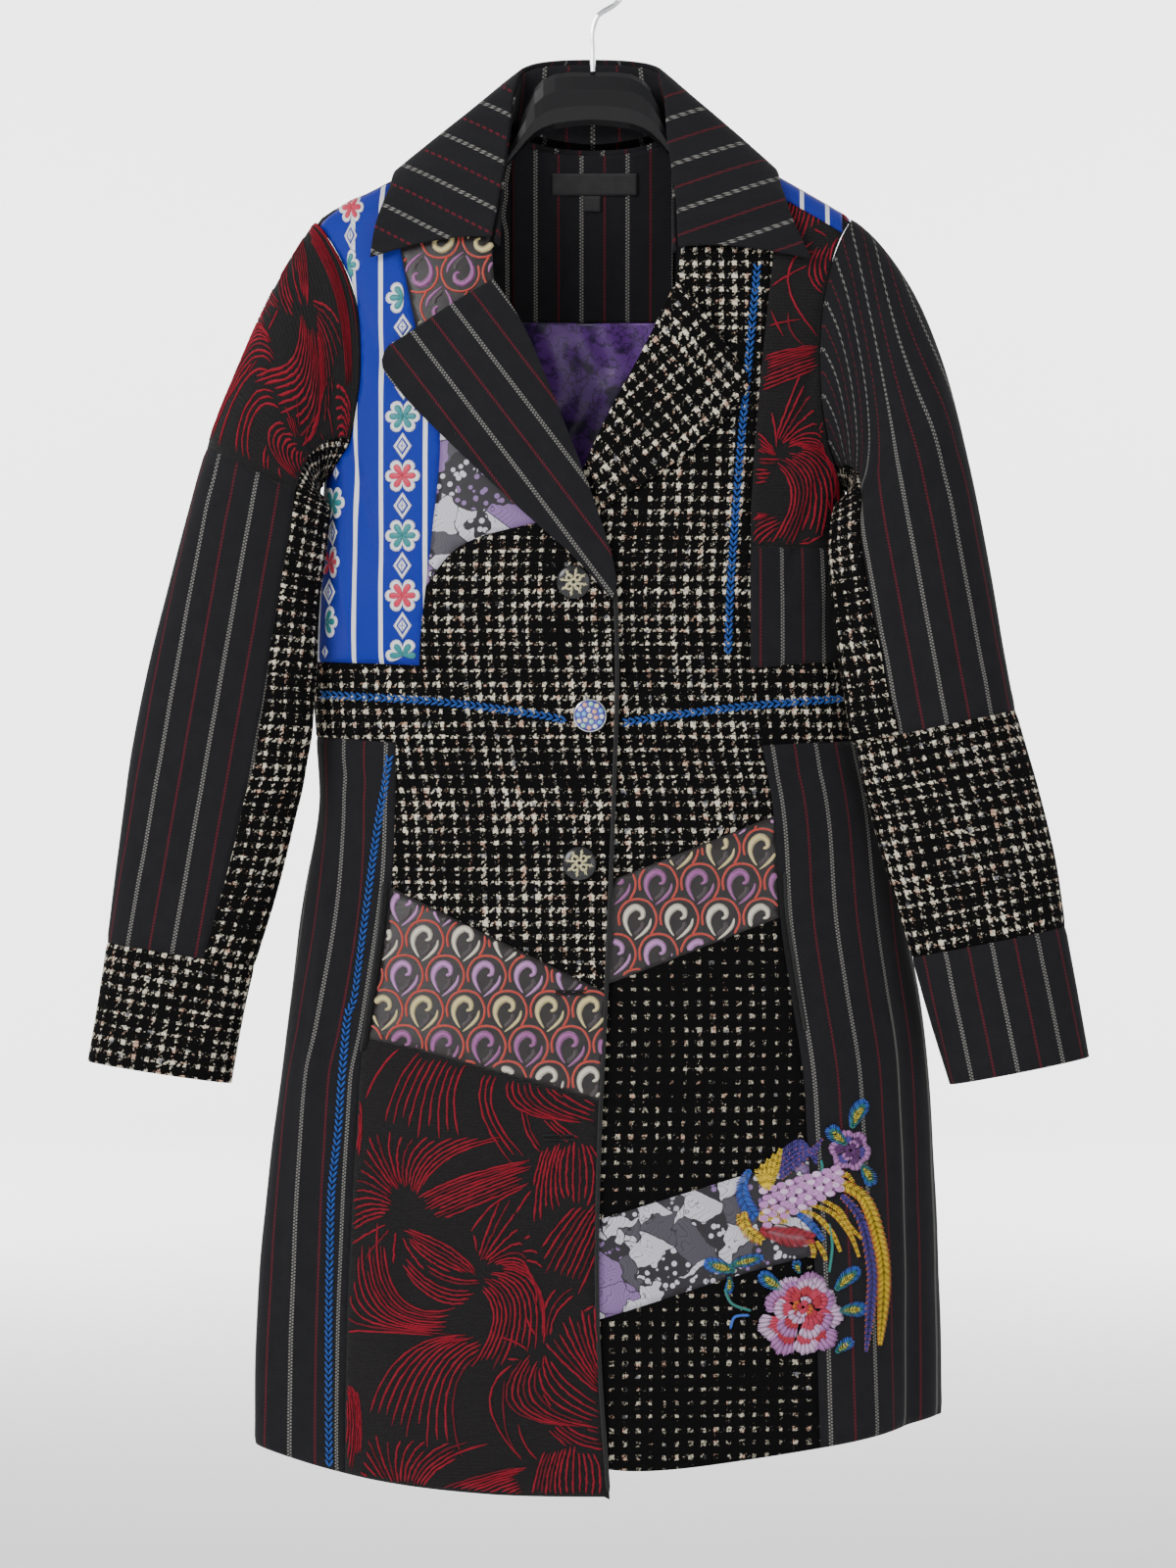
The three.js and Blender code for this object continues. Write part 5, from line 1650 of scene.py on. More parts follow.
@dataclass
class Sleeve:
    """One sleeve, from the armhole's seam to the cuff."""

    table: Table
    armhole: Table
    front_seam: Pair
    back_seam: float
    pieces: list[tuple]

    def armhole_point(self, part: float) -> Vector:
        """Place on the armhole's seam at a part of the ring, in degrees.

        Args:
            part: Degrees round the ring, as in place.

        Returns:
            The place.
        """
        first, last = self.armhole.keys[0], self.armhole.keys[-1]
        drop = lerp(first, last, (1 - math.cos(math.radians(part))) / 2)
        turn = Skin.turn(self.armhole.read("x", drop), drop)
        return Skin.place(turn if part <= 180 else 180 - turn, drop)

    def place(self, at: float, part: float, lift: float = 0.0) -> Vector:
        """Place on the sleeve.

        Args:
            at: The ring, 0 at the armhole and 14 at the cuff.
            part: Degrees round the ring: 0 outside, 90 in front, 180 inside.
            lift: How far off the cloth.

        Returns:
            The place in millimetres.
        """
        part %= 360
        read = self.table.read
        out = Vector((read("outX", at), read("midY", at), -read("outDrop", at)))
        inn = Vector((read("inX", at), read("midY", at), -read("inDrop", at)))
        reach = (out - inn) / 2
        angle = math.radians(part)
        half = read("half", at)
        crease = self.crease(at, part)
        p = (out + inn) / 2 + reach * math.cos(angle)
        p.y -= half * math.sin(angle)
        away = Vector((reach.x / max(reach.length, 1) * math.cos(angle), -math.sin(angle),
                       reach.z / max(reach.length, 1) * math.cos(angle)))
        weight = read("armhole", at)
        if weight > 0:
            p = p.lerp(self.armhole_point(part), weight)
        fade = smoothstep(0.0, 1.2, at)
        return p + away * (crease * fade + lift)

    @staticmethod
    def crease(at: float, part: float) -> float:
        """How far the sleeve's creases move the cloth out.

        Args:
            at: The ring.
            part: Degrees round the ring, as in place.

        Returns:
            The distance.
        """
        total = 0.0
        for a0, p0, a1, p1, width, depth in SLEEVE_CREASES:
            ax, ay = part - p0, (at - a0) * CREASE_RING
            bx, by = p1 - p0, (a1 - a0) * CREASE_RING
            t = min(max((ax * bx + ay * by) / (bx * bx + by * by), 0), 1)
            away = math.hypot(ax - bx * t, ay - by * t)
            if away < CREASE_REACH * width:
                total += depth * math.exp(-(away / width) ** 2) * (0.3 + 0.7 * math.sin(math.pi * t))
        return total

    def build(self) -> None:
        """Build each piece of the sleeve."""
        for piece in self.pieces:
            self.build_piece(*piece)

    def grain(self, row: Sequence[Vector], runs: Sequence[float]) -> float:
        """Give where a straight grain line down the front crosses a row.

        Args:
            row: The row's points.
            runs: How far along the row each point lies.

        Returns:
            How far along the row the line crosses it.
        """
        low, high = self.place(13, 90), self.place(5, 90)
        middle = sum(p.y for p in row) / len(row)
        gaps = [p.x - lerp(high.x, low.x, (p.z - high.z) / (low.z - high.z)) for p in row]
        for j in range(len(row) - 1):
            if gaps[j] * gaps[j + 1] <= 0 and row[j].y < middle:
                return lerp(runs[j], runs[j + 1], gaps[j] / (gaps[j] - gaps[j + 1] or 1.0))
        front = [j for j in range(len(row)) if row[j].y < middle]
        return runs[min(front, key=lambda j: abs(gaps[j]))]

    def build_piece(self, node: str, finish: str, rings: Pair, under: str, shift: float) -> None:
        """Build one piece between two rings: the upper or under part, or the whole tube.

        Args:
            node: The node that it stands for.
            finish: The cloth's finish.
            rings: Its first and last ring.
            under: Which part it is: upper, under or whole.
            shift: How far its weave is moved.
        """
        count = max(int((rings[1] - rings[0]) * 7), 8)
        columns = {"upper": 54, "under": 26, "whole": 80}[under]
        whole = under == "whole"
        outer, uvs = [], []
        length = 0.0
        before = None
        for i in range(count + 1):
            at = lerp(rings[0], rings[1], i / count)
            front = lerp(self.front_seam[0], self.front_seam[1], at / CUFF_RING)
            start, end = {"upper": (self.back_seam - 360, front), "under": (front, self.back_seam),
                          "whole": (-124.0, 236.0)}[under]
            spine = self.place(at, 90)
            if before is not None:
                length += (spine - before).length
            before = spine
            row, row_uv = [], []
            run = 0.0
            last = None
            for j in range(columns if whole else columns + 1):
                part = lerp(start, end, j / columns)
                rim = not whole and j in (0, columns) or i in (0, count)
                p = self.place(at, part, -0.7 if rim and not (i == count and rings[1] >= CUFF_RING) else 0.0)
                if last is not None:
                    run += (p - last).length
                last = p
                row.append(p)
                row_uv.append(run)
            if whole:
                row_uv.append(run + (row[0] - last).length)
            base = self.grain(row, row_uv) if under == "upper" else row_uv[len(row_uv) // 2]
            uvs.append([(u - base + shift, length) for u in row_uv])
            outer.append(row)
        normals = grid_normals(outer, whole)
        middle = sum((p for p in outer[count // 2]), Vector()) / len(outer[0])
        probe = len(outer[0]) // 2
        sign = 1 if normals[count // 2][probe].dot(outer[count // 2][probe] - middle) > 0 else -1
        inner = [[p - n * sign * CLOTH for p, n in zip(row, line)] for row, line in zip(outer, normals)]
        obj = grid_shell(node + "_cloth", outer, inner, uvs, finish, whole)
        if rings[1] >= CUFF_RING:
            round_edges(obj, 0.7)
        dress(obj, SLOT_OF[finish], [node])
        width = max(abs(uvs[0][-1][0] - uvs[0][0][0]), abs(uvs[-1][-1][0] - uvs[-1][0][0]))
        declare_sheet(obj, (width, length))


def make_sleeves() -> list[Sleeve]:
    """Build both sleeves.

    Returns:
        The right sleeve and the left one.
    """
    right = Sleeve(RIGHT_SLEEVE, RIGHT_ARMHOLE, (132, 106), 236, [
        ("right_sleeve_plume", "plume_ground", (0, 5), "upper", 0.0),
        ("right_sleeve_stripe", "pinstripe", (5, 12), "upper", 4.0),
        ("right_sleeve_under", "tweed", (0, 12), "under", 0.0),
        ("right_sleeve_cuff", "tweed", (12, 14), "whole", 0.0),
    ])
    left = Sleeve(LEFT_SLEEVE, LEFT_ARMHOLE, (154, 100), 236, [
        ("left_sleeve_stripe", "pinstripe", (0, 9), "upper", -4.0),
        ("left_sleeve_under", "tweed", (0, 9), "under", 0.0),
        ("left_sleeve_patch", "tweed", (9, 12), "whole", 0.0),
        ("left_sleeve_cuff", "pinstripe", (12, 14), "whole", 2.0),
    ])
    for sleeve in (right, left):
        sleeve.build()
    return [right, left]


@dataclass
class Collar:
    """The deep collar: a stand inside and a fall that turns over it."""

    stations: int = 110
    across: int = 22

    def places(self, name: str) -> list[Vector]:
        """Points of one line of the collar, end to end.

        Args:
            name: The line's name.

        Returns:
            The points.
        """
        points = []
        for i in range(self.stations + 1):
            at = 10 * i / self.stations
            points.append(Vector((COLLAR.read(name + "X", at), COLLAR.read(name + "Y", at),
                                  -COLLAR.read(name + "Drop", at))))
        return points

    def fall_point(self, fold: Vector, edge: Vector, t: float) -> Vector:
        """Place across the fall, from its fold at 0 to its edge at 1.

        Args:
            fold: Place on the fold.
            edge: Place on the edge.
            t: Share of the way.

        Returns:
            The place.
        """
        reach = edge - fold
        control = fold + reach * 0.36 + Vector((0, 0, 0.10 * reach.length))
        return fold * (1 - t) ** 2 + control * (2 * t * (1 - t)) + edge * t * t

    def build(self) -> None:
        """Build the fall and the stand."""
        folds, edges, seams = self.places("fold"), self.places("edge"), self.places("seam")
        fall = []
        for k in range(self.across + 1):
            t = k / self.across
            row = []
            for i, (fold, edge) in enumerate(zip(folds, edges)):
                p = self.fall_point(fold, edge, t)
                wave = 0.5 * math.sin(i * 0.33) * math.sin(math.pi * t)
                row.append(p + Vector((0, 0, wave)))
            fall.append(row)
        self.along = self._lengths(fall)
        uvs = [[self.stripe(i, p) for i, p in enumerate(row)] for row in fall]
        normals = grid_normals(fall, False)
        sign = 1 if normals[5][self.stations // 2].y > 0 else -1
        inner = [[p - n * sign * COLLAR_CLOTH for p, n in zip(row, line)] for row, line in zip(fall, normals)]
        obj = grid_shell("collar_fall_cloth", fall, inner, uvs, "pinstripe")
        round_edges(obj, 1.2)
        dress(obj, "pinstripe_wool", ["collar_fall"])
        declare_sheet(obj, (470, 115))
        stand, stand_uvs = [], []
        for k in range(9):
            row = []
            for seam, fold in zip(seams, folds):
                reach = fold - seam
                row.append(seam + reach * (lerp(1.2, reach.length - 4.6, k / 8) / reach.length))
            stand.append(row)
            stand_uvs.append([(a * 0.55, k * 5.0) for a in self.along])
        stand_normals = grid_normals(stand, False)
        away = 1 if stand_normals[2][self.stations // 2].y > 0 else -1
        stand_inner = [[p - n * away * 1.8 for p, n in zip(row, line)]
                       for row, line in zip(stand, stand_normals)]
        obj = grid_shell("collar_stand_cloth", stand, stand_inner, stand_uvs, "pinstripe")
        dress(obj, "pinstripe_wool", ["collar_stand"])
        declare_sheet(obj, (330, 60))

    def stripe(self, i: int, p: Vector) -> Pair:
        """Weave place on the fall: across the back by its length, in front by lines that rise outward.

        Args:
            i: Station along the collar.
            p: Place on the fall.

        Returns:
            The weave place.
        """
        away = abs(10 * i / self.stations - 5)
        side = 1 if self.along[i] > 0 else -1
        slope = math.radians(20 if side > 0 else 28)
        planar = -p.z * math.cos(slope) + side * p.x * math.sin(slope)
        u = lerp(abs(self.along[i]), planar - 62, smoothstep(0.5, 2.0, away))
        return (side * u, -p.z)

    @staticmethod
    def _lengths(fall: list[list[Vector]]) -> list[float]:
        """Running length along the middle of the fall.

        Args:
            fall: Rows of the fall's points.

        Returns:
            The lengths, 0 in the middle.
        """
        middle = [a.lerp(b, 0.5) for a, b in zip(fall[0], fall[-1])]
        lengths = [0.0]
        for a, b in zip(middle, middle[1:]):
            lengths.append(lengths[-1] + (b - a).length)
        half = lengths[len(lengths) // 2]
        return [value - half for value in lengths]


@dataclass
class Lapel:
    """One lapel, turned back from its roll line."""

    node: str
    roll: list[Pair]
    edge: list[Pair]
    finish: str
    grain: float
    under: bool
    along: int = 44
    across: int = 20

    def lift(self, t: float, width: float) -> float:
        """Height of the lapel's underside over the front, from the roll at 0 to the edge at 1."""
        return 0.5 + min(width * 0.06, 4) * math.sin(math.pi * min(t + 0.18, 1)) ** 1.5

    def place(self, x: float, drop: float, height: float) -> Vector:
        """Place over the front that carries this lapel."""
        return on_under(x, drop, height) if self.under else on_front(x, drop, height)

    def top(self, u: float, t: float) -> tuple[Vector, float, float]:
        """Top of the lapel at a share of its length and width, with its x and drop.

        Args:
            u: Share of its length.
            t: Share of its width.

        Returns:
            The place, its x and its drop.
        """
        (rx, rd), (ex, ed) = self._at(self.roll_run, u), self._at(self.edge_run, u)
        x, drop = lerp(rx, ex, t), lerp(rd, ed, t)
        return self.place(x, drop, self.lift(t, math.hypot(ex - rx, ed - rd)) + LAPEL_CLOTH), x, drop

    @staticmethod
    def _at(run: list[Pair], u: float) -> Pair:
        """Point of a run at a share of its count.

        Args:
            run: The run's points.
            u: The share.

        Returns:
            The point.
        """
        at = u * (len(run) - 1)
        i = min(int(at), len(run) - 2)
        return (lerp(run[i][0], run[i + 1][0], at - i), lerp(run[i][1], run[i + 1][1], at - i))

    def build(self) -> None:
        """Build the lapel."""
        self.roll_run = self._even(smooth_run(self.roll, 2.0))
        self.edge_run = self._even(smooth_run(self.edge, 2.0))
        c, s = math.cos(math.radians(self.grain)), math.sin(math.radians(self.grain))
        outer, inner, uvs = [], [], []
        for k in range(self.across + 1):
            t = k / self.across
            top, foot, line = [], [], []
            for i in range(self.along + 1):
                p, x, drop = self.top(i / self.along, t)
                (rx, rd), (ex, ed) = self.roll_run[i * 4], self.edge_run[i * 4]
                if self.under:
                    limit = OVER_OPENING.read("x", drop) + 0.8
                    if x < limit:
                        x = limit
                        p = self.place(x, drop, self.lift(t, math.hypot(ex - rx, ed - rd)) + LAPEL_CLOTH)
                top.append(p)
                foot.append(self.place(x, drop, self.lift(t, math.hypot(ex - rx, ed - rd))))
                line.append((c * x - s * drop, s * x + c * drop))
            outer.append(top)
            inner.append(foot)
            uvs.append(line)
        obj = grid_shell(self.node + "_cloth", outer, inner, uvs, self.finish)
        round_edges(obj, 1.1)
        dress(obj, SLOT_OF[self.finish], [self.node])
        span = math.dist(self.roll[0], self.roll[-1])
        declare_sheet(obj, (max(math.dist(self.roll[0], self.edge[1]) * 1.25, 70), span * 1.15))

    def _even(self, run: list[Pair]) -> list[Pair]:
        """Space a run's points evenly, four for each step along the lapel.

        Args:
            run: The run's points.

        Returns:
            The evenly spaced points.
        """
        lengths = [0.0]
        for a, b in zip(run, run[1:]):
            lengths.append(lengths[-1] + math.dist(a, b))
        count = self.along * 4
        even, k = [], 0
        for i in range(count + 1):
            want = lengths[-1] * i / count
            while k < len(run) - 2 and lengths[k + 1] < want:
                k += 1
            t = (want - lengths[k]) / max(lengths[k + 1] - lengths[k], 1e-9)
            even.append((lerp(run[k][0], run[k + 1][0], t), lerp(run[k][1], run[k + 1][1], t)))
        return even


RIGHT_LAPEL = Lapel("right_lapel", RIGHT_ROLL, RIGHT_LAPEL_EDGE, "pinstripe", 37.0, False)
LEFT_LAPEL = Lapel("left_lapel", LEFT_ROLL, LEFT_LAPEL_EDGE, "tweed", 40.0, True)


class Inside:
    """What shows inside the neck: facing, lining, label and size tab."""

    def patch(self, node: str, sides: Pair, top: Callable[[float], float], foot: float, inset: float,
              thick: float, finish: str, cells: tuple[int, int], wave: float = 0.0) -> bpy.types.Object:
        """Build a thin wall inside the back.

        Args:
            node: The node it stands for.
            sides: Its left and right x.
            top: Drop of its top edge at an x.
            foot: Drop of its lower edge.
            inset: How far it lies in from the back's outer face.
            thick: Its thickness.
            finish: The cloth's finish.
            cells: Columns and rows.
            wave: Height of its wrinkles.

        Returns:
            The wall.
        """
        outer, inner, uvs = [], [], []
        for i in range(cells[1] + 1):
            rows = ([], [], [])
            for j in range(cells[0] + 1):
                x = lerp(sides[0], sides[1], j / cells[0])
                drop = lerp(top(x), foot, i / cells[1])
                turn = 180 - Skin.turn(x, drop)
                ripple = wave * (math.sin(x * 0.16 + 1.4 * math.sin(drop * 0.06)) * 0.6
                                 + math.sin(drop * 0.13 + x * 0.05) * 0.4 + 1)
                normal = Skin.normal(turn, drop)
                base = Skin.raw(turn, drop)
                rows[0].append(base - normal * (inset + ripple * 0.5))
                rows[1].append(base - normal * (inset + thick + ripple))
                rows[2].append((x, drop))
            outer.append(rows[0])
            inner.append(rows[1])
            uvs.append([(x + 7.8, drop) for x, drop in rows[2]])
        obj = grid_shell(node + "_cloth", outer, inner, uvs, finish)
        dress(obj, SLOT_OF[finish], [node])
        declare_sheet(obj, (sides[1] - sides[0], foot - top((sides[0] + sides[1]) / 2)))
        return obj

    def build(self) -> None:
        """Build all four."""
        under = CLOTH + 0.7
        on_facing = under + THIN_CLOTH + 0.4
        self.patch("neck_facing", (-56, 56), lambda x: 136 - 12 * (x / 66) ** 2, 249.5, under, THIN_CLOTH,
                   "pinstripe", (60, 60))
        self.patch("lining", (-96, 90), lambda x: 250.0, 400, under, THIN_CLOTH, "lining", (110, 90), 2.6)
        self.patch("neck_label", (-28.5, 31), lambda x: 147.0, 162, on_facing, 0.8, "label_tape", (30, 8))
        self.patch("size_tab", (-6.5, 5.5), lambda x: 162.4, 173, on_facing, 0.8, "label_tape", (8, 6))


class Hanger:
    """The moulded hanger and its plated hook, kept as the frame's own nodes."""

    def build(self) -> None:
        """Dress both nodes."""
        body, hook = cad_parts["hanger_body"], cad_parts["hanger_hook"]
        for node, finish in ((body, "hanger_black"), (hook, "plating")):
            node.data.materials.clear()
            node.data.materials.append(CLOTHS.get(finish))


Surface = Callable[[float, float, float], Vector]
Keep = Callable[[float, float], bool]


def by_drop(points: Sequence[Pair]) -> Callable[[float], float]:
    """Read a seam's x at a drop."""
    table = Table("drop x", sorted((d, x) for x, d in points))
    return lambda drop: table.read("x", drop)


def by_x(points: Sequence[Pair]) -> Callable[[float], float]:
    """Read a seam's drop at an x."""
    table = Table("x drop", sorted(points))
    return lambda x: table.read("drop", x)


@dataclass(frozen=True)
class Region:
    """A patch seen from the front, between two sides, a top and a foot."""

    left: Callable[[float], float]
    right: Callable[[float], float]
    top: Callable[[float], float]
    foot: Callable[[float], float]
    margin: float = 1.2

    def __call__(self, x: float, drop: float) -> bool:
        """Say whether a place lies inside.

        Args:
            x: Place across the coat, as seen from the front.
            drop: Distance down from the rail.

        Returns:
            True inside.
        """
        m = self.margin
        return (self.left(drop) + m < x < self.right(drop) - m
                and self.top(x) + m < drop < self.foot(x) - m)


class Relief:
    """Raised work laid on a surface, gathered into one object: yarns and small pads."""

    def __init__(self, surface: Surface, keep: Keep | None = None) -> None:
        """Start with nothing laid.

        Args:
            surface: Gives a place for an x, a drop and a lift.
            keep: Says where work may lie, or None for anywhere.
        """
        self.surface = surface
        self.keep = keep
        self.verts: list[Vector] = []
        self.faces: list[list[int]] = []
        self.slots: list[int] = []
        self.materials: list[bpy.types.Material] = []

    def _slot(self, material: bpy.types.Material) -> int:
        """Slot of a material, added the first time.

        Args:
            material: Its colour.

        Returns:
            The slot's number.
        """
        if material not in self.materials:
            self.materials.append(material)
        return self.materials.index(material)

    def yarn(self, path: Sequence[Pair], width: float | Sequence[float], height: float,
             material: bpy.types.Material, lift: float = 0.05, taper: float = 0.4) -> None:
        """Lay a yarn along a path, where work may lie.

        Args:
            path: Its places.
            width: Its width, or a width for each place.
            height: How far its crown stands up.
            material: Its colour.
            lift: Height of its foot over the surface.
            taper: Share of its width left at its ends.
        """
        widths = [width] * len(path) if isinstance(width, (int, float)) else list(width)
        run: list[tuple[Pair, float]] = []
        for p, w in [*zip(path, widths), (None, 0.0)]:
            if p is not None and (self.keep is None or self.keep(*p)):
                run.append((p, w))
                continue
            if len(run) > 1:
                self._lay(run, height, self._slot(material), lift, taper)
            run = []

    def _lay(self, run: list[tuple[Pair, float]], height: float, slot: int, lift: float,
             taper: float) -> None:
        """Lay one unbroken run of yarn.

        Args:
            run: Places with their widths.
            height: How far its crown stands up.
            slot: Its material's slot.
            lift: Height of its foot.
            taper: Share of its width left at its ends.
        """
        first = len(self.verts)
        last = len(run) - 1
        for i, ((x, d), w) in enumerate(run):
            (x0, d0), (x1, d1) = run[max(i - 1, 0)][0], run[min(i + 1, last)][0]
            length = max(math.hypot(x1 - x0, d1 - d0), 1e-6)
            share = taper if i in (0, last) else 1.0
            nx, nd = -(d1 - d0) / length * w * share / 2, (x1 - x0) / length * w * share / 2
            self.verts += [self.surface(x + nx, d + nd, lift), self.surface(x - nx, d - nd, lift),
                           self.surface(x, d, lift + height * share)]
        for i in range(last):
            a, b = first + 3 * i, first + 3 * i + 3
            for j, k in ((0, 2), (2, 1), (1, 0)):
                self.faces.append([a + j, b + j, b + k, a + k])
                self.slots.append(slot)
        a, b = first, first + 3 * last
        self.faces += [[a, a + 2, a + 1], [b, b + 1, b + 2]]
        self.slots += [slot, slot]

    def pad(self, outline: Sequence[Pair], height: float, material: bpy.types.Material,
            lift: float = 0.05) -> None:
        """Lay a small rounded pad, if all of it may lie there.

        Args:
            outline: The places round it.
            height: How far its middle stands up.
            material: Its colour.
            lift: How far off the surface.
        """
        if self.keep is not None and not all(self.keep(*p) for p in outline):
            return
        area = sum(a[0] * b[1] - b[0] * a[1] for a, b in zip(outline, [*outline[1:], outline[0]]))
        ring = list(outline) if area > 0 else list(reversed(outline))
        count = len(ring)
        cx, cd = sum(p[0] for p in ring) / count, sum(p[1] for p in ring) / count
        first = len(self.verts)
        self.verts += [self.surface(x, d, lift) for x, d in ring]
        self.verts += [self.surface(lerp(cx, x, PAD_SHOULDER), lerp(cd, d, PAD_SHOULDER),
                                    lift + height * PAD_RISE)
                       for x, d in ring]
        self.verts.append(self.surface(cx, cd, lift + height))
        slot = self._slot(material)
        for i in range(count):
            j = (i + 1) % count
            self.faces.append([first + j, first + i, first + count + i, first + count + j])
            self.faces.append([first + count + j, first + count + i, first + 2 * count])
            self.slots += [slot, slot]
        self.faces.append([first + i for i in range(count)])
        self.slots.append(slot)

    def stitch(self, a: Pair, b: Pair, width: float, material: bpy.types.Material, lift: float = 0.5,
               height: float = 0.7) -> None:
        """Lay one straight stitch with a rounded back."""
        path = [(lerp(a[0], b[0], t), lerp(a[1], b[1], t)) for t in (0, 0.33, 0.67, 1)]
        self.yarn(path, width, height, material, lift, 0.5)

    def finish(self, name: str, slot: str, nodes: Iterable[str] = ()) -> bpy.types.Object:
        """Make the object.

        Args:
            name: Its name.
            slot: Its material slot in the record.
            nodes: The nodes that it stands for.

        Returns:
            The object.
        """
        obj = make_mesh(name, self.verts, self.faces, None, self.materials, self.slots)
        obj.data.uv_layers.new(name="cloth")
        face_out(obj)
        return dress(obj, slot, nodes)


def sleeve_surface(sleeve: Sleeve) -> Surface:
    """Use a sleeve as a surface: x runs round it and drop along it, in millimetres."""
    return lambda x, d, lift: sleeve.place(d / RING_LENGTH, x / ROUND_LENGTH, lift)


@dataclass
class Plumes:
    """Red chenille plumes: fans of yarns that curl from a root, in a repeat."""

    width: float = 190.0
    height: float = 204.0
    yarn: float = 1.65
    crowd: float = 1.3
    rise: float = 0.9
    square: float = 3.2
    steps: int = 16
    red: tuple = (0.33, 0.004, 0.022, 1)
    deep: tuple = (0.17, 0.003, 0.014, 1)
    # how many yarns, then the start, bend and tip of the first, middle and last one
    fans: tuple = (
        (17, (46, 132, 30, 132, 14, 146), (52, 114, 40, 96, 34, 82), (66, 118, 74, 92, 112, 82)),
        (8, (62, 122, 80, 108, 120, 98), (70, 128, 92, 116, 124, 104), (80, 134, 100, 126, 128, 114)),
        (8, (44, 138, 32, 142, 14, 154), (58, 146, 70, 160, 92, 168), (54, 140, 84, 146, 100, 162)),
        (6, (60, 152, 78, 170, 100, 172), (56, 158, 76, 180, 96, 180), (52, 164, 72, 190, 92, 190)),
        (17, (106, 162, 112, 142, 122, 118), (118, 166, 150, 162, 152, 200), (104, 176, 128, 192, 108, 224)),
        (5, (112, 160, 124, 140, 136, 122), (118, 158, 134, 144, 138, 140), (120, 162, 142, 158, 148, 164)),
        (9, (94, 192, 50, 206, 43, 162), (94, 204, 30, 214, 27, 158), (90, 212, 20, 208, 12, 212)),
        (18, (94, 210, 40, 202, 13, 226), (104, 212, 74, 218, 62, 262), (140, 224, 98, 244, 126, 282)),
        (8, (140, 222, 108, 258, 146, 268), (148, 226, 130, 256, 168, 268), (152, 222, 160, 242, 188, 258)),
        (10, (152, 82, 144, 98, 141, 126), (166, 80, 158, 100, 162, 114), (180, 82, 192, 96, 186, 116)),
        (8, (186, 112, 168, 118, 148, 144), (188, 120, 176, 134, 162, 164), (192, 124, 192, 140, 180, 168)),
        (8, (188, 250, 172, 238, 157, 222), (190, 244, 178, 226, 172, 206), (192, 240, 188, 220, 188, 200)),
        (6, (8, 244, 14, 260, 10, 286), (14, 246, 22, 262, 18, 290), (20, 250, 26, 262, 24, 284)),
    )

    def lay(self, relief: Relief, origin: Pair, tiles: Sequence[Pair], seed: int) -> None:
        """Lay the plumes over some repeats.

        Args:
            relief: Where they are laid.
            origin: Place of the first repeat's corner.
            tiles: Columns and rows of the repeats.
            seed: Makes the yarns' unevenness.
        """
        rng = random.Random(seed)
        bright = CLOTHS.yarn("chenille", self.red, roughness=0.95, sheen=0.0, vary=0.6)
        dark = CLOTHS.yarn("chenille_deep", self.deep, roughness=0.95, sheen=0.0, vary=0.6)
        taken: dict[tuple[int, int], int] = {}
        fan = 0
        for shift in (0.0, 0.5):
            for column, row in tiles:
                ox, od = origin[0] + (column + shift) * self.width, origin[1] + (row + shift) * self.height
                for strands, *arms in self.fans:
                    fan += 1
                    for i in range(round(strands * self.crowd)):
                        t = 2 * i / (round(strands * self.crowd) - 1)
                        low, high = (arms[0], arms[1]) if t < 1 else (arms[1], arms[2])
                        marks = [lerp(a, b, t % 1 if t < 2 else 1) for a, b in zip(low, high)]
                        path = self._run(marks, (ox, od), rng, taken, fan)
                        if len(path) > 4:
                            widths = [self.yarn * rng.uniform(0.6, 1.15) for _ in path]
                            relief.yarn(path, widths, self.rise, bright if rng.random() < 0.8 else dark)

    def _run(self, marks: Sequence[float], corner: Pair, rng: random.Random,
             taken: dict[tuple[int, int], int], fan: int) -> list[Pair]:
        """Give one yarn's places, which end where another fan lies.

        Args:
            marks: The yarn's start, bend and tip.
            corner: Corner of its repeat.
            rng: Makes its unevenness.
            taken: Which fan lies on each small square so far.
            fan: Number of this yarn's fan.

        Returns:
            The places, few or none where no room is left.
        """
        sx, sd, bx, bd, tx, td = marks
        start, end = rng.uniform(0.0, 0.16), rng.uniform(1.08, 1.26)
        path: list[Pair] = []
        for k in range(self.steps + 1):
            s = lerp(start, end, k / self.steps)
            x = corner[0] + (1 - s) ** 2 * sx + 2 * s * (1 - s) * bx + s * s * tx
            d = corner[1] + (1 - s) ** 2 * sd + 2 * s * (1 - s) * bd + s * s * td
            if taken.setdefault((int(x // self.square), int(d // self.square)), fan) == fan:
                path.append((x + rng.uniform(-0.3, 0.3), d + rng.uniform(-0.3, 0.3)))
            elif path:
                break
        return path


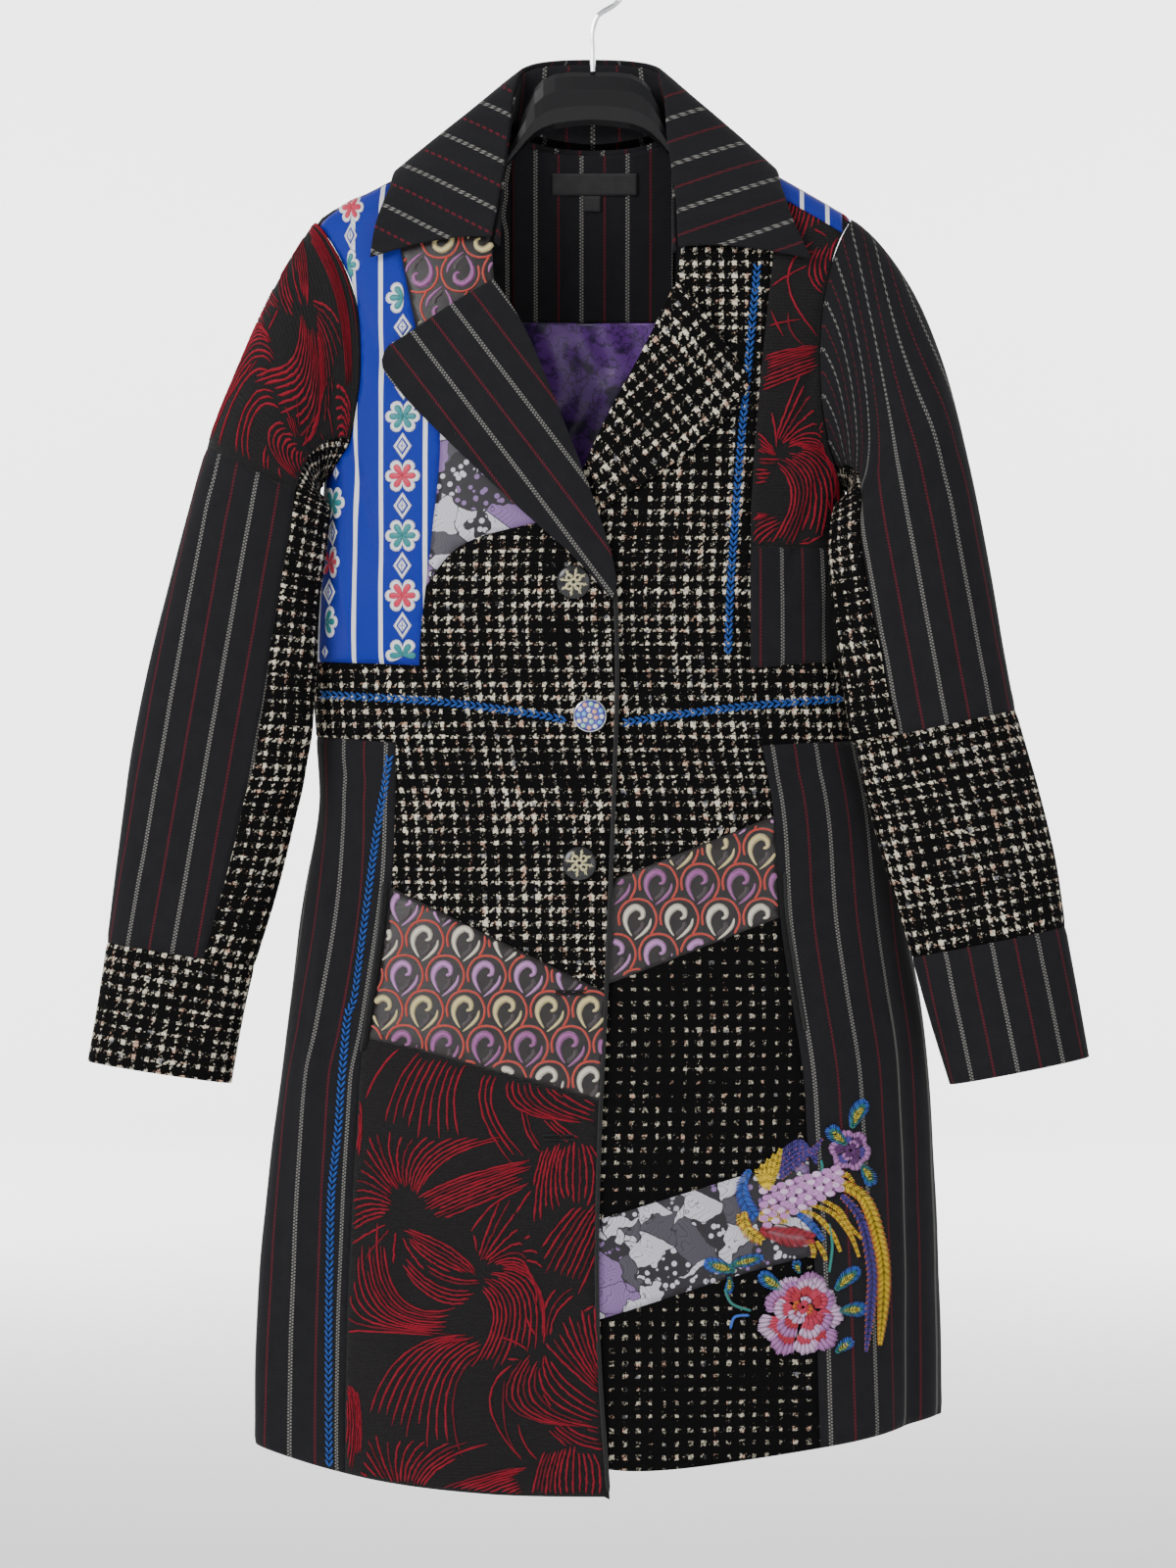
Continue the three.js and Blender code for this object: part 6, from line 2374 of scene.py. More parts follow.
@dataclass
class Paisley:
    """Drops with a curled head under a coral arch, in rows of one colour each."""

    column: float = 28.2
    row: float = 23.6
    arch: tuple = ((-12, 5), (-12.5, -3), (-8, -10.5), (0, -13), (8, -10.5), (12.5, -3), (12.5, 4), (9, 11))
    curl: tuple = ((0.5, 0.5), (3.6, -1), (3.2, -5.4), (-1.5, -7.6), (-6.6, -4), (-8.2, 2), (-6.2, 8),
                   (-3.6, 12))
    curl_widths: tuple = (1.8, 3.2, 4.4, 4.9, 4.4, 3.2, 2.2, 0.8)
    leaf: tuple = ((9.2, 0), (8, 5), (3.8, 10), (-2, 14.5))
    heart: tuple = ((3.6, 2.4), (3.2, 6), (0.4, 9), (-2.2, 11))
    coral: tuple = (0.52, 0.035, 0.018, 1)

    def lay(self, relief: Relief, origin: Pair, cells: tuple[int, int], colors: Sequence[str],
            flip: bool = False) -> None:
        """Lay rows of drops.

        Args:
            relief: Where they are laid.
            origin: Place of the first drop.
            cells: Columns and rows.
            colors: Names of the rows' colours, by turns.
            flip: Whether the drops stand on their heads.
        """
        shades = {
            "cream": CLOTHS.yarn("floss_cream", (0.62, 0.52, 0.24, 1), roughness=0.4),
            "white": CLOTHS.yarn("floss_white", (0.66, 0.61, 0.50, 1), roughness=0.4),
            "lilac": CLOTHS.yarn("floss_lilac", (0.46, 0.20, 0.48, 1), roughness=0.4),
            "mauve": CLOTHS.yarn("floss_mauve", (0.30, 0.085, 0.27, 1), roughness=0.4),
        }
        coral = CLOTHS.yarn("floss_coral", self.coral, roughness=0.45)
        dull = CLOTHS.yarn("floss_dull", (0.05, 0.035, 0.040, 1), roughness=0.5)
        turn = -1 if flip else 1
        for j in range(cells[1]):
            shade = shades[colors[j % len(colors)]]
            for i in range(cells[0]):
                cx = origin[0] + (i + (0.5 if j % 2 else 0)) * self.column
                cd = origin[1] + j * self.row

                def moved(points: Sequence[Pair]) -> list[Pair]:
                    """Move a stroke to its drop."""
                    return smooth_run([(cx + turn * x, cd + turn * d) for x, d in points], 1.1)

                arch = moved(self.arch)
                relief.yarn(arch, 1.75, 0.55, coral)
                curl = moved(self.curl)
                table = Table("at width", list(enumerate(self.curl_widths)))
                widths = [table.read("width", 7 * k / (len(curl) - 1)) for k in range(len(curl))]
                relief.yarn(curl, widths, 0.6, shade)
                leaf = moved(self.leaf)
                count = len(leaf) - 1
                relief.yarn(leaf, [0.6 + 1.9 * math.sin(math.pi * (k / count) ** 0.8)
                                   for k in range(count + 1)], 0.5, shade)
                relief.yarn(moved(self.heart), 3.0, 0.25, dull)


@dataclass
class BraidMotifs:
    """White-edged flowers and lozenges down the braid's columns."""

    step: float = 40.6
    white: tuple = (0.72, 0.73, 0.78, 1)
    petal: float = 12.2

    def lay(self, relief: Relief, columns: Sequence[float], first: float, count: int) -> None:
        """Lay the columns.

        Args:
            relief: Where they are laid.
            columns: The columns' x.
            first: Drop of the first flower.
            count: How many flowers.
        """
        white = CLOTHS.yarn("braid_white", self.white, roughness=0.45, vary=0.15)
        blue = CLOTHS.yarn("braid_blue", (0.006, 0.022, 0.36, 1))
        fills = [CLOTHS.yarn("braid_teal", (0.01, 0.22, 0.24, 1)),
                 CLOTHS.yarn("braid_red", (0.62, 0.02, 0.07, 1))]
        for column, place in enumerate(columns):
            squeeze = 1.0 if column == 0 else 0.72
            for i in range(count):
                d = first + i * self.step + (0 if column == 0 else 17)
                x = place if column == 0 else place - 0.06 * (d - 203)
                fill = fills[(i + column) % 2]
                for side in (-1, 1):
                    for lean in (-56, 0, 56):
                        self._petal(relief, x, d, side, lean, squeeze, white, fill)
                half = self.step / 2
                wide, tall = 6.4 * squeeze, 9.5
                for size, material, lift in ((1.0, white, 0.15), (0.66, blue, 0.55), (0.46, white, 0.85)):
                    relief.pad([(x + wide * size, d + half), (x, d + half + tall * size),
                                (x - wide * size, d + half), (x, d + half - tall * size)], 0.3, material,
                               lift)
                relief.stitch((x, d + half - 3.6), (x, d + half + 3.6), 0.7, blue, 1.1, 0.2)
                relief.stitch((x - 2 * squeeze, d + half), (x + 2 * squeeze, d + half), 0.7, blue, 1.1, 0.2)

    def _petal(self, relief: Relief, x: float, d: float, side: int, lean: float, squeeze: float,
               white: bpy.types.Material, fill: bpy.types.Material) -> None:
        """Lay one petal: a white rounded leaf with a coloured heart.

        Args:
            relief: Where the work is laid.
            x: The flower's x.
            d: The flower's drop.
            side: 1 to the left of the wearer, -1 to the right.
            lean: Degrees that it leans.
            squeeze: How narrow it is drawn.
            white: The leaf's colour.
            fill: The heart's colour.
        """
        angle = math.radians(lean)
        c, s = math.cos(angle) * side, math.sin(angle)
        for length, wide, material, lift in ((self.petal, 5.0, white, 0.1),
                                             (self.petal * 0.76, 2.7, fill, 0.45)):
            outline = []
            for k in range(14):
                a = 2 * math.pi * k / 14
                along = length * (0.5 - 0.5 * math.cos(a))
                across = wide * math.sin(a) * (0.35 + 0.65 * along / length) * 1.15
                outline.append((x + (along * c - across * s * side) * squeeze,
                                d + along * s + across * c * side))
            relief.pad(outline, 0.35, material, lift)


def chain(relief: Relief, path: Sequence[Pair], material: bpy.types.Material, pitch: float = 4.1) -> None:
    """Lay a line of chain stitches: pairs of leaning loops, one after another.

    Args:
        relief: Where it is laid.
        path: The line's places.
        material: The thread's colour.
        pitch: Length of one pair.
    """
    run = smooth_run(path, 0.5)
    travelled = 0.0
    for a, b in zip(run, run[1:]):
        travelled += math.dist(a, b)
        if travelled < pitch:
            continue
        travelled = 0.0
        length = max(math.dist(a, b), 1e-6)
        tx, td = (b[0] - a[0]) / length, (b[1] - a[1]) / length
        for side in (-1, 1):
            foot = (a[0] + tx * 1.2, a[1] + td * 1.2)
            head = (a[0] - td * side * 2.5 - tx * 3.4, a[1] + tx * side * 2.5 - td * 3.4)
            relief.stitch(foot, head, 1.8, material, 0.1, 1.2)


FRONT_REGION = {
    "plume": Region(by_drop(OVER_SEAMS["side"]), lambda d: OVER_EDGE.read("x", d),
                    by_x(OVER_SEAMS["paisleyFoot"]),
                    lambda x: OVER_HEM.read("drop", x)),
    "paisley": Region(by_drop(OVER_SEAMS["side"]), lambda d: OVER_EDGE.read("x", d),
                      by_x(OVER_SEAMS["paisleyTop"]),
                      by_x(OVER_SEAMS["paisleyFoot"])),
    "chest": Region(by_drop(OVER_SEAMS["braid"]), by_drop(RIGHT_ROLL), lambda x: 160.0,
                    by_x(OVER_SEAMS["chest"])),
    "braid": Region(lambda d: RIGHT_ARMHOLE.read("x", d) if d < 366 else -186.0, by_drop(OVER_SEAMS["braid"]),
                    lambda x: 160.0, lambda x: 488.0, 0.6),
}
UNDER_REGION = {
    "paisley": Region(lambda d: OVER_EDGE.read("x", d) + 0.5, by_drop(UNDER_SEAMS["side"]),
                      by_x(UNDER_SEAMS["paisleyTop"]), by_x(UNDER_SEAMS["paisleyFoot"])),
    "plume": Region(by_drop(UNDER_SEAMS["plume"]), lambda d: LEFT_ARMHOLE.read("x", d) if d < 366 else 200.0,
                    lambda x: 150.0, lambda x: 409.5),
}


class ShoulderBraid:
    """The end of the blue braid that laps over the wearer's left shoulder."""

    width: float = 13.5

    def build(self) -> None:
        """Build the lap."""
        ridge = Table("x drop", [(96, 138), (127, 154), (145, 164), (166, 176), (178, 183)])
        outer, inner, uvs = [], [], []
        for i in range(9):
            rows = ([], [], [])
            for j in range(31):
                x = lerp(118, 170, j / 30)
                drop = ridge.read("drop", x) + 1.6 + self.width * i / 8
                rows[0].append(on_under(x, drop, 1.3))
                rows[1].append(on_under(x, drop, 0.4))
                rows[2].append((x * 1.15 + 8, drop * 1.6))
            outer.append(rows[0])
            inner.append(rows[1])
            uvs.append(rows[2])
        obj = grid_shell("shoulder_braid_lap", outer, inner, uvs, "braid")
        dress(obj, "blue_braid")
        declare_sheet(obj, (62, self.width * 1.6))


class Motifs:
    """The raised patterns of the cloths and the lines of coloured stitches."""

    def build(self, sleeves: Sequence[Sleeve]) -> None:
        """Lay every pattern.

        Args:
            sleeves: The right sleeve and the left one.
        """
        plumes, paisley, flowers = Plumes(), Paisley(), BraidMotifs()
        rows = (
            ("right_skirt_plumes", "plume_boucle", on_front, FRONT_REGION["plume"], plumes,
             ((-183, 730), [(0, -1), (0, 0), (0, 1)], 3)),
            ("left_chest_plumes", "plume_boucle", on_under, UNDER_REGION["plume"], plumes,
             ((18, 176), [(0, -1), (0, 0), (1, -1), (1, 0)], 5)),
            ("right_sleeve_plumes", "plume_boucle", sleeve_surface(sleeves[0]),
             lambda x, d: -88 < x < (132 - d * 0.04) * ROUND_LENGTH - 1 and 3 < d < 213, plumes,
             ((-66, -70), [(-1, 0), (0, 0), (-1, 1), (0, 1)], 8)),
            ("right_skirt_drops", "paisley_satin", on_front, FRONT_REGION["paisley"], paisley,
             ((-156, 652), (8, 6), ["lilac", "white", "lilac", "cream", "mauve", "white"])),
            ("left_skirt_drops", "paisley_satin", on_under, UNDER_REGION["paisley"], paisley,
             ((16, 590), (6, 6), ["lilac", "cream", "mauve", "white", "lilac"])),
            ("right_chest_drops", "paisley_satin", on_front, FRONT_REGION["chest"], paisley,
             ((-118, 176), (4, 5), ["mauve", "cream", "mauve"], True)),
            ("right_shoulder_flowers", "blue_braid", on_front, FRONT_REGION["braid"], flowers,
             ((-129, -167), 158.4, 9)),
        )
        for name, slot, surface, keep, pattern, layout in rows:
            relief = Relief(surface, keep)
            pattern.lay(relief, *layout)
            relief.finish(name, slot)
        self.build_lines()

    def build_lines(self) -> None:
        """Lay the chain stitches, the front edge's cord, the buttonholes and the pocket slits."""
        blue = CLOTHS.yarn("chain_blue", (0.010, 0.085, 0.40, 1), roughness=0.6, sheen=0.0)
        black = CLOTHS.yarn("edge_black", (0.006, 0.006, 0.007, 1), roughness=0.8, sheen=0.05)
        # slit: a near-black yarn laid along the openings of the buttonholes and pocket slits, as a painted
        # shadow in the gap.
        slit = CLOTHS.yarn("slit_shadow", (0.0015, 0.0015, 0.0015, 1), roughness=1.0, sheen=0.0)
        over = Relief(on_front)
        chain(over, [(-187, 509), (-150, 511.5), (-100, 515), (-40, 523), (-16, 528)], blue)
        chain(over, [(-138, 550), (-148, 610), (-163, 710), (-169, 731), (-175, 802), (-180, 847),
                     (-182, 897),
                     (-183.5, 964), (-184, 1033)], blue)
        over.finish("over_front_chain", "pinstripe_wool")
        under = Relief(on_under)
        chain(under, [(20, 529), (60, 523), (110, 517), (172, 512)], blue)
        chain(under, [(112, 216), (107, 268), (102, 320), (97, 380), (93, 440), (91.5, 482)], blue)
        under.finish("under_front_chain", "tweed_boucle")
        edge = Relief(on_front)
        run = [(OVER_EDGE.read("x", d) - 0.6, d) for d in range(438, 1048, 4)]
        edge.yarn(run, 3.0, 1.1, black, 0.0)
        for x, d in ((-15, 711), (-23, 808)):
            hole = [(x + k, d + 0.3 * math.sin(k)) for k in range(-10, 10)]
            # painted shadow along the buttonhole's opening
            edge.yarn(hole, 1.2, 0.1, slit, 1.5)
            for k in range(-10, 11):
                for side in (-1, 1):
                    edge.stitch((x + k, d + side * 0.7), (x + k + 0.3, d + side * 2.1), 1.05, black, 0.7, 0.6)
        edge.finish("front_edge_cord", "pinstripe_wool")
        for name, surface, seam in (("right_pocket", on_front,
                                     [(-139.5, 637), (-143, 670), (-150, 715), (-156, 752)]),
                                    ("left_pocket", on_under,
                                     [(127.5, 630), (129, 660), (135, 700), (141.5, 737)])):
            pocket = Relief(surface)
            run = smooth_run(seam, 3)
            count = len(run) - 1
            # a lens of near-black yarn along the slit, as its painted shadow
            pocket.yarn(run, [1.2 + 2.4 * math.sin(math.pi * k / count) for k in range(count + 1)], 0.25,
                        slit, 0.1)
            side = -2.6 if seam[0][0] < 0 else 2.6
            pocket.yarn([(x + side, d) for x, d in run], 2.6, 0.9, black, 0.0)
            pocket.finish(name + "_slit", "pinstripe_wool")


@dataclass
class Embroidery:
    """A long-tailed bird, a peony and a blossom worked in glossy thread."""

    corner: Pair = (-3.3, 770.3)
    thread: float = 1.1

    def at(self, x: float, d: float) -> Pair:
        """Place of a point given from the embroidery's corner."""
        return (self.corner[0] + x, self.corner[1] + d)

    def build(self) -> None:
        """Work the three motifs."""
        shade = {
            "yellow": (0.86, 0.60, 0.010, 1), "orange": (0.62, 0.13, 0.010, 1),
            "violet": (0.060, 0.034, 0.30, 1),
            "blue": (0.015, 0.12, 0.60, 1), "lilac": (0.46, 0.19, 0.48, 1), "pink": (0.56, 0.03, 0.085, 1),
            "red": (0.45, 0.012, 0.035, 1), "teal": (0.006, 0.20, 0.17, 1), "plum": (0.10, 0.012, 0.13, 1),
            "lemon": (0.68, 0.55, 0.03, 1), "pale": (0.66, 0.45, 0.68, 1),
        }
        self.threads = {name: CLOTHS.yarn("thread_" + name, color, roughness=0.38, sheen=0.1, vary=0.3)
                        for name, color in shade.items()}
        # Each thread colour also gets a _deep copy at half its brightness: this is painted shade, laid on
        # every third stitch so that the strands stand apart.
        self.threads |= {name + "_deep": CLOTHS.yarn("thread_" + name + "_deep",
                                                     tuple(c * 0.5 for c in color[:3]) + (1,),
                                                     roughness=0.42, sheen=0.05, vary=0.3)
                         for name, color in shade.items()}
        self.build_bird()
        self.build_flower()
        self.build_blossom()

    def feather(self, relief: Relief, spine: Sequence[Pair], widths: Sequence[float], color: str,
                edge: str | None = None, lift: float = 0.5) -> None:
        """Work a feather: leaning stitches on both sides of a spine.

        Args:
            relief: Where it is worked.
            spine: The spine's places, from its root.
            widths: Half widths along the spine.
            color: The stitches' colour.
            edge: Colour of the stitches' outer ends.
            lift: Height of the stitches' feet.
        """
        run = smooth_run([self.at(*p) for p in spine], 1.3)
        table = Table("at width", list(enumerate(widths)))
        last = len(run) - 1
        for i in range(0, last):
            (ax, ad), (bx, bd) = run[i], run[i + 1]
            length = max(math.hypot(bx - ax, bd - ad), 1e-6)
            tx, td = (bx - ax) / length, (bd - ad) / length
            half = table.read("width", (len(widths) - 1) * i / last)
            for side in (-1, 1):
                tip = (ax - td * side * half + tx * half * 0.8, ad + tx * side * half + td * half * 0.8)
                # Every third stitch takes the thread's _deep copy, which is painted shade between the
                # strands.
                relief.stitch((ax, ad), tip, self.thread,
                              self.threads[color + ("_deep" if i % 3 == 1 else "")], lift)
                if edge and i % 3 == 0:
                    mid = (lerp(ax, tip[0], 0.6), lerp(ad, tip[1], 0.6))
                    far = (lerp(ax, tip[0], 1.12), lerp(ad, tip[1], 1.12))
                    relief.stitch(mid, far, self.thread * 0.8, self.threads[edge], lift + 0.3)

    def petal(self, relief: Relief, root: Pair, angle: float, length: float, half: float,
              colors: tuple[str, str], lift: float) -> None:
        """Work a petal: a fan of stitches in two colours, from its root to a round edge.

        Args:
            relief: Where the work is laid.
            root: Place of its root.
            angle: Degrees in which it points.
            length: Its length.
            half: Half its width.
            colors: Its inner and its outer colour.
            lift: Height of the stitches' feet.
        """
        count = max(int(half * 1.8), 6)
        rng = random.Random(int(angle * 7 + length))
        for i in range(count + 1):
            a = math.radians(angle + (i / count - 0.5) * 2 * math.degrees(math.atan2(half, length * 0.8)))
            reach = length * (0.84 + 0.16 * math.sin(math.pi * i / count)) * rng.uniform(0.95, 1.03)
            split = rng.uniform(0.64, 0.78)
            c, s = math.cos(a), math.sin(a)
            near = (root[0] + 0.15 * reach * c, root[1] + 0.15 * reach * s)
            mid = (root[0] + split * reach * c, root[1] + split * reach * s)
            far = (root[0] + reach * c, root[1] + reach * s)
            # Every third stitch takes the _deep copies, which are painted shade between the strands.
            tone = "_deep" if i % 3 == 1 else ""
            relief.stitch(near, mid, self.thread * 1.15, self.threads[colors[0] + tone], lift)
            relief.stitch((lerp(near[0], mid[0], 0.85), lerp(near[1], mid[1], 0.85)), far, self.thread * 1.3,
                          self.threads[colors[1] + tone], lift + 0.15)

    def leaf(self, relief: Relief, root: Pair, tip: Pair, half: float, lift: float = 0.4) -> None:
        """Work a leaf: blue outside, teal within and a lemon heart.

        Args:
            relief: Where the work is laid.
            root: Place of its root.
            tip: Place of its tip.
            half: Half its width.
            lift: Height of the stitches' feet.
        """
        middle = (lerp(root[0], tip[0], 0.5) + (tip[1] - root[1]) * 0.08, lerp(root[1], tip[1], 0.5))
        spine = [root, middle, tip]
        self.feather(relief, spine, [half * 0.4, half, half * 0.9, 0.8], "blue", None, lift)
        self.feather(relief, [root, middle, (lerp(root[0], tip[0], 0.86), lerp(root[1], tip[1], 0.86))],
                     [half * 0.3, half * 0.72, half * 0.6, 0.5], "teal", None, lift + 0.45)
        self.feather(relief, [(lerp(root[0], tip[0], 0.2), lerp(root[1], tip[1], 0.2)), middle,
                              (lerp(root[0], tip[0], 0.75), lerp(root[1], tip[1], 0.75))],
                     [0.6, half * 0.42, half * 0.34, 0.4], "lemon", None, lift + 0.9)

    def stem(self, relief: Relief, path: Sequence[Pair], color: str = "teal") -> None:
        """Work a stem."""
        relief.yarn(smooth_run([self.at(*p) for p in path], 1.5), 2.0, 1.0, self.threads[color], 0.3)

    def build_bird(self) -> None:
        """Work the bird with its long tail."""
        r = Relief(on_under)
        for k in range(6):
            self.feather(r, [(130, 66 - k * 3.2), (144, 55 - k * 3.4 + k * 0.8),
                             (158 - k * 1.2 + k * k * 0.1, 40 + k * 3.4)],
                         [1.7, 2.0, 0.7], "violet", "orange" if k % 3 == 0 else None, 0.4)
        for k in range(5):
            self.feather(r, [(122, 74), (116 + k * 2.6, 64 - k * 0.5), (114.5 + k * 4.0, 60 - k * 3.4)],
                         [2.2, 2.8, 1.2],
                         "yellow", None, 0.9)
        self.feather(r, [(110, 60), (105, 70), (107, 82), (114, 92)], [2.2, 4.6, 5.2, 3.0], "blue",
                     "violet", 0.5)
        self.feather(r, [(118, 88), (136, 80), (152, 73), (168, 67)], [8.5, 11.0, 8.5, 5.0], "lilac", None,
                     0.3)
        for row in range(6):
            for k in range(9):
                s = k / 8
                x = lerp(119, 166, s) + (row % 2) * 2.4
                d = lerp(86, 67, s) + (row - 2.5) * lerp(4.6, 2.7, s)
                disc = [self.at(x + 3.3 * math.cos(a), d + 2.4 * math.sin(a))
                        for a in (2 * math.pi * n / 12 for n in range(12))]
                r.pad(disc, 0.5, self.threads["lilac" if (row + k) % 3 else "pale"], 0.9)
                rim = [self.at(x + 3.1 * math.cos(a), d + 2.2 * math.sin(a))
                       for a in (-1.4, -0.7, 0.0, 0.7, 1.4)]
                r.yarn(rim, 0.8, 0.5, self.threads["pale" if (row + k) % 3 else "lilac"], 1.3)
        self.feather(r, [(116, 94), (124, 90), (134, 92)], [4.0, 6.2, 3.6], "yellow", None, 0.7)
        self.feather(r, [(117, 100), (134, 105), (152, 107)], [3.4, 7.0, 2.6], "red", None, 0.8)
        self.feather(r, [(106, 88), (108, 100), (118, 108)], [2.4, 4.6, 2.4], "yellow", "orange", 0.8)
        self.feather(r, [(102, 90), (103, 96), (107, 100)], [1.0, 2.2, 1.4], "yellow", "orange", 0.6)
        self.feather(r, [(142, 90), (151, 98), (158, 108)], [2.0, 2.6, 1.4], "blue", "violet", 0.5)
        for path in ([(144, 88), (154, 92), (164, 104), (169, 116)],
                     [(150, 84), (164, 90), (175, 104), (181, 120)],
                     [(156, 80), (168, 88), (174, 98), (183, 108)], [(149, 108), (152, 114), (152, 120)],
                     [(154, 109), (158, 116), (160, 122)], [(164, 72), (172, 64), (178, 70)]):
            self.feather(r, path, [1.2, 1.9, 0.9], "yellow", "orange", 0.5)
        self.feather(r, [(170, 78), (183, 96), (190, 130), (188, 158), (185, 184)], [2.2, 3.6, 4.0, 3.4, 0.8],
                     "violet", "orange", 0.4)
        self.feather(r, [(168, 70), (184, 80), (194, 104), (199, 134), (195, 180)], [3.6, 5.0, 5.2, 4.6, 1.2],
                     "yellow", "orange", 0.5)
        r.finish("bird_stitches", "embroidery_thread", ["bird_applique"])

    def build_flower(self) -> None:
        """Work the peony with its stems and leaves."""
        r = Relief(on_under)
        self.stem(r, [(162, 130), (164, 112), (162, 97)])
        self.stem(r, [(93, 140), (98, 150), (111, 155)])
        self.stem(r, [(110, 158), (100, 159), (97, 167)], "blue")
        for root, tip, half in (((100, 128), (79, 122), 5), ((97, 124), (119, 119), 4),
                                ((96, 132), (95, 143), 3),
                                ((132, 141), (117, 130), 5), ((143, 130), (141, 122), 3),
                                ((166, 142), (181, 128), 5),
                                ((168, 156), (185, 155), 5), ((166, 184), (176, 176), 4)):
            self.leaf(r, root, tip, half)
        rings = (  # centre, distance, petals, first angle, length, half width, colours, height
            ((144, 159), 8, 9, 8, 21, 10, ("red", "lilac", "pink", "pale"), 0.5),
            ((146, 154), 5, 7, 30, 17, 8.5, ("pink", "pale", "red", "lilac"), 1.0),
            ((147, 150), 3, 5, 60, 12.5, 7, ("red", "pale", "red", "pink"), 1.5),
            ((145, 153), 0, 4, 20, 7.5, 4, ("pink", "pale", "red", "orange"), 2.0),
        )
        rng = random.Random(31)
        for centre, away, count, first, length, half, colors, lift in rings:
            for k in range(count):
                angle = first + 360 * k / count + rng.uniform(-9, 9)
                c, s = math.cos(math.radians(angle)), math.sin(math.radians(angle))
                root = self.at(centre[0] + away * c, centre[1] + away * s)
                pair = colors[:2] if k % 2 else colors[2:]
                self.petal(r, root, angle, length * rng.uniform(0.86, 1.08), half, pair,
                           lift + 0.12 * (k % 2))
        r.finish("flower_stitches", "embroidery_thread", ["flower_applique"])

    def build_blossom(self) -> None:
        """Work the blossom with its leaves."""
        r = Relief(on_under)
        self.stem(r, [(157, 54), (158, 60), (156, 63)])
        for root, tip, half in (((177, 33), (187, 15), 5.5), ((183, 58), (191, 72), 5)):
            self.leaf(r, root, tip, half)
        centre = self.at(176, 48)
        for k in range(6):
            angle = 60 * k + 10
            root = (centre[0] + 3 * math.cos(math.radians(angle)),
                    centre[1] + 3 * math.sin(math.radians(angle)))
            self.petal(r, root, angle, 11.5, 6.5, ("plum" if k % 2 else "violet", "lilac"), 0.6)
        for k in range(4):
            self.petal(r, centre, 90 * k + 30, 7.5, 3.8, ("plum", "lilac" if k % 2 else "plum"), 1.2)
        self.leaf(r, (173, 44), (162, 32), 5, 1.4)
        r.finish("blossom_stitches", "embroidery_thread", ["blossom_applique"])


class Trim(Enum):
    """What covers a button's dome."""

    ROSETTE = "rosette"
    MOSAIC = "mosaic"


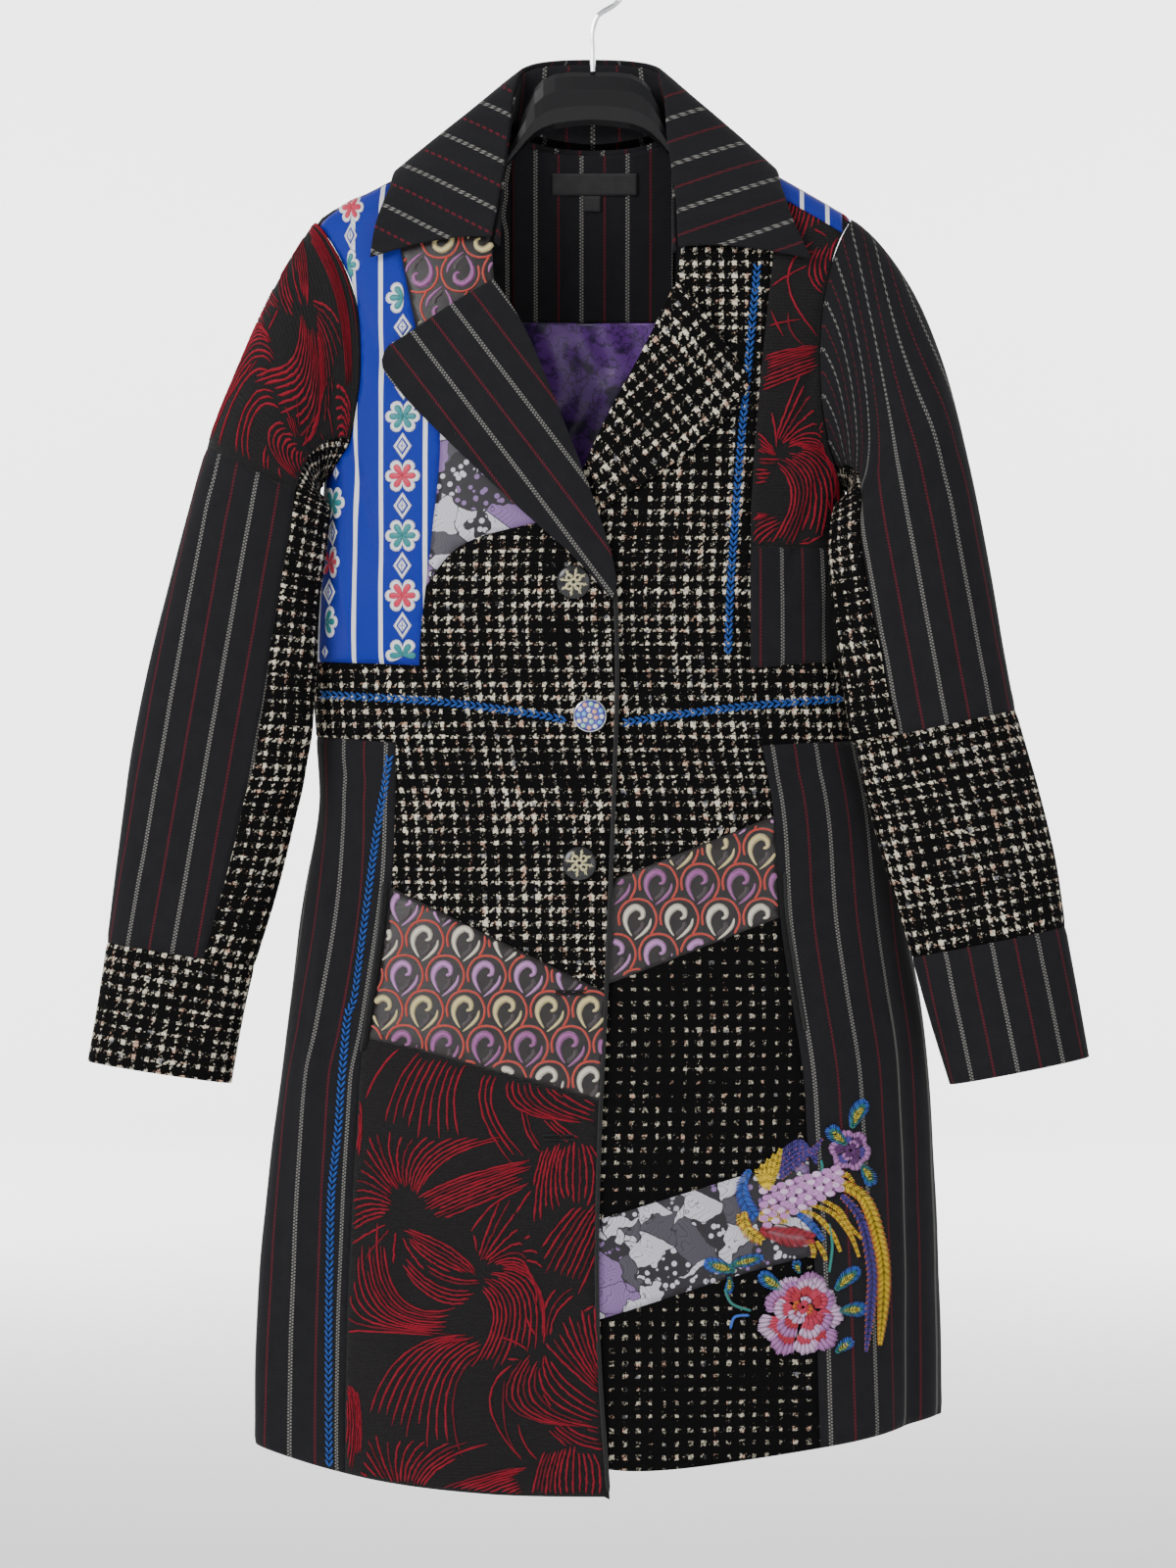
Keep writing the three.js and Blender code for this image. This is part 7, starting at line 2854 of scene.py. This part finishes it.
@dataclass
class Button:
    """A domed button with a stitched rosette or a mosaic."""

    node: str
    x: float
    drop: float
    trim: Trim
    radius: float = 11.5
    thick: float = 4.0

    def surface(self, dx: float, dd: float, lift: float) -> Vector:
        """Place on the dome, from its middle.

        Args:
            dx: How far across from the middle.
            dd: How far down from the middle.
            lift: How far off the surface.

        Returns:
            The place.
        """
        turn = Skin.turn(self.x, self.drop)
        out = Skin.normal(turn, self.drop)
        down = (Vector((0, 0, -1)) - out * out.dot(Vector((0, 0, -1)))).normalized()
        right = out.cross(down)
        if right.x < 0:
            right = -right
        seat = Skin.place(turn, self.drop, -0.6)
        fall = (math.hypot(dx, dd) / self.radius) ** 2
        return seat + right * dx + down * dd + out * (self.thick * (1 - 0.42 * fall) + lift)

    def build(self) -> None:
        """Model the dome and lay its trim."""
        dome = self.build_dome()
        slot = "black_button" if self.trim is Trim.ROSETTE else "mosaic_button"
        dome.data.materials.append(CLOTHS.get("button_black" if self.trim is Trim.ROSETTE else "plating"))
        dress(dome, slot, [self.node])
        relief = Relief(self.surface)
        if self.trim is Trim.ROSETTE:
            self.lay_rosette(relief)
        else:
            self.lay_mosaic(relief)
        relief.finish(self.node + "_trim", slot)

    def build_dome(self) -> bpy.types.Object:
        """Model the dome from a disc, in steps that draw in as they rise.

        Returns:
            The dome.
        """
        bpy.ops.object.select_all(action="DESELECT")
        bpy.ops.mesh.primitive_cylinder_add(vertices=56, radius=self.radius * MM, depth=1.5 * MM,
                                            location=(0, 0, 0.75 * MM))
        dome = bpy.context.object
        dome.name = self.node + "_dome"
        for polygon in dome.data.polygons:
            polygon.select = polygon.normal.z > 0.9
        for edge in dome.data.edges:
            edge.select = False
        for vertex in dome.data.vertices:
            vertex.select = vertex.co.z > 1.4 * MM
        bpy.ops.object.mode_set(mode="EDIT")
        bpy.ops.mesh.select_mode(type="FACE")
        for inset, rise in ((0.5, 0.55), (1.4, 0.75), (2.8, 0.75), (3.4, 0.35)):
            bpy.ops.mesh.inset(thickness=inset * MM, depth=0)
            bpy.ops.transform.translate(value=(0, 0, rise * MM))
        bpy.ops.object.mode_set(mode="OBJECT")
        bevel = dome.modifiers.new("rim", "BEVEL")
        bevel.width, bevel.segments, bevel.limit_method = 0.35 * MM, 2, "ANGLE"
        bpy.ops.object.modifier_apply(modifier=bevel.name)
        bpy.ops.object.shade_smooth()
        turn = Skin.turn(self.x, self.drop)
        out = Skin.normal(turn, self.drop)
        dome.rotation_euler = out.to_track_quat("Z", "Y").to_euler()
        dome.location = to_scene(Skin.place(turn, self.drop, -0.6))
        bpy.ops.object.transform_apply(location=True, rotation=True, scale=True)
        return dome

    def lay_rosette(self, relief: Relief) -> None:
        """Lay four cream rings and crossed stitches.

        Args:
            relief: Where the work is laid.
        """
        cream = CLOTHS.yarn("rosette_cream", (0.70, 0.64, 0.36, 1), roughness=0.4)
        for k in range(8):
            a = math.radians(45 * k + 12)
            c, s = math.cos(a), math.sin(a)
            relief.stitch((3.5 * c, 3.5 * s), (9.6 * c, 9.6 * s), 1.5, cream, 0.1, 1.0)
            side = 1.3 if k % 2 else -1.3
            relief.stitch((7.2 * c + side * s, 7.2 * s - side * c),
                          (8.2 * c - side * s, 8.2 * s + side * c), 1.0, cream, 0.5, 0.8)
        for cx, cd in ((-2.9, -2.9), (2.9, -2.9), (2.9, 2.9), (-2.9, 2.9), (0, 0)):
            ring = [(cx + 2.0 * math.cos(a / 2), cd + 2.0 * math.sin(a / 2)) for a in range(14)]
            relief.yarn(ring, 1.7, 1.3, cream, 0.4)

    def lay_mosaic(self, relief: Relief) -> None:
        """Lay rings of small glossy stones round a middle one.

        Args:
            relief: Where the work is laid.
        """
        tones = [("stone_cream", (0.72, 0.66, 0.45, 1)), ("stone_peach", (0.72, 0.38, 0.26, 1)),
                 ("stone_sky", (0.16, 0.42, 0.72, 1)), ("stone_mint", (0.30, 0.60, 0.50, 1)),
                 ("stone_white", (0.75, 0.75, 0.74, 1))]
        stones = [CLOTHS.yarn(name, color, roughness=0.15, sheen=0.0, vary=0.1) for name, color in tones]
        ground = CLOTHS.yarn("stone_ground", (0.10, 0.10, 0.50, 1), roughness=0.2, sheen=0.0)
        relief.pad([(10.4 * math.cos(a / 4.46), 10.4 * math.sin(a / 4.46)) for a in range(28)], 0.0, ground,
                   0.12)
        for ring, (count, reach, size) in enumerate(((1, 0, 1.9), (6, 4.2, 1.75), (12, 8.1, 1.75))):
            for k in range(count):
                a = 2 * math.pi * k / count + ring * 0.3
                cx, cd = reach * math.cos(a), reach * math.sin(a)
                outline = [(cx + size * math.cos(b * 0.785 + a), cd + size * math.sin(b * 0.785 + a))
                           for b in range(8)]
                relief.pad(outline, 0.7, stones[(k * 2 + ring) % 5], 0.2)


class Studio:
    """The pale floor, the soft lights and the camera in front."""

    distance: float = 3.4
    frame_height: float = 1600 / 1.5 * MM
    middle: Pair = (-3.3 * MM, -570.3 * MM)
    plane: float = -0.030
    sensor: float = 36.0

    def build(self) -> None:
        """Set up floor, backdrop, lights and camera."""
        self.build_floor()
        self.build_lights()
        self.build_camera()

    def build_floor(self) -> None:
        """Make a floor that sweeps up into a backdrop far behind the coat."""
        sweep = [(-6.0, -1.3)] + [(7.0 + math.sin(a) * 2.0, 0.7 - math.cos(a) * 2.0)
                                  for a in (math.radians(9 * k) for k in range(11))] + [(9.0, 6.0)]
        verts, faces = [], []
        for y, z in sweep:
            verts += [(-9.0, y, z), (9.0, y, z)]
        for i in range(len(sweep) - 1):
            faces.append((2 * i, 2 * i + 1, 2 * i + 3, 2 * i + 2))
        mesh = bpy.data.meshes.new("floor")
        mesh.from_pydata(verts, [], faces)
        mesh.polygons.foreach_set("use_smooth", [True] * len(mesh.polygons))
        floor = bpy.data.objects.new("floor", mesh)
        bpy.context.scene.collection.objects.link(floor)
        g = Graph("floor_paint")
        mesh.materials.append(g.finish((0.93, 0.93, 0.93, 1), 0.9, specular=0.1))

    def build_lights(self) -> None:
        """Place soft lights round the coat and on the backdrop, and a pale sky."""
        coat, wall = Vector((0.0, -0.03, -0.57)), Vector((0.0, 9.0, -0.8))
        rows = [("key", (-1.8, -1.9, 0.9), coat, 1.3, 74), ("fill", (2.0, -2.4, -0.2), coat, 1.8, 19),
                ("low", (0.2, -2.6, -1.1), coat, 1.6, 8), ("rear_left", (-2.2, 2.0, 0.9), coat, 1.6, 34),
                ("rear_right", (2.2, 2.0, 0.9), coat, 1.6, 34),
                ("wall_left", (-3.4, 4.6, 1.2), wall, 3.0, 560),
                ("wall_right", (3.4, 4.6, 1.2), wall, 3.0, 560)]
        for name, place, target, size, power in rows:
            light = bpy.data.lights.new(name, "AREA")
            light.size = size
            light.energy = power
            lamp = bpy.data.objects.new(name, light)
            lamp.location = place
            lamp.rotation_euler = (target - Vector(place)).to_track_quat("-Z", "Y").to_euler()
            bpy.context.scene.collection.objects.link(lamp)
        world = bpy.data.worlds.new("soft_sky")
        world.use_nodes = True
        sky = world.node_tree.nodes["Background"]
        sky.inputs[0].default_value = (1, 1, 1, 1)
        sky.inputs[1].default_value = 0.62
        bpy.context.scene.world = world

    def build_camera(self) -> None:
        """Place the camera straight in front, as far as a long lens stands."""
        camera = bpy.data.cameras.new("camera")
        camera.sensor_fit = "VERTICAL"
        camera.sensor_height = self.sensor
        camera.lens = self.sensor * self.distance / self.frame_height
        camera.clip_start = 0.1
        camera.clip_end = 30
        holder = bpy.data.objects.new("camera", camera)
        bpy.context.scene.collection.objects.link(holder)
        holder.location = (self.middle[0], self.plane - self.distance, self.middle[1])
        holder.rotation_euler = (math.pi / 2, 0, 0)
        bpy.context.scene.camera = holder


def main() -> None:
    """Build the coat, the hanger and the studio in order."""
    logging.basicConfig(level=logging.INFO, format="%(message)s")
    random.seed(11)
    Studio().build()
    Fronts().build()
    sleeves = make_sleeves()
    Collar().build()
    RIGHT_LAPEL.build()
    LEFT_LAPEL.build()
    Inside().build()
    Hanger().build()
    ShoulderBraid().build()
    Motifs().build(sleeves)
    Embroidery().build()
    for button in (Button("button_1", -13, 434, Trim.ROSETTE), Button("button_2", -2, 524, Trim.MOSAIC),
                   Button("button_3", -9, 624, Trim.ROSETTE)):
        button.build()


if __name__ == "__main__":
    main()
